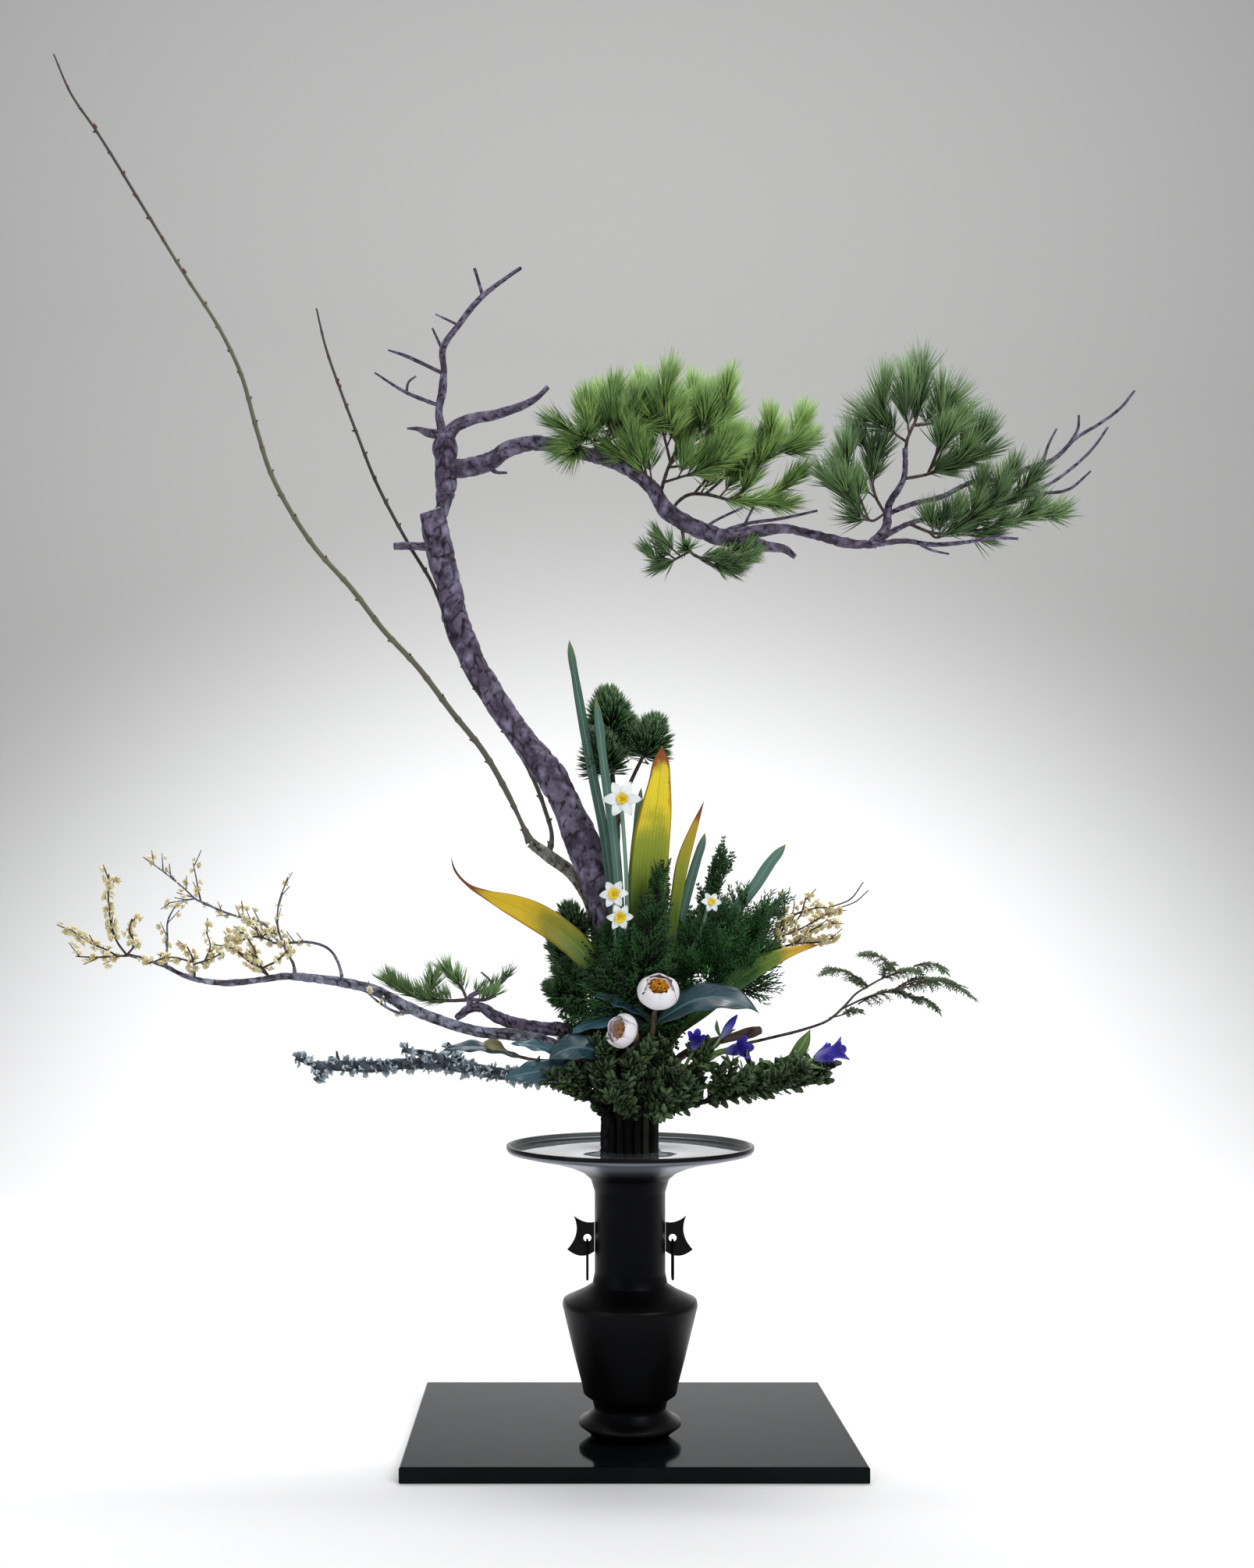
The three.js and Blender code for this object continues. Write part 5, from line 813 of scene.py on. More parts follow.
TWIG_RELIEF = bark_relief(4, 0.35, 0.8)
pine_bark = bark_finish("pine_bark", "251e26", "403747", "685e73", "9490aa", 0.9)
twig_bark = bark_finish("twig_bark", "241c1c", "3b312f", "61554f", "7c7472", 0.4, 0.15)
wet_stem = bark_finish("wet_stem", "0b0b09", "14150f", "27281d", "343428", 0.3, 0.2)
print("three barks ready")

# %% [markdown]
# ## The pine
# The trunk leans left as it rises and carries its weight on one long limb to the right. It is one
# piece with its dead leader, stubs and bare twigs. The lower trunk was sawn where a side branch took
# over, and the pale sawn face still shows.

# %% Trunk lines
trunk_line = [
    [0, 0, STEM_FOOT, 13], [0, 0, 372, 13], [-5, 1, 430, 13.5], [-14, 2, 495, 15], [-26, 3, 552, 16],
    [-32, 4, 580, 18], [-50, 6, 623, 18], [-62, 8, 650, 15.5], [-78, 10, 685, 15.5],
    [-108, 14, 725, 14], [-136, 18, 766, 13], [-161, 21, 807, 12.5], [-178, 23, 848, 13.5],
    [-187, 25, 890, 12.5], [-197, 26, 927, 14], [-199, 26, 948, 10.5], [-194, 26, 965, 7.5],
    [-190, 26, 986, 10], [-190, 26, 1018, 11.5], [-191, 26, 1039, 11], [-191, 26, 1046, 6],
]
right_limb = [
    [-190, 26, 1010, 10], [-168, 24, 1010, 9.5], [-146, 22, 1015, 9], [-124, 19, 1028, 8],
    [-98, 16, 1033, 7.4], [-70, 12, 1027, 7.2], [-42, 8, 1018, 7.2], [-18, 5, 1011, 7.4],
    [6, 2, 996, 7], [24, 0, 980, 8], [36, -2, 960, 8.4], [55, -4, 946, 8.4], [77, -6, 935, 8.8],
    [101, -8, 928, 8.6], [124, -10, 934, 6.2], [156, -12, 937, 5.4], [191, -17, 928, 4.8],
    [225, -21, 919, 4.8], [247, -24, 918, 4.4],
]
far_limbs = [
    [[240, -23, 918, 4.4], [256, -26, 934, 4.6], [258, -28, 954, 4], [273, -30, 983, 3],
     [274, -32, 1012, 2.6]],
    [[258, -28, 948, 3], [282, -30, 957, 2.6], [309, -32, 963, 2.6], [340, -34, 977, 2.6],
     [374, -36, 981, 2.6], [397, -38, 991, 3], [416, -40, 996, 2.6], [442, -44, 1019, 1.9],
     [464, -46, 1032, 1.7], [483, -48, 1046, 1.5], [497, -50, 1063, 1.2]],
    [[251, -25, 924, 3.4], [281, -16, 941, 2.8], [311, -8, 950, 2.8], [348, 0, 956, 3],
     [382, 8, 972, 2.8], [404, 12, 978, 2.6], [433, 16, 991, 1.9], [458, 20, 1009, 1.7],
     [480, 24, 1030, 1.5], [497, 28, 1053, 1.2]],
    [[244, -24, 918, 3.2], [273, -36, 918, 2.6], [298, -46, 912, 2.4], [327, -54, 912, 2],
     [356, -60, 915, 1.7], [378, -64, 913, 1.2]],
]
bare_twigs = [
    [[-191, 26, 1040, 6], [-197, 26, 1067, 4], [-193, 26, 1093, 4.4], [-192, 26, 1111, 3.4],
     [-193, 26, 1133, 3.4], [-176, 26, 1159, 3.2], [-151, 28, 1190, 2.8], [-130, 30, 1207, 2],
     [-112, 31, 1220, 2]],
    [[-151, 28, 1187, 2.2], [-156, 27, 1204, 1.8], [-160, 26, 1217, 1.8]],
    [[-176, 26, 1158, 1.6], [-200, 22, 1168, 0.9]],
    [[-194, 26, 1134, 1.8], [-204, 28, 1156, 1]],
    [[-194, 26, 1109, 2], [-237, 16, 1125, 1.6], [-248, 12, 1127, 1]],
    [[-197, 26, 1075, 2.2], [-232, 32, 1091, 1.9], [-265, 40, 1114, 1]],
    [[-231, 32, 1091, 1.5], [-229, 31, 1101, 1.2], [-221, 30, 1107, 1]],
    [[-191, 26, 1037, 8], [-180, 25, 1053, 6.6], [-169, 24, 1058, 6.2], [-133, 20, 1065, 5],
     [-99, 16, 1077, 3.4], [-94, 15, 1080, 3], [-84, 14, 1090, 2.8]],
    [[-191, 26, 1044, 5], [-209, 26, 1047, 4.4], [-219, 27, 1051, 2.4], [-230, 28, 1052, 1]],
    [[-196, 26, 927, 6], [-215, 22, 928, 4.2], [-231, 20, 928, 4], [-243, 18, 927, 3.6]],
    [[-146, 22, 1012, 4], [-138, 22, 1005, 2], [-126, 22, 1004, 1.2]],
    [[109, -9, 928, 6.5], [140, -14, 918, 5.2], [156, -16, 915, 4], [166, -17, 907, 2.6]],
    [[90, -6, 934, 2.4], [120, 6, 947, 1.9], [156, 16, 955, 1.7], [195, 26, 966, 1.4]],
    [[74, -5, 938, 2], [86, 6, 949, 1.5], [116, 16, 966, 1.4]],
    [[118, 5, 947, 1.5], [127, 9, 965, 1.3]],
    [[409, -40, 993, 1.7], [416, -36, 1014, 1.4], [425, -33, 1031, 1.1]],
    [[434, -43, 1012, 1.6], [442, -47, 1027, 1.5], [442, -50, 1039, 1.1]],
    [[391, 10, 974, 2], [417, 4, 977, 1.9], [447, -2, 980, 1.7], [467, -10, 996, 1.1]],
    [[412, 13, 980, 1.5], [424, 20, 998, 1.3], [431, 26, 1012, 1]],
    [[282, -40, 917, 1.8], [295, -44, 908, 1.4], [313, -52, 901, 1]],
]

# %% Trunk and limb
sawn_finish = Finish("sawn_wood", roughness=0.8)
sawn_finish.set(base_color=sawn_finish.ramp(sawn_finish.noise(160, 3), (0.3, "8d8a96"), (0.7, "b9b7c4")),
                normal=sawn_finish.bump(sawn_finish.noise(500, 2), 0.2))
trunk = Piece()
rod(trunk, trunk_line, 2.6, 26, relief=bark_relief(11, 1.3, 1.5, 0.6))
rod(trunk, right_limb, 2.5, 20, relief=bark_relief(8, 1.0, 1.5, 0.6))
sawn_end = [[-193, 22, 918, 13], [-199, 18, 938, 13.5], [-203, 15, 958, 12.5], [-204, 14, 962, 12]]
rod(trunk, sawn_end, 2.2, 26, relief=bark_relief(10, 1.1, 1.2, 0.6))
rod(trunk, [[-204, 14, 961.4, 10.8], [-204.6, 13.6, 962.8, 10.4]], 0.5, 26, paint=1)
for line in far_limbs:
    rod(trunk, line, 2, 12, relief=bark_relief(4.5, 0.6))
for line in bare_twigs:
    twig(trunk, line, 2.4, 16 if line[0][3] > 3 else 9)
trunk.make("pine_trunk_bark", [pine_bark, sawn_finish], "pine_trunk")

# %% [markdown]
# ## Foliage finishes
# A leaf is darker at its foot, often yellow or brown at its tip, and paler along its midrib, and no
# two leaves have quite the same green. The marks carry all of that, so that one function makes the
# finish of every leaf and needle here.

# %% Leaf finish
def leaf_finish(name, dark, light, tip=None, tip_from=0.75, rib=None, foot=None, gloss=0.45,
                mottle=0.25, veins=0.0, relief=0.1, coat=0.0):
    leaf = Finish(name, specular_ior_level=0.35, coat_weight=coat, coat_roughness=0.32)
    along, across, tint = leaf.marks()
    edge = across.size()
    cloud = leaf.noise(60, 3, 0.6)
    colour = leaf.mix(tint + (cloud - 0.5) * mottle, dark, light)
    if foot:
        colour = leaf.mix(1 - along.between(0.0, 0.35), colour, foot)
    if rib:
        colour = leaf.mix((1 - edge.between(0.02, 0.14)) * 0.7, colour, rib)
    if tip:
        ragged = along + (leaf.noise(90, 3) - 0.5) * 0.12 + edge * 0.05
        colour = leaf.mix(ragged.between(tip_from, min(tip_from + 0.14, 1)), colour, tip)
    height = leaf.noise(350, 2)
    if veins:
        line = ((along * veins + edge * -3.0) * 2 * math.pi).sine().between(0.75, 1.0)
        height = height * 0.3 - line
        colour = leaf.mix(line * 0.12, colour, rib or light)
    leaf.set(base_color=leaf.bundle_shade(colour), roughness=cloud * 0.12 + gloss,
             normal=leaf.bump(height, relief))
    return leaf


# %% [markdown]
# ## Needles
# A pine carries its needles in pairs, in brushes round the young shoots. Each shoot of the frame is
# drawn again with side shoots by rule, and pairs of needles stand round all of them, leaning more
# forward towards the tip. The draws come from a seeded generator, so every run gives the same spray.

# %% Needles round shoots
def cross_ways(ahead, count, dice):
    """For each direction a random one square to it"""
    return unit(np.cross(ahead, unit(dice.normal(size=(count, 3)))))


def needle_brush(piece, line, count, length, thick, dice, lean, rise, start=0.1, tint=(0, 1),
                 pattern=NEEDLE, pairs=0.1):
    """Sets `count` pairs of needles round a line of points; lean is at the start and at the tip"""
    run = run_of(line) / gaps_of(line).sum()
    at = np.sort(start + (1 - start) * dice.random(count) ** 0.8)
    feet, ahead = (np.stack([np.interp(at, run, way) for way in rows.T], axis=1)
                   for rows in (line, np.gradient(line, axis=0)))
    ahead = unit(ahead)
    angle = np.radians(lean[0] + (lean[1] - lean[0]) * at + dice.normal(0, 6, count))[:, None]
    ways = ahead * np.cos(angle) + cross_ways(ahead, count, dice) * np.sin(angle)
    ways[:, 2] += rise
    span = tint[1] - tint[0]
    tone = tint[0] + span * dice.random() * 0.5 + dice.random(count) * span * 0.5
    for sign in (-1, 1) if pairs else (0,):
        aim = unit(ways) + cross_ways(ways, count, dice) * pairs * sign
        long = length * MM * dice.uniform(0.82, 1.12, (count, 1))
        spread(piece, pattern, feet, aim, cross_ways(aim, count, dice),
               long * [1, 0, 0] + thick * MM * np.array([0, 1, 1]), tone, 1)


def side_shoots(line, count, length, dice, rise=0.25, start=0.25):
    """Short curved shoots that leave a line of points at random places"""
    shoots = []
    steps = np.gradient(line, axis=0)
    s = np.linspace(0, 1, 6)[:, None]
    for at in np.linspace(start, 0.95, count):
        k = int(at * (len(line) - 1))
        ahead = unit(steps[k])
        side = unit(np.cross(ahead, unit(dice.normal(size=3))))
        way = unit(ahead * 0.75 + side * 0.75 + np.array([0, 0, rise]))
        bend = unit(way + np.array([0, 0, 0.5]))
        long = length * MM * dice.uniform(0.7, 1.15)
        shoots.append(line[k] + way * s * long * 0.7 + bend * s**2 * long * 0.3)
    return shoots


def pine_spray(key, shoots, side_count, pairs_per_mm, length, seed, finish, thick):
    dice = np.random.default_rng(seed)
    piece = Piece()
    for stations in shoots:
        line = twig(piece, stations, 2, 7)
        sides = side_shoots(line, side_count, 26, dice, 0.45, 0.35)
        for side in sides:
            twig(piece, tapered(side, 1.1, 0.7), 3, 5)
        for brush, share, start in [(line, 0.5, 0.5), *[(side, 1.0, 0.3) for side in sides]]:
            count = int(gaps_of(brush).sum() / MM * pairs_per_mm * share) + 12
            needle_brush(piece, brush, count, length, thick, dice, (56, 12), 0.22, start)
    piece.make(f"pine_{key}_needles", [twig_bark, finish], f"pine_spray_{key}")


# %% Upper pine sprays
# Two copies of one needle finish: a paler one with painted light for the near sprays, and a darker, bluer one
# with painted shade for the far sprays and the low pine branch
pine_lit_green = leaf_finish("pine_needle", "2f5a24", "9ec46a", tip="bccb86", tip_from=0.9, foot="3e5028",
                         gloss=0.42, mottle=0.8)
pine_shade_green = leaf_finish("pine_needle_shade", "1b3620", "7a9f60", tip="93a86e", tip_from=0.9, foot="2c4026",
                        gloss=0.42, mottle=0.5)
PINE_SHOOTS = {
    "inner": (34, [
        [[-30, 7, 1014, 2], [-36, 6, 1034, 1.8], [-22, 2, 1056, 1.4]],
        [[-35, 6, 1028, 1.6], [-43, -6, 1030, 1.3], [-50, -12, 1026, 1]],
        [[-30, 5, 1040, 1.5], [0, 8, 1050, 1.4], [16, 10, 1066, 1.1]],
        [[-34, 6, 1032, 1.5], [-22, 24, 1042, 1.4], [-8, 32, 1058, 1.1]],
        [[-24, 4, 1046, 1.4], [2, -6, 1044, 1.3], [26, -12, 1050, 1]],
        [[-32, 6, 1026, 1.5], [-14, -8, 1032, 1.3], [6, -14, 1036, 1]]]),
    "top": (36, [
        [[30, -1, 972, 2], [38, 4, 1000, 1.9], [54, 6, 1034, 1.7], [72, 6, 1062, 1.3]],
        [[42, 5, 1008, 1.6], [34, -14, 1030, 1.4], [26, -24, 1054, 1.1]],
        [[50, 6, 1026, 1.6], [50, 24, 1044, 1.4], [44, 36, 1060, 1.1]],
        [[48, 6, 1022, 1.6], [76, -8, 1034, 1.4], [96, -14, 1050, 1.1]],
        [[40, 4, 1004, 1.5], [64, 0, 1006, 1.3], [88, -6, 1010, 1]],
        [[31, -1, 976, 1.5], [16, -10, 992, 1.3], [0, -16, 1006, 1]],
        [[34, 2, 988, 1.5], [58, -10, 992, 1.3], [80, -16, 998, 1]]]),
    "outer": (32, [
        [[42, -3, 956, 2], [50, 6, 970, 1.9], [62, 13, 979, 1.9], [78, 16, 980, 1.8], [108, 18, 974, 1.7],
         [136, 16, 973, 1.5], [156, 14, 984, 1.2]],
        [[78, 16, 980, 1.5], [98, 18, 998, 1.4], [118, 16, 1022, 1.1]],
        [[108, 18, 974, 1.5], [128, 6, 1000, 1.4], [146, -2, 1030, 1.1]],
        [[134, 4, 1010, 1.4], [158, 10, 1022, 1.2], [178, 14, 1030, 1]],
        [[66, 13, 979, 1.5], [84, 10, 1000, 1.4], [98, 6, 1018, 1.1]]]),
    "under": (25, [
        [[52, -4, 944, 2], [56, -10, 922, 1.8], [64, -14, 910, 1.6], [90, -22, 904, 1.4],
         [112, -26, 902, 1.1]],
        [[60, -12, 914, 1.5], [44, -8, 906, 1.2], [34, -6, 900, 1]],
        [[66, -15, 909, 1.5], [84, -8, 900, 1.3], [102, -4, 896, 1]]]),
    "far_left": (36, [
        [[257, -28, 944, 1.8], [246, -24, 966, 1.5], [242, -20, 996, 1.3], [242, -18, 1010, 1]],
        [[255, -27, 948, 1.5], [238, -38, 938, 1.4], [222, -44, 950, 1.2], [204, -48, 966, 1]],
        [[236, -39, 939, 1.3], [226, -34, 966, 1.2], [212, -28, 992, 1]]]),
    "far_top": (44, [
        [[274, -31, 1000, 1.8], [276, -32, 1020, 1.7], [285, -34, 1042, 1.5], [290, -34, 1074, 1.2]],
        [[276, -32, 1018, 1.4], [262, -28, 1030, 1.2], [252, -24, 1044, 1]],
        [[284, -34, 1034, 1.4], [300, -28, 1038, 1.2], [314, -22, 1044, 1]]]),
    "far_middle": (36, [
        [[273, -30, 982, 1.8], [292, -20, 988, 1.6], [312, -10, 996, 1.4], [332, -4, 1008, 1.1]],
        [[306, -13, 993, 1.4], [330, -16, 1000, 1.3], [356, -18, 1010, 1.1]],
        [[300, -16, 991, 1.4], [306, -28, 1008, 1.2], [312, -36, 1024, 1]]]),
    "far_low": (34, [
        [[281, -16, 941, 1.8], [304, -22, 930, 1.6], [336, -24, 930, 1.5], [372, -22, 938, 1.4],
         [420, -16, 950, 1.2]],
        [[318, -23, 930, 1.4], [334, -36, 936, 1.2], [350, -44, 944, 1]],
        [[344, -24, 932, 1.4], [362, -38, 950, 1.2], [380, -48, 958, 1]],
        [[300, -21, 931, 1.3], [306, -34, 922, 1.2], [318, -40, 926, 1]]]),
}
for number, (key, (length, shoots)) in enumerate(PINE_SHOOTS.items()):
    if key in ("inner", "top", "outer"):
        pine_spray(key, shoots, 5, 2.1, length, 100 + number, pine_lit_green, 1.25)
    else:
        pine_spray(key, shoots, 4, 1.35, length, 100 + number, pine_shade_green, 1.35)

# %% [markdown]
# ## Low pine branch
# A crooked pine branch leans out to the left with bare, blunt twigs and a row of upright needles.

# %% Low pine
low_pine = Piece()
rod(low_pine, column(OUTER_RING, 10, 350, [-38, -6, 385, 5], [-52, -7, 413, 6], [-66, -8, 428, 7],
                     [-93, -9, 431, 7.4], [-121, -10, 437, 6.6], [-138, -10, 444, 6], [-150, -10, 452, 5],
                     [-161, -10, 452, 5], [-169, -11, 447, 4.4], [-177, -12, 441, 3]),
    2, 16, relief=bark_relief(5, 0.8))
bare = [twig(low_pine, line, 2, 9) for line in [
    [[-161, -10, 449, 3.6], [-163, -9, 462, 2.8], [-150, -6, 469, 2.2], [-137, -3, 473, 2],
     [-124, 0, 484, 1.3]],
    [[-162, -9, 460, 2.2], [-148, -14, 460, 1.8], [-136, -18, 464, 1.3]],
    [[-138, -3, 473, 1.6], [-143, -1, 480, 1.3], [-152, 2, 488, 1]],
]]
low_pine.make("low_pine_bark", [pine_bark], "low_pine_branch")

dice = np.random.default_rng(7)
low_needles = Piece()
for count, line in [
    (260, [[-163, -9, 460, 2], [-184, -12, 459, 1.7], [-205, -16, 460, 1.6], [-223, -20, 465, 1.5],
           [-243, -26, 476, 1]]),
    (90, [[-166, -9, 461, 1.6], [-172, -4, 473, 1.4], [-186, 2, 486, 1.1]]),
    (60, [[-205, -16, 460, 1.4], [-202, -10, 472, 1.2], [-200, -6, 480, 1]]),
]:
    points = twig(low_needles, line, 2, 8)
    needle_brush(low_needles, points, count, 25, 1.15, dice, (60, 40), 0.75, 0.2, (0.2, 0.9))
for line in bare[:2]:
    needle_brush(low_needles, line, 55, 20, 1.1, dice, (60, 40), 0.9, 0.3, (0.2, 0.9))
low_needles.make("low_pine_needle_row", [twig_bark, pine_shade_green], "low_pine_needles")

# %% [markdown]
# ## Short pine
# Young pine tops with short stiff needles. Each top is a rounded brush: the needles at its foot stand
# straight out and those at its crown point along the shoot, so their tips lie on a dome.

# %% Short pine
short_green = leaf_finish("short_needle", "0a200d", "386332", tip="a3bf8e", tip_from=0.9, foot="14240f",
                          gloss=0.42, mottle=0.5)


def short_pine(name, node, stems, tops, seed):
    """Stems with rounded tops: centre, how far the needle tips reach, pairs of needles, way"""
    dice = np.random.default_rng(seed)
    piece = Piece()
    for line in stems:
        twig(piece, line, 2.5)
    for centre, reach, count, way in tops:
        shoot = unit(np.array(way, float)) * np.linspace(-12.8, 7.2, 8)[:, None] * MM
        line = np.array(centre, float) * MM + shoot
        twig(piece, tapered(line, 1.4, 1.4), 2, 7)
        needle_brush(piece, line, count, reach, 1.8, dice, (100, 2), 0.3, 0.0, pattern=STIFF_NEEDLE,
                     pairs=0.2)
    piece.make(name, [twig_bark, short_green], node)


short_pine("short_pine_tops", "short_pine_upper", [
    column(INNER_RING, 4, 372, [-8, 24, 430, 3.6], [-12, 31, 500, 3.4], [-14, 30, 580, 3.2],
           [-12, 26, 640, 3], [-18, 20, 700, 2.6], [-20, 16, 744, 2]),
    [[-12, 26, 640, 2.6], [0, 20, 680, 2.2], [17, 14, 716, 1.8]],
    [[-13, 26, 638, 2.4], [-22, 12, 666, 2], [-26, 2, 698, 1.6]],
], [((-20, 16, 747), 31, 615, (-0.1, -0.1, 1)), ((19, 13, 720), 30, 615, (0.4, -0.1, 1)),
    ((-27, 0, 703), 30, 615, (-0.25, -0.35, 1)), ((-2, 18, 722), 28, 375, (0.1, 0.1, 1))], 21)
short_pine("short_pine_low_tops", "short_pine_left", [
    column(INNER_RING, 6, 366, [-32, 10, 408, 3.4], [-50, 14, 450, 3], [-60, 16, 495, 2.6],
           [-57, 16, 530, 1.8]),
    [[-50, 14, 448, 2.4], [-58, 8, 458, 1.8], [-66, 2, 462, 1.4]],
], [((-56.5, 16, 532), 26, 420, (-0.4, -0.1, 1)), ((-66, 2, 463), 22, 315, (-0.9, -0.2, 0.4)),
    ((-62, 14, 500), 26, 390, (-0.8, 0, 0.7)), ((-58, 10, 478), 24, 270, (-0.7, -0.4, 0.5))], 22)

# %% [markdown]
# ## Plum shoots
# Young plum wood is smooth and olive, with a joint and a bud at each place where a leaf has been. The
# thick grey base limb carries one very long shoot and one shorter one.

# %% Plum
shoot_bark = leaf_finish("shoot_bark", "25251c", "87876c", tip="4c4440", tip_from=0.7, foot="55514a",
                         gloss=0.5, mottle=0.5, relief=0.15)
bud_finish = leaf_finish("bud", "4a2b2a", "7c5044", gloss=0.55)
BUD = Pattern().add(*spindle([0, 0, 0], [1, 0, 0], 0.5, 5, 0.4))


def jointed(stations, every, swell):
    """A rod's stations with a small swelling at each joint, and where the joints are"""
    points, radii = flow(stations, 2.0)
    run = run_of(points) / MM
    near = np.abs((run / every) % 1 - 0.5) * every
    radii = radii * (1 + swell * np.exp(-(near / 2.2) ** 2))
    joints = [int(np.argmin(np.abs(run - (k + 0.5) * every))) for k in range(int(run[-1] / every))]
    return np.hstack([points, radii[:, None]]) / MM, joints


plum_lines = [
    [[-102, 23, 622, 5.4], [-107, 23, 633, 3.2], [-127, 23, 675, 3], [-150, 24, 715, 3],
     [-184, 25, 758, 3], [-218, 26, 803, 2.9], [-255, 26, 843, 2.8], [-288, 27, 886, 2.7],
     [-327, 28, 930, 2.6], [-351, 28, 966, 2.5], [-373, 29, 1009, 2.4], [-385, 30, 1046, 2.3],
     [-406, 31, 1117, 2.1], [-424, 31, 1154, 2], [-461, 32, 1212, 1.8], [-507, 34, 1287, 1.7],
     [-555, 36, 1365, 1.5], [-582, 37, 1405, 1.3], [-600, 38, 1446, 0.9]],
    [[-84, 24, 608, 4], [-80, 32, 626, 2.6], [-88, 40, 660, 2.4], [-103, 46, 698, 2.4],
     [-137, 50, 752, 2.3], [-170, 50, 803, 2.2], [-192, 50, 861, 2.1], [-204, 48, 892, 2],
     [-230, 46, 936, 1.9], [-266, 42, 1005, 1.8], [-284, 41, 1051, 1.7], [-301, 40, 1096, 1.6],
     [-317, 40, 1143, 1.4], [-326, 40, 1181, 1]],
]
plum = Piece()
rod(plum, column(INNER_RING, 5, 366, [-20, 22, 408, 4.5], [-27, 31, 460, 6], [-31, 34, 510, 7],
                 [-38, 34, 556, 7], [-60, 28, 591, 7], [-86, 24, 610, 6.6], [-102, 23, 622, 5.4]),
    2, 18, relief=bark_relief(5, 0.45, 1.2, 0.8))
dice = np.random.default_rng(31)
for line, tint in zip(plum_lines, (0.48, 0.08)):
    stations, joints = jointed(line, 27, 0.22)
    points = rod(plum, stations, 2.0, 8, tint=tint, paint=1)
    feet = points[joints]
    ahead = unit(np.gradient(points, axis=0)[joints])
    out = cross_ways(ahead, len(feet), dice)
    radii = stations[joints, 3:4] * MM
    spread(plum, BUD, feet + out * radii * 0.6, ahead + out * 0.9, out, [0.0044, 0.0028, 0.0028],
           dice.random(len(feet)), 2)
for x, y, z in [[-555, 36, 1365], [-461, 32, 1212], [-301, 40, 1096]]:
    spread(plum, BUD, np.array([[x, y, z]]) * MM, np.array([[-0.2, -0.3, 1.0]]), [0, 1.0, 0],
           [0.009, 0.0045, 0.0045], 0.5, 2)
grey_bark = bark_finish("grey_bark", "2f2d2b", "5a5a4c", "8b8a82", "a7a7ab", 0.6, 0.2)
plum.make("plum_shoot_wood", [grey_bark, shoot_bark, bud_finish], "plum_shoots")

# %% [markdown]
# ## Thin sheets
# Petals, lichen and lobes are bent sheets. `sheet` takes a grid of points on the bent surface and
# closes it into a solid that is thinner at its rim, so that it has two sides and no open edge.

# %% Sheet
def sheet_shape(grid, thick):
    """Corners, faces and marks of a thin solid round a grid (n, m, 3) of points"""
    normal = unit(np.cross(np.gradient(grid, axis=0), np.gradient(grid, axis=1)))
    rows, columns = grid.shape[:2]
    half = np.sqrt(1 - 0.8 * np.linspace(-1, 1, columns) ** 2)[None, :, None] * thick / 2
    corners = np.concatenate([(grid + normal * half).reshape(-1, 3), (grid - normal * half).reshape(-1, 3)])
    at = np.arange(rows * columns).reshape(rows, columns)
    upper = np.stack([at[:-1, :-1], at[1:, :-1], at[1:, 1:], at[:-1, 1:]], axis=2).reshape(-1, 4)
    rim = np.concatenate([at[:-1, 0], at[-1, :-1], at[:0:-1, -1], at[0, :0:-1]])
    after = np.roll(rim, -1)
    under = rows * columns
    side = np.stack([after, rim, rim + under, after + under], axis=1)
    along = np.tile(np.repeat(np.linspace(0, 1, rows), columns), 2)
    across = np.tile(np.linspace(-1, 1, columns), 2 * rows)
    return corners, [upper, upper[:, ::-1] + under, side], along, across


def sheet(piece, grid, tint, paint=0):
    """A petal 0.7 mm thick"""
    corners, faces, along, across = sheet_shape(grid, 0.7 * MM)
    piece.add(corners, faces, np.stack([along, across, np.full(len(along), tint)], axis=1), paint)


# %% Flower places
def flower_frame(heart, axis):
    """The place of a flower in metres, the way it looks, and two directions square to that"""
    out = unit(np.array(axis, float))
    across = unit(np.cross([0, 0, 1.0], out))
    return np.array(heart, float) * MM, out, across, np.cross(out, across)


def round_sheet(piece, flower, profile, turn, half, tint, paint=0, belly=0.0, ruffle=0.0,
                columns=11, rows=14):
    """A petal on a surface of revolution: profile is [[radius, height], ...], half its half widths"""
    heart, out, across, over = flower
    s = np.linspace(0, 1, rows)
    profile, half = np.array(profile, float), np.array(half, float)[:, None]
    radius, height = read_smoothly(s, np.linspace(0, 1, len(profile)), profile).T[..., None]
    width = read_smoothly(s, np.linspace(0, 1, len(half)), half)
    s, v = s[:, None], np.linspace(-1, 1, columns)
    angle = turn + v * width / np.maximum(radius, 1.5)
    reach = radius + belly * s * (1 - v**2) + ruffle * s**2 * np.sin(5 * v + 9 * tint)
    lift = height - 0.12 * width * v**2 * s**2
    grid = heart + (out * lift[..., None] + ways_round(across, over, angle) * reach[..., None]) * MM
    sheet(piece, grid, tint, paint)


# %% [markdown]
# ## Wintersweet
# Wintersweet flowers on bare twigs. Each flower has an outer ring of waxy cream tepals and a small
# darker inner one, and hangs a little; round buds stand between the open flowers.

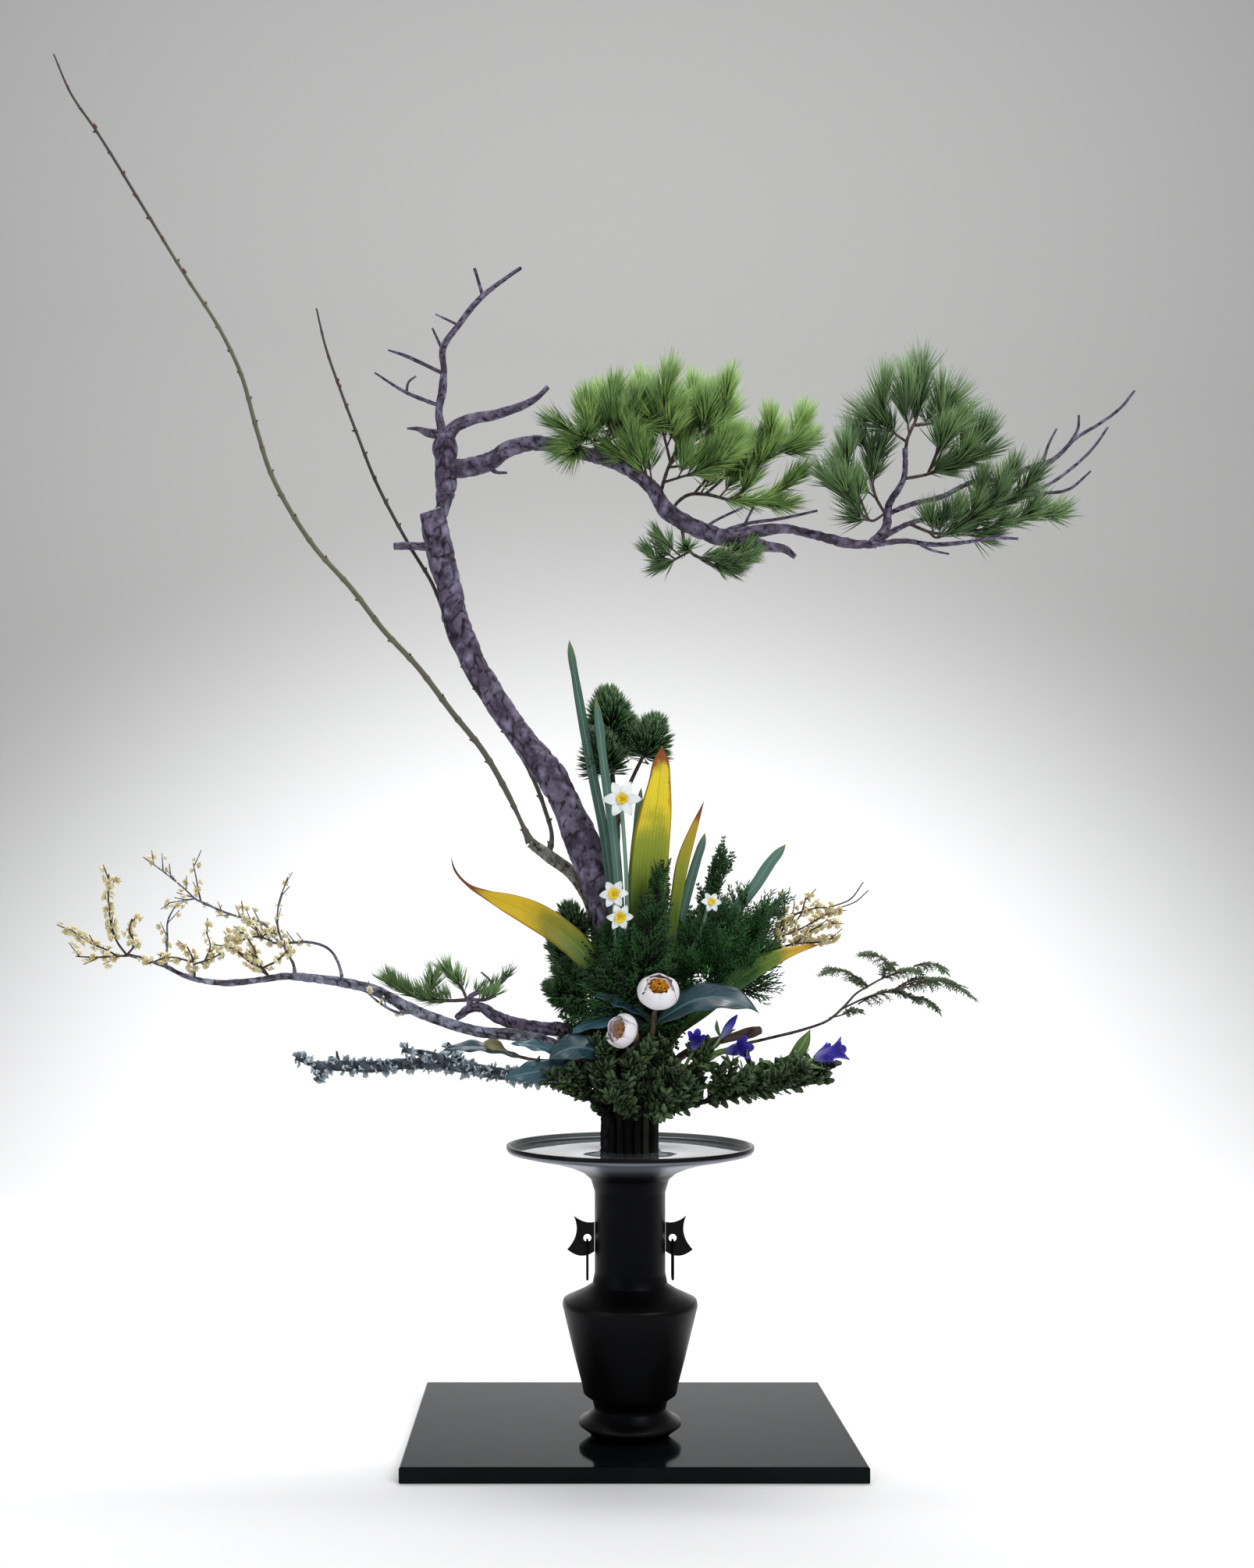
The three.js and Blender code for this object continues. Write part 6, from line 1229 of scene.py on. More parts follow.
# %% Wintersweet flower
def star_pattern(rings):
    """A flower 1 wide: each ring is count, length, width, rise in degrees and turn of its petals"""
    flower = Pattern()
    petal = small_leaf([[0, 0.35], [0.6, 1.0]], cup=0.5, droop=-0.15, thick=0.12)
    for count, length, width, rise, first in rings:
        up = math.radians(rise)
        x, y, z = (petal.corners * [length, width, length]).T
        reach, lift = x * math.cos(up) - z * math.sin(up), x * math.sin(up) + z * math.cos(up)
        for turn in turns_of(count) + first:
            flower.add(np.stack([reach * math.cos(turn) - y * math.sin(turn),
                                 reach * math.sin(turn) + y * math.cos(turn), lift], axis=1),
                       petal.faces, *petal.marks.T)
    return flower


sweet_flower = star_pattern([(6, 0.55, 0.32, 28, 0), (3, 0.4, 0.3, 62, 0.5)])
sweet_petal = Finish("wintersweet_bloom", roughness=0.42, specular_ior_level=0.4, subsurface_weight=0.15,
                     subsurface_scale=0.002)
along, _, tint = sweet_petal.marks()
sweet_petal.set(
    base_color=sweet_petal.mix((1 - along.between(0.0, 0.3)) * 0.4,
                               sweet_petal.mix(tint, "f2dea0", "fdf6d2"), "d9b878"),
    normal=sweet_petal.bump(sweet_petal.noise(500, 2), 0.08))
sweet_finishes = [twig_bark, sweet_petal, bud_finish]
print("wintersweet flower:", len(sweet_flower.corners), "corners")


# %% Flowering twigs
def flower_twigs(piece, lines, per_mm, size, dice):
    """Twigs with flowers and buds seated on their bark"""
    for stations in lines:
        points = twig(piece, np.array(stations, float) * [1, 1, 1, 0.8], 1.8, 7)
        run = gaps_of(points).sum() / MM
        extra = side_shoots(points, max(1, int(run / 15)), 17, dice)
        for side in extra:
            twig(piece, tapered(side, 0.8, 0.5), 3, 4)
        for line, long in [(points, run)] + [(side, 17) for side in extra]:
            count = max(2, int(long * per_mm))
            k = ((0.2 + 0.8 * dice.random(count)) * (len(line) - 1)).astype(int)
            ahead = unit(np.gradient(line, axis=0)[k])
            side = cross_ways(ahead, count, dice)
            aim = unit(side + ahead * 0.35 + np.array([0, 0, -0.15]))
            o = dice.random(count) < 0.72
            feet = line[k] + side * 0.9 * MM
            wide = size * MM * dice.uniform(0.75, 1.15, (count, 1))
            tone = dice.random(count)
            spread(piece, sweet_flower, (feet + aim * wide * 0.12)[o], cross_ways(aim, count, dice)[o],
                   aim[o], wide[o], tone[o], 1)
            spread(piece, BUD, feet[~o], aim[~o], side[~o], (wide * [0.42, 0.3, 0.3])[~o], tone[~o], 1)


sweet_main = column(
    OUTER_RING, 11, 355, [-44, -22, 388, 4.6], [-68, -27, 411, 5], [-93, -30, 422, 5.5],
    [-116, -32, 425, 6], [-163, -34, 431, 5.8], [-194, -35, 441, 5.6], [-225, -35, 454, 5.6],
    [-257, -34, 470, 5.8], [-288, -32, 478, 5], [-320, -29, 482, 4.1], [-344, -26, 484, 3.7],
    [-376, -22, 480, 3.3], [-408, -18, 477, 3], [-431, -15, 479, 2.7], [-453, -12, 485, 2.5],
    [-472, -9, 494, 2.2], [-490, -6, 500, 2], [-512, -3, 506, 1.7])
sweet_thin = [
    [[-289, -32, 478, 2.4], [-292, -26, 492, 2], [-304, -18, 511, 1.9], [-323, -10, 518, 1.8],
     [-348, 0, 518, 1.8], [-369, 6, 520, 1.8], [-370, 12, 531, 1.7], [-379, 16, 539, 1.7],
     [-396, 20, 543, 1.7], [-416, 22, 549, 1.6], [-437, 25, 558, 1.5], [-450, 27, 564, 1.4],
     [-460, 30, 573, 1.2], [-480, 34, 589, 1.1], [-507, 40, 608, 0.8]],
    [[-471, -9, 493, 1.8], [-471, -4, 520, 1.4], [-472, 2, 540, 1.2], [-466, 8, 556, 0.8]],
    [[-337, -27, 483, 3], [-341, -14, 496, 2], [-350, -6, 510, 1.6], [-357, -14, 536, 1.3],
     [-356, -16, 554, 1.1], [-346, -18, 584, 0.8]],
    [[-214, -35, 449, 3], [-232, -42, 448, 2], [-249, -46, 457, 1.7], [-262, -50, 468, 1]],
    [[-444, 26, 561, 1.2], [-446, 18, 581, 1], [-448, 10, 600, 0.8]],
    [[-450, 27, 564, 1.2], [-466, 34, 562, 1], [-481, 40, 560, 0.8]],
]
sweet_bark = bark_finish("wintersweet_bark", "222023", "46434a", "72748a", "b0b6cc", 1.0, 0.3)
dice = np.random.default_rng(40)
sweet = Piece()
rod(sweet, sweet_main, 2, 14, relief=bark_relief(6, 0.6, 1.2))
flower_twigs(sweet, sweet_thin, 0.05, 8.5, dice)
sweet.make("wintersweet_branch_wood", [sweet_bark, *sweet_finishes[1:]],
           "wintersweet_left_branch")

SWEET_SPRAYS = {
    "tip": [
        [[-508, -4, 505, 1.8], [-526, -6, 504, 1.4], [-543, -10, 503, 1.2], [-561, -14, 504, 0.9]],
        [[-521, -5, 504, 1.6], [-535, 0, 511, 1.3], [-548, 4, 516, 1.2], [-575, 12, 532, 0.9]],
        [[-512, -4, 505, 1.7], [-520, -12, 519, 1.4], [-523, -18, 532, 1.3], [-524, -28, 555, 1.1],
         [-521, -38, 586, 0.8]],
        [[-512, -5, 505, 1.6], [-507, 6, 517, 1.3], [-514, 12, 530, 1.1], [-513, 18, 543, 0.9]]],
    "middle": [
        [[-441, -14, 482, 1.8], [-440, -24, 500, 1.5], [-445, -34, 516, 0.9]],
        [[-440, -23, 498, 1.4], [-462, -30, 503, 1.1], [-484, -34, 496, 0.9]],
        [[-440, -22, 496, 1.4], [-424, -34, 500, 1.2], [-408, -46, 506, 1]],
        [[-426, -33, 500, 1.2], [-418, -46, 514, 1], [-420, -56, 529, 0.8]]],
    "inner": [
        [[-362, -24, 481, 2], [-372, -36, 496, 1.6], [-390, -46, 508, 1.2], [-402, -58, 516, 0.9]],
        [[-369, -33, 492, 1.5], [-352, -42, 500, 1.2], [-340, -50, 510, 0.9]],
        [[-372, -36, 496, 1.4], [-374, -50, 512, 1.2], [-384, -56, 528, 0.9]],
        [[-366, -28, 486, 1.4], [-384, -20, 498, 1.2], [-398, -12, 508, 0.9]]],
    "upper": [
        [[-366, 5, 520, 1.6], [-380, -4, 524, 1.4], [-396, -8, 521, 1], [-408, -10, 520, 0.9]],
        [[-378, -2, 523, 1.2], [-380, -12, 534, 1.1], [-392, -18, 544, 0.9]],
        [[-376, -1, 522, 1.2], [-366, -12, 530, 1.1], [-356, -24, 526, 0.9]]],
}
dice = np.random.default_rng(41)
for key, lines in SWEET_SPRAYS.items():
    piece = Piece()
    flower_twigs(piece, lines, 0.26, 9.5, dice)
    piece.make(f"wintersweet_{key}_flowers", sweet_finishes,
               f"wintersweet_spray_{key}")

right_main = column(
    OUTER_RING, 3, 366, [38, 34, 415, 3.2], [70, 36, 452, 2.8], [100, 34, 475, 2.6], [116, 33, 490, 2.4])
right_twigs = [
    [[116, 33, 490, 2.4], [138, 33, 506, 2.2], [154, 34, 521, 2], [162, 35, 535, 1.8],
     [171, 36, 546, 1.5], [188, 37, 553, 1.2], [214, 39, 556, 1]],
    [[142, 33, 510, 1.7], [173, 26, 517, 1.3], [201, 20, 519, 0.9]],
    [[156, 34, 524, 1.6], [182, 42, 534, 1.3], [209, 50, 549, 1.1], [222, 52, 555, 0.9]],
    [[136, 33, 505, 1.6], [158, 38, 513, 1.3], [184, 42, 519, 1.1], [217, 46, 523, 0.8]],
    [[148, 33, 514, 1.5], [158, 28, 536, 1.2], [162, 26, 562, 0.9]],
    [[160, 34, 532, 1.5], [178, 32, 546, 1.2], [184, 30, 566, 0.9]],
    [[172, 27, 517, 1.3], [190, 24, 532, 1.1], [212, 22, 540, 0.9]],
]
piece = Piece()
twig(piece, right_main)
flower_twigs(piece, right_twigs, 0.3, 9, dice)
for line in [[[212, 39, 556, 0.9], [232, 41, 564, 0.8], [246, 42, 582, 0.6]],
             [[221, 52, 555, 0.8], [240, 55, 562, 0.7], [254, 57, 574, 0.6]]]:
    twig(piece, line, 2, 6)
piece.make("wintersweet_right_flowers", sweet_finishes, "wintersweet_right")

# %% [markdown]
# ## Lichen
# An old branch under a crust of blue-grey lichen. The lichen is hundreds of small frilled sheets that
# stand off the bark on all sides, with bare dark bark between them and at the broken tip.

# %% Lichen finish
u, v = np.meshgrid(np.linspace(0, 1, 4), np.linspace(-1, 1, 5), indexing="ij")
RUFFLES = [Pattern().add(*sheet_shape(np.stack([
    u * (1 - 0.25 * v**2) + 0.06 * np.sin(5 * v + k), v * np.sin(0.35 + u * 2.3) * 0.6,
    0.22 * u * np.sin(3.4 * v + 1.7 * k) + 0.3 * u**2 + 0.1 * np.cos(7 * v)], axis=2), 0.07))
    for k in range(3)]
lichen_skin = Finish("lichen", roughness=0.9, specular_ior_level=0.15)
along, across, tint = lichen_skin.marks()
speck = lichen_skin.noise(300, 4, 0.65)
rim = along.between(0.45, 1.0) + across.size().between(0.6, 1.0)
lichen_skin.set(
    base_color=lichen_skin.mix(rim * 0.45 + speck * 0.25, lichen_skin.mix(tint, "506068", "92a6b0"),
                               "e2edf4"),
    normal=lichen_skin.bump(speck, 0.3))
lichen_bark = bark_finish("lichen_bark", "16191b", "2f353a", "56606a", "7c8794", 0.6, 0.3)
print(len(RUFFLES), "kinds of lichen flake")

# %% Lichen branch
lichen_line = column(
    OUTER_RING, 9, 345, [-42, 8, 366, 4.4], [-62, 11, 375, 5], [-86, 11, 378, 5.5], [-110, 12, 381, 6],
    [-149, 12, 386, 6.4], [-187, 12, 393, 6.4], [-226, 11, 394, 6], [-263, 10, 391, 6],
    [-302, 9, 392, 5.5], [-322, 8, 392, 4.6])
BARE_TWIG = 3
lichen_twigs = [
    [[-320, 8, 392, 4], [-331, 6, 396, 3], [-342, 4, 400, 2.4]],
    [[-311, 9, 391, 4], [-318, 12, 383, 3.6], [-324, 14, 377, 2.4]],
    [[-298, 9, 393, 2.6], [-300, 4, 407, 1.2]],
    [[-180, 11, 394, 5], [-209, 6, 404, 4.4], [-232, 2, 409, 3]],
    [[-172, 13, 392, 3], [-182, 18, 406, 2.6], [-188, 20, 415, 2.2]],
]
dice = np.random.default_rng(51)
lichen = Piece()
for n, stations in enumerate([lichen_line, *lichen_twigs]):
    points = rod(lichen, stations, 2, 14 if n == 0 else 9, relief=bark_relief(4, 0.7, 1.0))
    if n == BARE_TWIG:
        continue
    _, radii = flow(stations, 2)
    first = 0.42 if n == 0 else 0.0
    count = 273 if n == 0 else 26
    k = np.searchsorted(np.linspace(0, 1, len(points)), first + (0.99 - first) * dice.random(count))
    ahead = unit(np.gradient(points, axis=0)[k])
    out = cross_ways(ahead, count, dice)
    feet = points[k] + out * radii[k, None] * 0.75
    aim = unit(out * 0.75 - ahead * dice.uniform(-0.6, 1.0, (count, 1)) + dice.normal(0, 0.3, (count, 3)))
    size = MM * dice.uniform(4, 8.5, (count, 1)) * [1, 0.9, 1]
    kind = dice.integers(0, 3, count)
    for m, pattern in enumerate(RUFFLES):
        c = kind == m
        upper = out + dice.normal(0, 0.5, (count, 3))
        spread(lichen, pattern, feet[c], aim[c], upper[c], size[c], dice.random(c.sum()), 1)
lichen.make("lichen_branch_crust", [lichen_bark, lichen_skin], "lichen_branch")

# %% [markdown]
# ## The cut stub
# A short length of bare brown wood, its end rounded off by a knife.

# %% Stub
stub_bark = bark_finish("stub_bark", "3a2f2c", "57463f", "7d6a60", "8d8088", 0.4, 0.25)
stub = Piece()
rod(stub, column(OUTER_RING, 1, 362, [46, 10, 396, 4.3], [72, 9, 412, 4.5], [104, 6, 421, 4.6],
                 [132, 4, 428.3, 4.5], [134.4, 4, 428.9, 3.6], [135, 4, 429, 2.4]), 1.2, 16,
    relief=bark_relief(9, 0.3, 1.0, 0.3))
stub.make("cut_stub_wood", [stub_bark], "cut_stub")

# %% [markdown]
# ## Flat fronds
# Hemlock and cypress both carry flat fronds, but made differently. A hemlock frond is a twig with side
# twigs, all set with small flat needles in two rows. A cypress frond has no needles: scale-covered
# twiglets fork again and again in one plane, so it is drawn once as a forked pattern.

# %% Hemlock
hemlock_green = leaf_finish("hemlock_leaf", "22381f", "557848", tip="8a9f6e", tip_from=0.85, rib="93a783",
                            gloss=0.5, mottle=0.5)
FROND_FACE = np.array([0.0, -0.5, 0.9])
LEAFLET = small_leaf([[0, 0.3], [0.35, 1], [0.8, 0.75]], cup=-0.1, droop=0.06, thick=0.14)
hemlock_line = column(
    OUTER_RING, 0, 348, [50, -6, 384, 2.8], [78, -11, 403, 2.5], [110, -15, 414, 2.4],
    [142, -18, 422, 2.2], [173, -20, 430, 2], [199, -22, 440, 1.8], [213, -23, 452, 1.7],
    [227, -24, 467, 1.5], [240, -25, 475, 1.4], [260, -26, 485, 1.3], [277, -27, 489, 1.1])
hemlock_twigs = [
    [[210, -23, 450, 1.4], [239, -30, 464, 1.4], [265, -38, 471, 1.3], [281, -44, 475, 1]],
    [[200, -22, 442, 1.3], [214, -15, 445, 1.1], [228, -9, 450, 0.8]],
]
# Each frond: where it starts, its tip, the width across it, all in millimetres
hemlock_fronds = [
    [[238, -25, 474], [187, -36, 489], 22], [[268, -26, 487], [231, -14, 508], 20],
    [[252, -25, 481], [266, -12, 498], 14], [[284, -26, 494], [318, -30, 489], 20],
    [[256, -26, 482], [292, -34, 488], 18], [[270, -37, 474], [341, -48, 466], 26],
    [[262, -34, 470], [312, -26, 478], 20], [[228, -26, 456], [288, -30, 464], 22],
    [[280, -44, 475], [326, -54, 474], 16], [[276, -40, 463], [306, -46, 450], 14],
    [[238, -24, 472], [222, -18, 482], 10], [[214, -15, 445], [236, -8, 449], 9],
]


def leaflets(piece, line, length, dice, start=0.1):
    """Two rows of small flat needles on a line of points"""
    count = max(4, int(gaps_of(line).sum() / MM / 2.3))
    at = np.linspace(start, 1, count) * (len(line) - 1)
    k = np.minimum(at.astype(int), len(line) - 2)
    feet = line[k] + (line[k + 1] - line[k]) * (at - k)[:, None]
    ahead = unit(np.gradient(line, axis=0)[k])
    side = unit(np.cross(ahead, FROND_FACE))
    tone = dice.random() * 0.6 + dice.random(count) * 0.4
    for sign in (-1, 1):
        aim = ahead * 0.75 + side * sign * dice.uniform(0.6, 1.0, (count, 1))
        aim = aim + dice.normal(0, 0.12, (count, 3))
        long = length * MM * (0.65 + 0.35 * np.sin(np.pi * at / len(line)))[:, None]
        spread(piece, LEAFLET, feet, aim, FROND_FACE, long * [1, 0.26, 0.26], tone, 1)


# %% Hemlock spray
hemlock = Piece()
twig(hemlock, np.array(hemlock_line) * [1, 1, 1, 0.75])
dice = np.random.default_rng(61)
for line in hemlock_twigs:
    twig(hemlock, np.array(line) * [1, 1, 1, 0.75], 2, 7)
for start, tip, width in hemlock_fronds:
    start, ahead = np.array(start, float), np.subtract(tip, start)
    sag = np.array([0, 0, -0.14 * np.linalg.norm(ahead)])
    s = np.linspace(0, 1, 12)[:, None]
    spine = start + ahead * s - sag * np.sin(np.pi * s) * 1.1 + sag * s**3 * 0.5
    ahead = unit(ahead)
    side = unit(np.cross(ahead, FROND_FACE))
    twig(hemlock, tapered(spine * MM, 1.1, 0.4), 2, 5)
    leaflets(hemlock, spine * MM, 6.5, dice, 0.3)
    for at, sign in [(j / 9, sign) for j in range(1, 9) for sign in (-1, 1)]:
        long = width * 0.5 * math.sin(math.pi * (0.15 + 0.8 * at)) * dice.uniform(0.8, 1.2)
        way = unit(ahead * 0.8 + side * sign * 0.7 + [0, 0, -0.12])
        t = np.linspace(0, 1, 5)[:, None]
        foot = spine[int(at * 11)] + ahead * dice.uniform(-1.5, 1.5)
        branch = (foot + way * t * long + [0, 0, -1.0] * t**2 * long * 0.2) * MM
        twig(hemlock, tapered(branch, 0.7, 0.4), 3, 4)
        leaflets(hemlock, branch, 5.5, dice)
hemlock.make("hemlock_fronds", [twig_bark, hemlock_green], "hemlock_spray")

# %% Cypress fronds
def forked_frond(pairs, forks, dice):
    """A flat frond pattern, 1 long and about 1 wide, of forked twiglets"""
    frond = Pattern()

    def twiglet(start, end, thick, base):
        corners, faces, along, across = spindle(start, end, thick, 3, 0.45, 0.6)
        frond.add(corners, faces, base + along * (1 - base), across)

    twiglet([0, 0, 0], [1, 0, -0.12], 0.032, 0.0)
    for at, sign in [(0.1 + 0.82 * k / pairs, sign) for k in range(pairs) for sign in (-1, 1)]:
        long = (0.5 - 0.28 * at) * (0.55 + 0.45 * math.sin(math.pi * min(1, at * 1.6 + 0.25)))
        foot = np.array([at + (0.02 if sign > 0 else 0), 0, -0.12 * at**2])
        way = unit(np.array([0.72, 0.7 * sign, dice.uniform(-0.12, 0.2)]))
        twiglet(foot, foot + way * long, 0.032, 0.25)
        for share, turn in [(0.2 + 0.7 * j / forks, turn) for j in range(forks) for turn in (-1, 1)]:
            aim = unit(way + np.array([0.25, 0.75 * turn, dice.uniform(-0.15, 0.2)]))
            start = foot + way * long * share
            twiglet(start, start + aim * long * (0.55 - 0.25 * share), 0.03, 0.55)
    return frond


dice = np.random.default_rng(71)
FRONDS = [forked_frond(6, 2, dice) for _ in range(4)]
cypress_green = leaf_finish("cypress_leaf", "09220e", "2c5a2a", tip="5f8548", tip_from=0.9, foot="0c1a10",
                            gloss=0.5, mottle=0.6)
print(len(FRONDS), "kinds of frond")


# %% Cypress
def frond_stem(piece, stations, count, dice, start):
    """Sets forked fronds round a stem, smaller and closer to it towards its tip"""
    points = twig(piece, stations, 2.5, 8)
    share = dice.random(count)
    k = ((start + (0.98 - start) * share) * (len(points) - 1)).astype(int)
    ahead = unit(np.gradient(points, axis=0)[k])
    out = cross_ways(ahead, count, dice)
    angle = np.radians(72 - 50 * share + dice.normal(0, 8, count))[:, None]
    aim = ahead * np.cos(angle) + out * np.sin(angle) + [0, 0, 0.15]
    size = 50 * MM * dice.uniform(0.75, 1.1, (count, 1)) * (1.3 - 0.75 * share[:, None]) * [1, 0.95, 1]
    kind = dice.integers(0, len(FRONDS), count)
    face = unit(out + dice.normal(0, 0.45, (count, 3)))
    for m, pattern in enumerate(FRONDS):
        c = kind == m
        spread(piece, pattern, points[k[c]], aim[c], face[c], size[c], dice.random(c.sum()), 1)


CYPRESS = {
    "cypress_centre": (88, [column(
        INNER_RING, 10, 392, [5, -30, 430, 3.2], [12, -46, 480, 2.8], [18, -50, 530, 2.4],
        [26, -48, 570, 2], [29, -46, 594, 1.4]),
        [[4, -30, 424, 2.4], [-12, -38, 458, 2.2], [-22, -38, 496, 1.8], [-24, -36, 528, 1.4]]]),
    "cypress_left": (75, [column(
        INNER_RING, 7, 366, [-32, -10, 404, 3.2], [-46, -12, 446, 2.6], [-52, -12, 490, 2.2],
        [-52, -14, 524, 1.6])]),
    "cypress_right": (112, [column(
        INNER_RING, 2, 392, [20, 22, 430, 3.2], [48, 24, 480, 2.8], [72, 24, 530, 2.4], [90, 22, 576, 2],
        [98, 20, 612, 1.4]),
        [[19, 21, 424, 2.6], [18, 42, 480, 2.6], [30, 50, 550, 2.2], [34, 50, 596, 1.6]]]),
}
for name, (count, lines) in CYPRESS.items():
    piece = Piece()
    for line in lines:
        frond_stem(piece, line, count, dice, 0.5 if len(line) > 5 else 0.2)
    piece.make(name + "_fronds", [wet_stem, cypress_green], name)

# %% Juniper
juniper_green = leaf_finish("juniper_leaf", "0f2e12", "2f6a2c", tip="7d9a52", tip_from=0.9, gloss=0.5,
                            mottle=0.6)
PLUME = Pattern().add(*spindle([0, 0, 0], [1, 0, -0.05], 0.03, 4, 0.4))
for k in range(12):
    turn = math.pi * 2 * k * 0.382
    foot = np.array([0.06 + 0.86 * k / 12, 0, 0])
    PLUME.add(*spindle(foot, foot + [0.2, 0.15 * math.cos(turn), 0.15 * math.sin(turn)], 0.028, 3))
juniper = Piece()
twig(juniper, column(OUTER_RING, 2, 378, [42, 16, 424, 3], [72, 14, 462, 2.6]), 2.5, 8)
for line in [
    [[66, 14, 454, 2.6], [72, 14, 462, 2.4], [104, 10, 494, 2], [134, 6, 520, 1.4]],
    [[74, 14, 464, 1.8], [100, 0, 470, 1.5], [128, -6, 486, 1.1]],
    [[84, 13, 474, 1.8], [108, 16, 512, 1.5], [128, 18, 544, 1.1]],
    [[66, 14, 456, 1.8], [62, -2, 484, 1.5], [70, -12, 512, 1.1]],
    [[76, 13, 466, 1.8], [88, -4, 498, 1.5], [100, -10, 526, 1.1]],
    [[70, 14, 460, 1.8], [78, -8, 476, 1.5], [88, -18, 494, 1.1]],
]:
    points = twig(juniper, line, 2.5, 7)
    for side in [points, *side_shoots(points, 9, 30, dice, 0.3)]:
        needle_brush(juniper, side, 16, 31, 26, dice, (50, 15), 0.1, pattern=PLUME, pairs=0)
juniper.make("juniper_plumes", [wet_stem, juniper_green], "juniper_right")

# %% [markdown]
# ## Boxwood
# Small oval leaves sit in close pairs on thin twigs. They fill the space above the dish and hang a
# little over its edge. Several greens are needed, because old leaves are olive and young ones bright.

# %% Boxwood
box_green = leaf_finish("boxwood_leaf", "0a130e", "557049", tip="84935f", tip_from=0.95, rib="6f8656",
                        gloss=0.3, mottle=0.9, relief=0.05)
DISH_TOP = 338 * MM
BOX_LEAF = small_leaf([[0, 0.25], [0.4, 1.0], [0.85, 0.6]], cup=0.2, droop=0.15, thick=0.09)
BOX_STEMS = {
    "boxwood_left": [
        column(OUTER_RING, 12, 335, [-34, -30, 356, 3], [-58, -36, 371, 2.6], [-84, -38, 382, 2]),
        [[-46, -33, 363, 1.7], [-58, -52, 374, 1.5], [-70, -66, 378, 1.3]],
        [[-30, -28, 354, 1.7], [-30, -52, 368, 1.5], [-34, -72, 376, 1.3]],
        [[-50, -34, 366, 1.7], [-56, -22, 370, 1.5], [-70, -14, 374, 1.3]],
        [[-40, -32, 358, 1.7], [-34, -46, 382, 1.5], [-26, -56, 402, 1.2]]],
    "boxwood_centre": [
        column(OUTER_RING, 14, 333, [2, -46, 347, 3], [14, -64, 352, 2.6], [30, -82, 350, 2]),
        [[4, -50, 348, 1.7], [-8, -70, 358, 1.5], [-12, -90, 362, 1.3]],
        [[12, -62, 351, 1.7], [30, -62, 366, 1.5], [44, -72, 378, 1.3]],
        [[10, -58, 350, 1.7], [34, -52, 352, 1.5], [56, -58, 358, 1.3]],
        [[4, -50, 348, 1.7], [4, -62, 378, 1.5], [8, -70, 406, 1.2]],
        [[12, -62, 351, 1.7], [28, -56, 380, 1.5], [34, -58, 410, 1.2]]],
    "boxwood_right": [
        column(OUTER_RING, 17, 335, [50, -34, 352, 3], [92, -44, 364, 2.6], [140, -46, 372, 2.3],
               [196, -44, 381, 1.8]),
        [[70, -39, 358, 1.7], [86, -60, 372, 1.5], [100, -78, 380, 1.3]],
        [[92, -44, 364, 1.7], [112, -28, 366, 1.5], [136, -14, 370, 1.3]],
        [[60, -36, 355, 1.7], [62, -44, 380, 1.5], [70, -50, 402, 1.2]],
        [[118, -45, 368, 1.7], [134, -62, 377, 1.5], [154, -74, 384, 1.3]],
        [[140, -46, 372, 1.7], [160, -30, 378, 1.5], [186, -22, 384, 1.3]]],
}
dice = np.random.default_rng(81)
for name, lines in BOX_STEMS.items():
    piece = Piece()
    large = 1.22 if name == "boxwood_right" else 1.08
    for n, stations in enumerate(lines):
        points = twig(piece, stations, 2.5, 7)
        points = points[points[:, 2] > DISH_TOP]
        for side in [points, *side_shoots(points, 11, 26, dice, 0.7, 0.05 if n == 0 else 0.2)]:
            if side[-1, 2] < side[0, 2] - 3 * MM:
                continue
            if side is not points:
                twig(piece, tapered(side, 0.9, 0.5), 3, 5)
            count = int(gaps_of(side).sum() / MM * 0.6 / large**2) + 4
            needle_brush(piece, side, count, 10.5 * large, 5.8 * large, dice, (80, 50), 0.25,
                         pattern=BOX_LEAF, pairs=0)
    piece.make(name + "_leaves", [wet_stem, box_green], name)

# %% [markdown]
# ## Narcissus
# Each plant is a sheath with strap leaves and hollow stalks. The leaves are blue-green with a waxy
# bloom and fine ribs along them. The flowers have six white tepals in two rings of three, and a short
# yellow cup with a frilled rim.

# %% Narcissus leaves
FACING = (0, -1, 0.1)
strap_green = leaf_finish("narcissus_leaf", "33524a", "5f8476", tip="6d7d4c", tip_from=0.97, rib="7fa08c",
                          foot="5c7350", gloss=0.42, mottle=0.5)


def stalk_end(flower, radius):
    """The last two stations of a flower's stalk, close behind its back"""
    heart, axis, back = flower
    out = unit(np.array(axis, float))
    return [[*(np.array(heart) - out * (back + 0.3 + run)), radius] for run in (4, 0)]


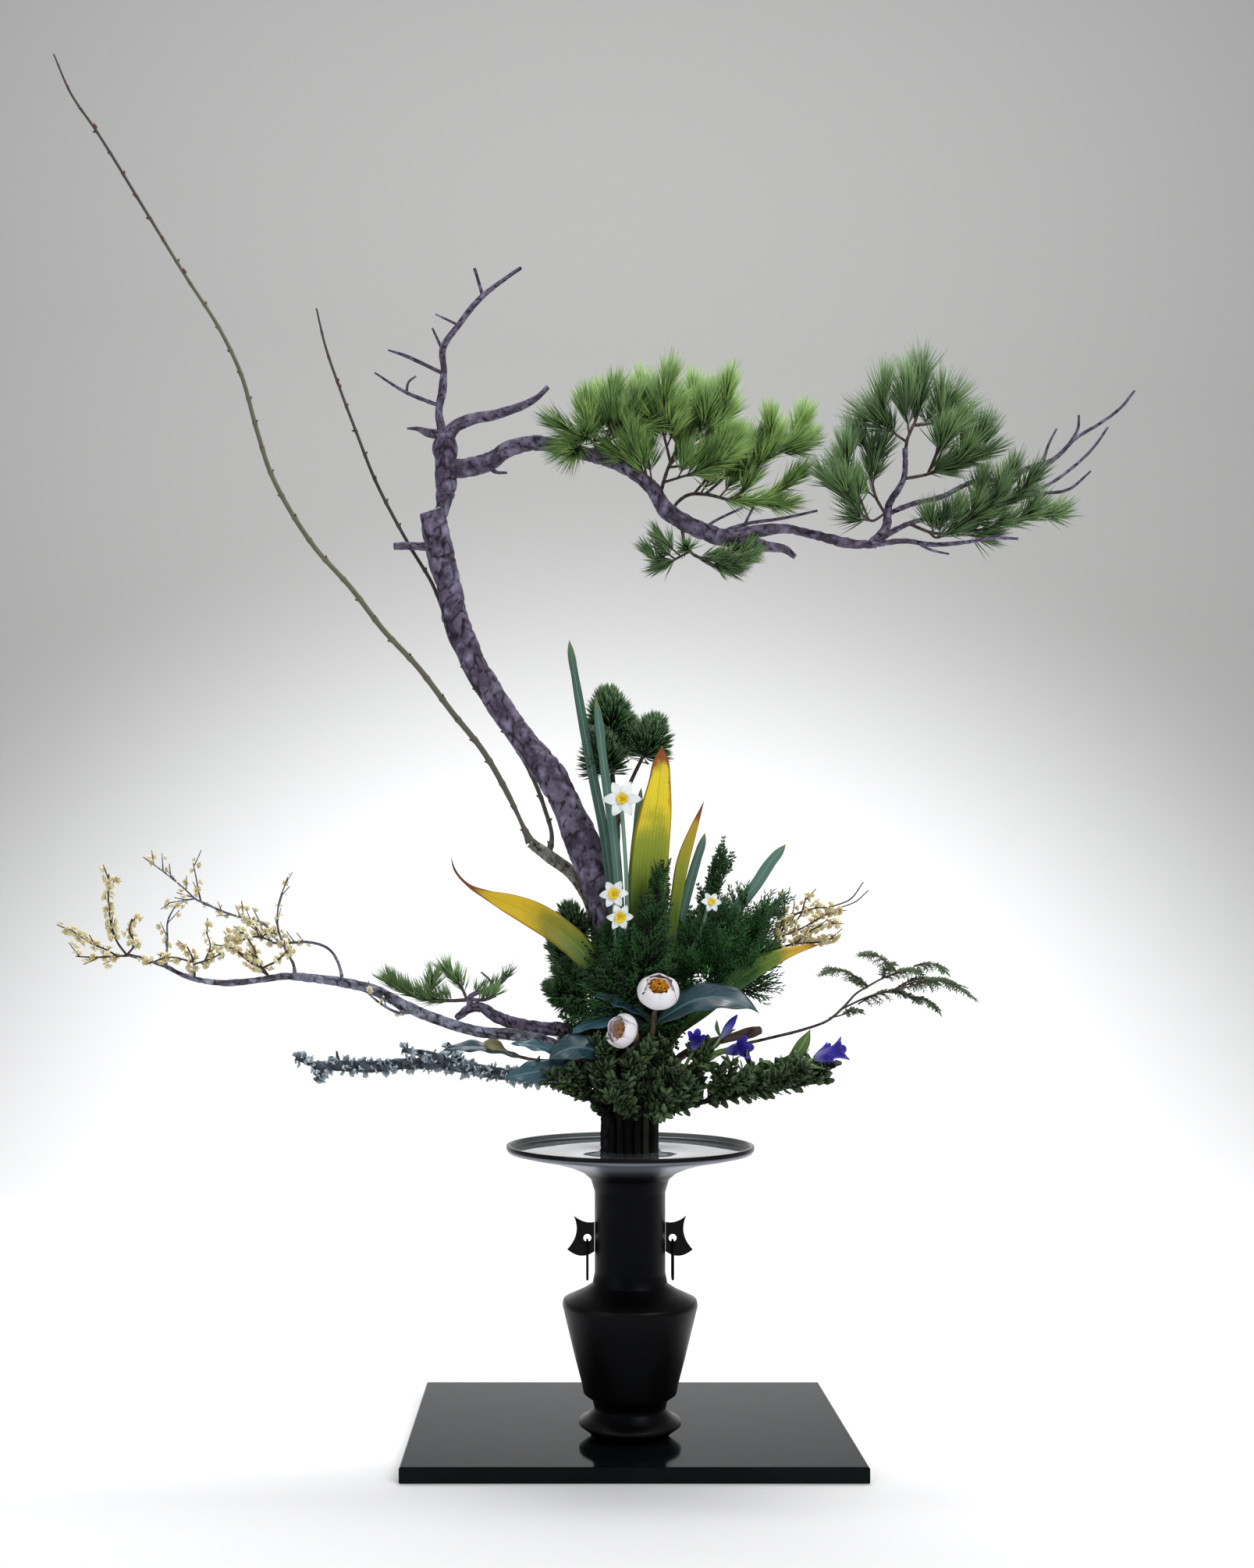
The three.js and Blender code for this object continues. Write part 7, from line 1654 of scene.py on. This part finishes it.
FLOWERS = {
    "camellia_open": ((24, -68, 462), (0.05, -0.85, 0.5), 5),
    "camellia_side": ((-4, -70, 429), (-0.78, -0.6, 0.12), 5),
    "narcissus_upper": ((-10, -47, 659), (0, -1, 0.1), 7),
    "narcissus_middle": ((-18, -58, 564), (-0.1, -1, 0.2), 7),
    "narcissus_lower": ((-13, -62, 543), (0.15, -1, -0.25), 7),
    "narcissus_right": ((78, -44, 557), (0.2, -1, 0.2), 7),
    "gentian_left": ((60.5, -56, 412), (0.05, -0.75, 0.6), 0),
    "gentian_middle": ((92.5, -53, 409.5), (0.6, -0.75, 0.2), 0),
    "gentian_right": ((180.5, -50.6, 402.2), (0.9, -0.25, 0.35), 0),
}
narcissus = {
    "narcissus_left": (
        [column(INNER_RING, 9, 420, [-8, -22, 452, 4.2], [-9, -25, 478, 4]),
         [[-9, -27, 466, 2.4], [-5, -36, 520, 2.4], [-5, -37, 580, 2.2], [-8, -36, 630, 2.1],
          [-9.5, -34.5, 650, 2.2], *stalk_end(FLOWERS["narcissus_upper"], 2.2)],
         [[-10, -27, 466, 2.4], [-15, -38, 505, 2.2], [-18, -43, 535, 2], [-17.5, -44, 556, 2],
          *stalk_end(FLOWERS["narcissus_middle"], 2)],
         [[-17.8, -42.5, 534, 1.6], [-15, -48, 544, 1.8], *stalk_end(FLOWERS["narcissus_lower"], 1.8)]],
        [([[-9, -23, 466, 5], [-16, -23, 530, 8], [-28, -18, 634, 10], [-37, -17, 680, 10],
           [-56, -15, 786, 7.6], [-61, -15, 816, 5], [-62, -15, 824, 0]], FACING),
         ([[-8, -26, 466, 5], [-10, -33, 520, 8], [-16, -32, 611, 10], [-28, -30, 700, 8.6],
           [-34.5, -29, 755, 5], [-36, -29, 765, 0]], FACING),
         ([[-7, -24, 466, 5], [-3, -22, 530, 6], [5, -17, 630, 6], [10, -14.5, 668, 4],
           [11, -14, 675, 0]], FACING)]),
    "narcissus_right": (
        [column(INNER_RING, 1, 400, [24, 10, 440, 4], [36, 7, 480, 4]),
         [[34, 7, 470, 2.2], [58, -10, 505, 2.1], [72, -24, 534, 2], [76, -29, 551, 1.9],
          *stalk_end(FLOWERS["narcissus_right"], 1.8)]],
        [([[32, 8, 466, 5], [47, 2, 520, 8], [60, -4, 575, 10], [68, -6, 603, 9], [74, -8, 622, 6],
           [76, -8, 630, 0]], FACING),
         ([[34, 8, 470, 5], [70, 6, 518, 9], [106, 6, 550, 12], [128, 6, 576, 12], [144, 6, 600, 11],
           [155, 6, 613, 7], [160, 6, 619, 0]], (0.2, -1, 0.3))]),
}
for number, (name, (stems, leaves)) in enumerate(narcissus.items()):
    piece = Piece()
    for stations in stems:
        rod(piece, stations, 2.5, 10, tint=0.4)
    for k, (stations, face) in enumerate(leaves):
        blade(piece, stations, face, 1.6, fold=0.22, step=3, half=7, tint=0.25 + 0.3 * ((k + number) % 3))
    piece.make(name + "_straps", [strap_green], name)

# %% Narcissus flowers
petal_white = Finish("narcissus_petal", roughness=0.45, specular_ior_level=0.35, subsurface_weight=0.2,
                     subsurface_scale=0.003)
along, across, tint = petal_white.marks()
ribs = (across * 19.0).sine() * 0.5
petal_white.set(
    base_color=petal_white.mix((1 - along.between(0.0, 0.3)) * 0.6,
                               petal_white.mix(tint, "eef0f1", "ffffff"), "dfe0a4"),
    normal=petal_white.bump(ribs + petal_white.noise(300, 2) * 0.6, 0.15))
cup_yellow = leaf_finish("narcissus_cup", "e9c414", "f9e42e", tip="f3cf1c", tip_from=0.85, gloss=0.45,
                         mottle=0.4)


def tepal_star(piece, flower, size, dice):
    """Six tepals in two rings of three; each is cupped, with a fine point"""
    heart, out, across, over = flower
    u, v = np.meshgrid(np.linspace(0, 1, 12), np.linspace(-1, 1, 9), indexing="ij")
    half = size * 0.32 * np.sin(np.pi * np.clip(0.1 + 0.9 * u, 0, 1)) ** 0.75 * (1 - 0.25 * u) + 0.25
    reach = 1.2 + (size - 1.2) * u
    for k in range(6):
        aim = ways_round(across, over, math.pi * k / 3 + dice.uniform(-0.08, 0.08))
        side = np.cross(out, aim)
        lift = 1.0 + (k % 2) * 0.9 + 0.16 * size * np.sin(np.pi * u) * dice.uniform(0.7, 1.3)
        lift = lift + dice.uniform(-0.1, 0.25) * size * u**2 + 0.9 * v**2 * u + 0.35 * np.sin(7 * u + 3 * v)
        grid = heart + MM * (aim * reach[..., None] + side * (half * v)[..., None] + out * lift[..., None])
        sheet(piece, grid, dice.random())


CUP_PROFILE = [(0.5, 0), (0.62, 0.1), (0.78, 0.5), (0.95, 0.92), (1.1, 1.0), (1.02, 0.96), (0.86, 0.86),
               (0.66, 0.45), (0.5, 0.2)]


def frilled_cup(piece, flower, radius, height, paint=0):
    heart, out, across, over = flower
    turns = turns_of(36)
    share, up = np.array(CUP_PROFILE).T[..., None]
    frill = 1 + 0.09 * np.maximum(up - 0.45, 0) * np.sin(9 * turns)
    reach = radius * share * (frill + 0.05 * np.maximum(up - 0.4, 0) * np.sin(5 * turns))
    lift = 1.9 + height * up * (1 + 0.05 * np.sin(6 * turns + 1))
    rings = heart + MM * (ways_round(across, over, turns) * reach[..., None] + out * lift[..., None])
    skin(piece, rings, marks_of(rings, up, 0.6, 0.6), paint)


def cup_heart(piece, flower, dice):
    """Six stamens at the bottom of a narcissus cup"""
    heart, out, across, over = flower
    feet = heart + MM * 2.4 * out + MM * 1.1 * ways_round(across, over, turns_of(6))
    spread(piece, BUD, feet, out + dice.normal(0, 0.12, (6, 3)), across, [0.0036, 0.0011, 0.0011], 0.5)


dice = np.random.default_rng(91)
for key, size in [("upper", 19.5), ("middle", 14.5), ("lower", 13.5), ("right", 10.5)]:
    heart, axis, back = FLOWERS["narcissus_" + key]
    flower = flower_frame(heart, axis)
    piece = Piece()
    rod(piece, [[*(np.array(heart) + flower[1] * far), radius] for far, radius in
                [(-back, 1.7), (-3, 1.9), (1.6, 2.6)]], 1, 12, tint=0.3, paint=1)
    tepal_star(piece, flower, size, dice)
    if key == "right":
        frilled_cup(piece, flower, 3.2, 3.4, 2)
    piece.make(f"narcissus_{key}_flower", [petal_white, strap_green, cup_yellow],
               f"narcissus_bloom_{key}")
    if key != "right":
        cup = Piece()
        frilled_cup(cup, flower, 4.9, 4.6)
        cup_heart(cup, flower, dice)
        cup.make(f"narcissus_{key}_cup", [cup_yellow], f"narcissus_cup_{key}")

# %% [markdown]
# ## Yellow blades
# These broad leaves are turning: green at the foot, clear yellow higher up, and scorched brown-orange
# at the tip and in patches on the rim. The colour runs along the leaf, and noise makes it ragged.

# %% Blades of autumn
def autumn_finish(name, yellow_from, scorch_from, foot="4f6d22", middle="b9b02a", top="e2c020",
                  scorch="8a4a16", char=0.15):
    leaf = Finish(name, specular_ior_level=0.4)
    along, across, _ = leaf.marks()
    rough = leaf.noise(36, 4, 0.6)
    ragged = along + (rough - 0.5) * 0.22 + across.size() ** 3 * 0.06
    stripes = (across * 34.0).sine() * 0.5 + 0.5
    colour = leaf.mix(ragged.between(yellow_from - 0.22, yellow_from), foot, middle)
    colour = leaf.mix(ragged.between(yellow_from, yellow_from + 0.15), colour, top)
    colour = leaf.mix(stripes * 0.22, colour, foot)
    colour = leaf.mix((1 - across.size().between(0.0, 0.09)) * 0.5, colour, "8f9a2c")
    spots = leaf.noise(110, 3, 0.7).between(0.66, 0.74) * along.between(0.35, 0.6)
    edge = (across.size() + (rough - 0.5) * 0.5).between(0.72, 1.0)
    edge = edge * along.between(yellow_from - 0.1, 0.95)
    burnt = ragged.between(scorch_from, scorch_from + 0.07)
    colour = leaf.mix(spots * 0.5 + edge * 0.9, colour, "b8661c")
    colour = leaf.mix(burnt, colour, leaf.mix(rough, scorch, "a8581c"))
    colour = leaf.mix(ragged.between(0.9, 1.0) * char, colour, "24150f")
    leaf.set(base_color=leaf.bundle_shade(colour), roughness=rough * 0.15 + 0.36,
             normal=leaf.bump(stripes + leaf.noise(300, 2) * 0.5, 0.18))
    return leaf


gentle_green = leaf_finish("blade_sheath", "3a4a22", "5d7030", gloss=0.45)
tall_yellow = autumn_finish("tall_blade", 0.68, 0.9, middle="8f9c26", top="f7df2c")
thin_green = autumn_finish("thin_blade", 0.72, 0.9, middle="8f9c2a", top="c9a52a")
side_yellow = autumn_finish("side_blade", 0.5, 0.78, middle="8a8216", top="e2bc18", scorch="5a2c12",
                            char=0.92)
right_green = autumn_finish("right_blade", 0.74, 0.93, foot="2f5520", middle="67832a", top="e6b92a")

# %% Three fans of blades
# For each blade: its stations, the way it faces, thickness, fold, wave and number of waves
BLADES = [
    ("tall_yellow_blades", "blade_upright", column(INNER_RING, 11, 392, [15, -18, 418, 3.6]), [
        ([[14, -17.5, 408, 5], [14, -20, 470, 16], [14, -23, 520, 29], [16, -26, 570, 38],
          [20, -28, 617, 37], [25, -29, 652, 31], [28.5, -30, 679, 22], [30, -29, 700, 15],
          [31, -28, 715, 0]], FACING, 1.6, 0.22, 0.8, 3, 9, tall_yellow),
        ([[15.5, -17.5, 408, 5], [30, -18, 466, 8], [40, -21, 520, 10], [46, -23, 565, 12],
          [53, -23, 602, 13], [63, -22, 632, 8], [74, -22, 661, 0]], FACING, 1.4, 0.2, 0.4, 5, 7,
         thin_green)]),
    ("left_yellow_blade", "blade_left",
     column(INNER_RING, 8, 372, [-22, -25, 405, 3.6], [-27, -31, 440, 3.4]), [
         ([[-26, -30, 428, 5], [-31, -33, 470, 14], [-45, -35, 503, 25], [-70, -35, 527, 28],
           [-98, -33, 545, 27], [-124, -31, 557, 20], [-146, -29, 566, 9], [-163, -28, 575, 3.5],
           [-177, -27, 591, 2.2], [-181, -27, 605, 0]], (0, -1, 0.15), 1.6, 0.2, 1.0, 4, 9, side_yellow)]),
    ("right_green_blade", "blade_right",
     column(INNER_RING, 0, 382, [38, -9, 412, 3.6], [54, -17, 434, 3.2]), [
         ([[48, -14.5, 426, 5], [70, -23, 449, 17], [94, -26, 470, 21], [117, -27, 487, 21],
           [140, -28, 500, 16], [165, -28, 510, 9], [190, -28, 516, 0]], (-0.2, -1, 0.2), 1.5, 0.2, 0.6,
          4, 9, right_green)]),
]
for name, node, sheath, leaves in BLADES:
    piece = Piece()
    rod(piece, sheath, 2.5, 9, paint=len(leaves))
    for paint, (stations, face, thick, fold, wave, waves, half, _) in enumerate(leaves):
        blade(piece, stations, face, thick, fold, wave, waves, 3, half, paint=paint)
    piece.make(name, [leaf[-1] for leaf in leaves] + [gentle_green], node)

# %% [markdown]
# ## Camellia leaves
# Camellia leaves are thick, stiff and very glossy, with a pale midrib, sunken side veins and a slight
# curl. A clear coat over a dark blue-green gives the cold reflections along their upper sides.

# %% Camellia leaves
camellia_green = leaf_finish("camellia_leaf", "132f37", "37606d", rib="5f868a", foot="1d3a33", gloss=0.26,
                             mottle=0.7, veins=8.0, relief=0.2, coat=0.6)
camellia_bark = bark_finish("camellia_bark", "231a16", "46382c", "6e5d48", "7e7666", 0.3, 0.15)
camellia_bud = leaf_finish("camellia_bud", "5f6a3c", "b7ad86", tip="d9cfb4", tip_from=0.8, gloss=0.4,
                           mottle=0.6)


def leafy(name, node, stems, leaves, fold, bud=None):
    piece = Piece()
    for stations in stems:
        twig(piece, stations)
    for k, (stations, face) in enumerate(leaves):
        blade(piece, stations, face, 1.3, fold, 1.2, 3.5, 1.8, 11, (0.25 + 0.37 * k) % 1, 1)
    if bud:
        rod(piece, bud, 0.8, 16, tint=0.6, paint=2)
    piece.make(name, [camellia_bark, camellia_green, camellia_bud][:3 if bud else 2], node)


leafy("camellia_front_foliage", "camellia_front_leaves", [
    column(OUTER_RING, 15, 362, [12, -42, 398, 3.2], [20, -56, 432, 3], [22, -59, 449, 3],
           *stalk_end(FLOWERS["camellia_open"], 2.8)),
], [
    ([[20, -56, 436, 4], [38, -60, 448, 20], [58, -62, 459, 31], [82, -63, 463, 34], [102, -64, 460, 24],
      [115, -64, 455, 11], [124, -64, 448, 0]], (0, -0.75, 0.65)),
    ([[20, -56, 440, 4], [2, -58, 452, 17], [-14, -58, 459, 21], [-29, -58, 464, 13], [-38, -58, 466, 0]],
     (0, -0.55, 0.8)),
    ([[18, -53, 430, 4], [-6, -50, 441, 20], [-28, -50, 441, 25], [-48, -51, 434, 14],
      [-60, -52, 427, 0]], (-0.2, -0.7, 0.7)),
], 0.2)
leafy("camellia_left_foliage", "camellia_left_leaves", [
    column(OUTER_RING, 13, 358, [-18, -38, 384, 3.2], [-26, -50, 402, 3]),
    [[-22, -44, 393, 2.6], [-8, -54, 406, 2.4], [4, -59, 420, 2.4],
     *stalk_end(FLOWERS["camellia_side"], 2.4)],
    [[-25, -49, 400, 2.4], [-60, -46, 400, 2], [-100, -34, 401, 1.8], [-126, -20, 407, 1.8]],
], [
    ([[-24, -48, 398, 4], [-38, -57, 411, 24], [-55, -61, 414, 31], [-70, -63, 410, 24],
      [-82, -64, 403, 0]], (-0.1, -0.8, 0.6)),
    ([[-56, -46, 400, 4], [-76, -56, 393, 20], [-100, -60, 389, 25], [-116, -60, 386, 13],
      [-126, -60, 384, 0]], (0, -0.8, 0.6)),
    ([[-60, -46, 400, 4], [-80, -54, 411, 13], [-100, -56, 416, 15], [-120, -56, 418, 0]], (0, -0.6, 0.8)),
    ([[-112, -28, 403, 4], [-146, -16, 411, 15], [-168, -12, 412, 17], [-190, -12, 409, 0]], (0, -0.6, 0.8)),
], 0.18, bud=[[-124, -21, 407, 1.8], [-129, -18, 409, 3.4], [-135, -15, 412, 7], [-142, -12, 415, 6.4],
              [-148, -9, 417, 1.6]])

# %% [markdown]
# ## Camellia blooms
# The open bloom is a deep bowl of overlapping white petals, drawn in at its mouth round a dense ring of
# golden stamens. Each petal lies on a surface of revolution and has its own turn, ruffle and reach.

# %% Camellia petals
camellia_white = Finish("camellia_petal", roughness=0.5, specular_ior_level=0.3, subsurface_weight=0.25,
                        subsurface_scale=0.004)
along, across, tint = camellia_white.marks()
veil = camellia_white.noise(70, 3, 0.5)
camellia_white.set(
    base_color=camellia_white.mix((1 - along.between(0.0, 0.35)) * 0.7,
                                  camellia_white.mix(tint * 0.5 + veil * 0.5, "ecdce6", "fff6f6"), "c9c096"),
    normal=camellia_white.bump((across * 26.0).sine() * 0.5 * 0.2 + veil, 0.18))
sepal_green = leaf_finish("sepal", "5b6a3a", "93935c", tip="a59a70", tip_from=0.7, gloss=0.5, mottle=0.5)
stamen_gold = leaf_finish("camellia_stamens", "c98a1c", "eebf3c", foot="e8d8a0", gloss=0.55, mottle=0.4)
anther_gold = leaf_finish("anthers", "b9720e", "e9a521", gloss=0.65, mottle=0.6)
bloom_finishes = [camellia_white, sepal_green, stamen_gold, anther_gold]


def camellia_bowl(piece, flower, size, layers, sepal_size, dice):
    """Layers of petals: count, size, how far they open, turn; and five sepals behind them"""
    for count, share, opening, first in layers:
        reach = size * share
        profile = [[1.5, -4.2], [0.42 * reach, -3.6], [0.82 * reach, 0.10 * reach], [reach, 0.45 * reach],
                   [reach * (0.86 + 0.12 * opening), 0.88 * reach],
                   [reach * (0.6 + 0.4 * opening), 1.12 * reach]]
        half = [2.2, 0.5 * reach, 0.86 * reach, 0.9 * reach, 0.68 * reach, 0.22 * reach]
        for k in range(count):
            grow = dice.uniform(0.94, 1.06)
            round_sheet(piece, flower, [[r * grow + 0.5 * (k % 2), h * grow] for r, h in profile],
                        first + 2 * math.pi * k / count + dice.uniform(-0.1, 0.1), half, dice.random(),
                        belly=1.2, ruffle=0.45)
    reach = sepal_size
    for turn in turns_of(5):
        round_sheet(piece, flower, [[1.2, -5], [0.3 * reach, -4.6], [0.52 * reach, -2.8], [0.66 * reach, 0]],
                    turn, [1.4, 0.3 * reach, 0.3 * reach, 0.06 * reach], dice.random(), 1, columns=5, rows=6)


# %% Camellia stamens
STAMEN = Pattern().add(*spindle([0, 0, 0], [0.93, 0, 0], 0.014, 3, 0.5))
ANTHER = Pattern().add(*spindle([0.88, 0, 0], [1.06, 0, 0], 0.055, 4, 0.5))


def stamen_ring(piece, flower, count, inner, outer, height, dice, paint):
    """Stamens with the finish `paint`, and anthers with the next one"""
    heart, out, across, over = flower
    ways = ways_round(across, over, dice.uniform(0, 2 * np.pi, count))
    share = dice.random(count)[:, None] ** 0.7
    feet = heart + ways * inner * (0.3 + 0.7 * share) * MM - out * 1.5 * MM
    tips = heart + ways * outer * (0.25 + 0.75 * share) * MM + out * (
        height * (1 - 0.18 * share) * dice.uniform(0.85, 1.08, (count, 1))) * MM
    tone = dice.random(count)
    long = np.linalg.norm(tips - feet, axis=1)[:, None]
    for k, pattern in enumerate((STAMEN, ANTHER)):
        spread(piece, pattern, feet, tips - feet, ways, long, tone, paint + k)


dice = np.random.default_rng(101)
open_bloom = Piece()
flower = flower_frame(FLOWERS["camellia_open"][0], (0.05, -0.72, 0.69))
camellia_bowl(open_bloom, flower, 19, [(5, 1.0, 0.0, 0.3), (5, 0.88, -0.15, 0.95)], 20, dice)
open_bloom.make("camellia_open_petals", bloom_finishes, "camellia_bloom_open")
stamens = Piece()
stamen_ring(stamens, flower, 170, 4.2, 9.5, 22, dice, 0)
stamens.make("camellia_open_stamens", [stamen_gold, anther_gold], "camellia_stamens")

side_bloom = Piece()
flower = flower_frame(FLOWERS["camellia_side"][0], (-0.74, -0.62, 0.26))
camellia_bowl(side_bloom, flower, 15.5, [(5, 1.0, 0.35, 0.1), (4, 0.86, 0.2, 0.8)], 18, dice)
stamen_ring(side_bloom, flower, 90, 3.6, 8, 14, dice, 2)
side_bloom.make("camellia_side_petals", bloom_finishes, "camellia_bloom_side")

# %% [markdown]
# ## Gentians
# Gentians are blue-violet trumpets with five pointed lobes, a paler throat with dark stripes, and a
# green cup of sepals at the foot, on stems with narrow leaves.

# %% Gentian
gentian_leaf = leaf_finish("gentian_leaf", "3d5a2c", "7b9a50", rib="9db572", foot="5f7440", gloss=0.42,
                           mottle=0.5)
gentian_blue = Finish("gentian_petal", roughness=0.45, specular_ior_level=0.35)
along, across, tint = gentian_blue.marks()
stripe = (across * (2 * math.pi * 15)).sine().between(0.2, 0.9)
violet = gentian_blue.mix(along.between(0.1, 0.75), "8f93c8", gentian_blue.mix(tint, "2c1f94", "4a3ac0"))
gentian_blue.set(base_color=gentian_blue.mix(stripe * 0.35, violet, "221463"),
                 normal=gentian_blue.bump(stripe * 0.6 + gentian_blue.noise(260, 2) * 0.5, 0.2))


def trumpet(piece, heart, axis, length, radius, tint, spread_out):
    """A gentian flower: a tube that widens to five pointed lobes, hollow at its mouth"""
    heart, out, across, over = flower_frame(heart, axis)
    turns = turns_of(40)
    lobe = np.abs(np.cos(2.5 * turns))
    s = np.concatenate([np.linspace(0, 1, 14), np.linspace(1, 0.35, 14)])[:, None]
    thick = np.repeat([0, 0.7], 14)[:, None]
    tube = radius * (0.28 + 0.34 * np.sin(np.minimum(s / 0.62, 1) * math.pi / 2))
    flare = np.maximum(s - 0.62, 0) / 0.38
    reach = tube + radius * 0.5 * spread_out * flare**1.5 * (0.35 + 0.75 * lobe) - thick
    lift = length * (np.minimum(s, 0.72) + np.maximum(s - 0.72, 0) * (0.35 + 0.75 * lobe**0.7)) - thick * 0.3
    rings = heart + MM * (ways_round(across, over, turns) * reach[..., None] + out * lift[..., None])
    skin(piece, rings, marks_of(rings, s, turns / (2 * np.pi), tint))


for key, length, radius, spread_out in [("left", 22, 8.5, 0.9), ("middle", 27, 10, 1.1),
                                        ("right", 31, 10.5, 1.1)]:
    heart, axis, _ = FLOWERS["gentian_" + key]
    _, out, across, over = flower_frame(heart, axis)
    piece = Piece()
    trumpet(piece, heart, axis, length, radius, 0.4, spread_out)
    for turn in turns_of(5) + 0.5:
        aim = out * 0.94 + ways_round(across, over, turn) * 0.3
        sepal = [[*(np.array(heart) + aim * far), width] for far, width in [(-1, 2.4), (4, 3.0), (10, 0)]]
        blade(piece, sepal, -np.cross(np.cross(out, aim), aim), 0.9, step=1.2, half=3, paint=1)
    if key == "right":
        for turn, tilt in [(0.6, 0.5), (3.4, 0.45)]:
            side = ways_round(across, over, turn)
            trumpet(piece, np.array(heart) + side * 2.5, out + side * tilt, 20, 6.5, 0.8, 0.6)
    piece.make(f"gentian_{key}_trumpet", [gentian_blue, gentian_leaf],
               f"gentian_bloom_{key}")

# %% Gentian stems and leaves
piece = Piece()
for line in [
    column(OUTER_RING, 16, 352, [30, -34, 372, 2.6], [52, -44, 388, 2.2]),
    [[50, -43, 387, 2], [56, -50, 402, 1.8], *stalk_end(FLOWERS["gentian_left"], 1.7)],
    [[51, -43, 388, 2], [76, -48, 402, 1.8], *stalk_end(FLOWERS["gentian_middle"], 1.8)],
    [[70, -48, 398, 1.6], [80, -46, 412, 1.5], [89, -46, 425, 1.6]],
]:
    rod(piece, line, 2, 9, tint=0.4)
rod(piece, [[88, -46, 423, 1.6], [91, -47, 427, 2.9], [95, -48.6, 433, 4.2], [99, -50, 439, 3.6],
            [104, -51.4, 446, 0.8]], 0.8, 14, tint=0.6, paint=1)
GENTIAN_LEAVES = [
    [[88, -46, 423, 2], [84, -48, 433, 4.5], [84, -50, 442, 0]],
    [[88, -46, 422, 2], [95, -46, 428, 4.5], [104, -46, 432, 0]],
    [[74, -47, 404, 2.5], [64, -52, 415, 6], [58, -58, 424, 0]],
    [[76, -47, 406, 2.5], [90, -50, 410, 6], [102, -56, 410, 0]],
    [[54, -45, 390, 2.5], [64, -58, 396, 6.5], [70, -72, 396, 0]],
    [[52, -44, 389, 2.5], [42, -56, 397, 6.5], [34, -66, 398, 0]],
]
for k, line in enumerate(GENTIAN_LEAVES):
    blade(piece, line, (0.1, -0.8, 0.6), 1.0, fold=0.2, step=1.6, half=7, tint=0.2 + 0.13 * k)
piece.make("gentian_centre_foliage", [gentian_leaf, gentian_blue],
           "gentian_centre_leaves")

piece = Piece()
rod(piece, column(OUTER_RING, 18, 344, [52, -18, 364, 2.8], [100, -30, 380, 2.4], [146, -44, 392, 2.2],
                  *stalk_end(FLOWERS["gentian_right"], 2)), 2, 9, tint=0.4)
for k, (line, face) in enumerate([
    ([[150, -44, 392, 4], [160, -50, 404, 12], [170, -52, 420, 12], [176, -53, 432, 0]], (0.3, -1, 0.2)),
    ([[160, -46, 395, 4], [172, -56, 396, 10], [190, -62, 393, 0]], (0, -0.5, 0.9)),
    ([[146, -44, 391, 3], [136, -58, 398, 8], [124, -68, 402, 0]], (0, -0.7, 0.7)),
    ([[120, -36, 385, 3], [118, -50, 394, 7], [112, -62, 400, 0]], (0, -0.7, 0.7)),
]):
    blade(piece, line, face, 1.1, fold=0.2, step=1.8, half=7, tint=0.3 + 0.15 * k)
piece.make("gentian_right_foliage", [gentian_leaf], "gentian_right_leaves")
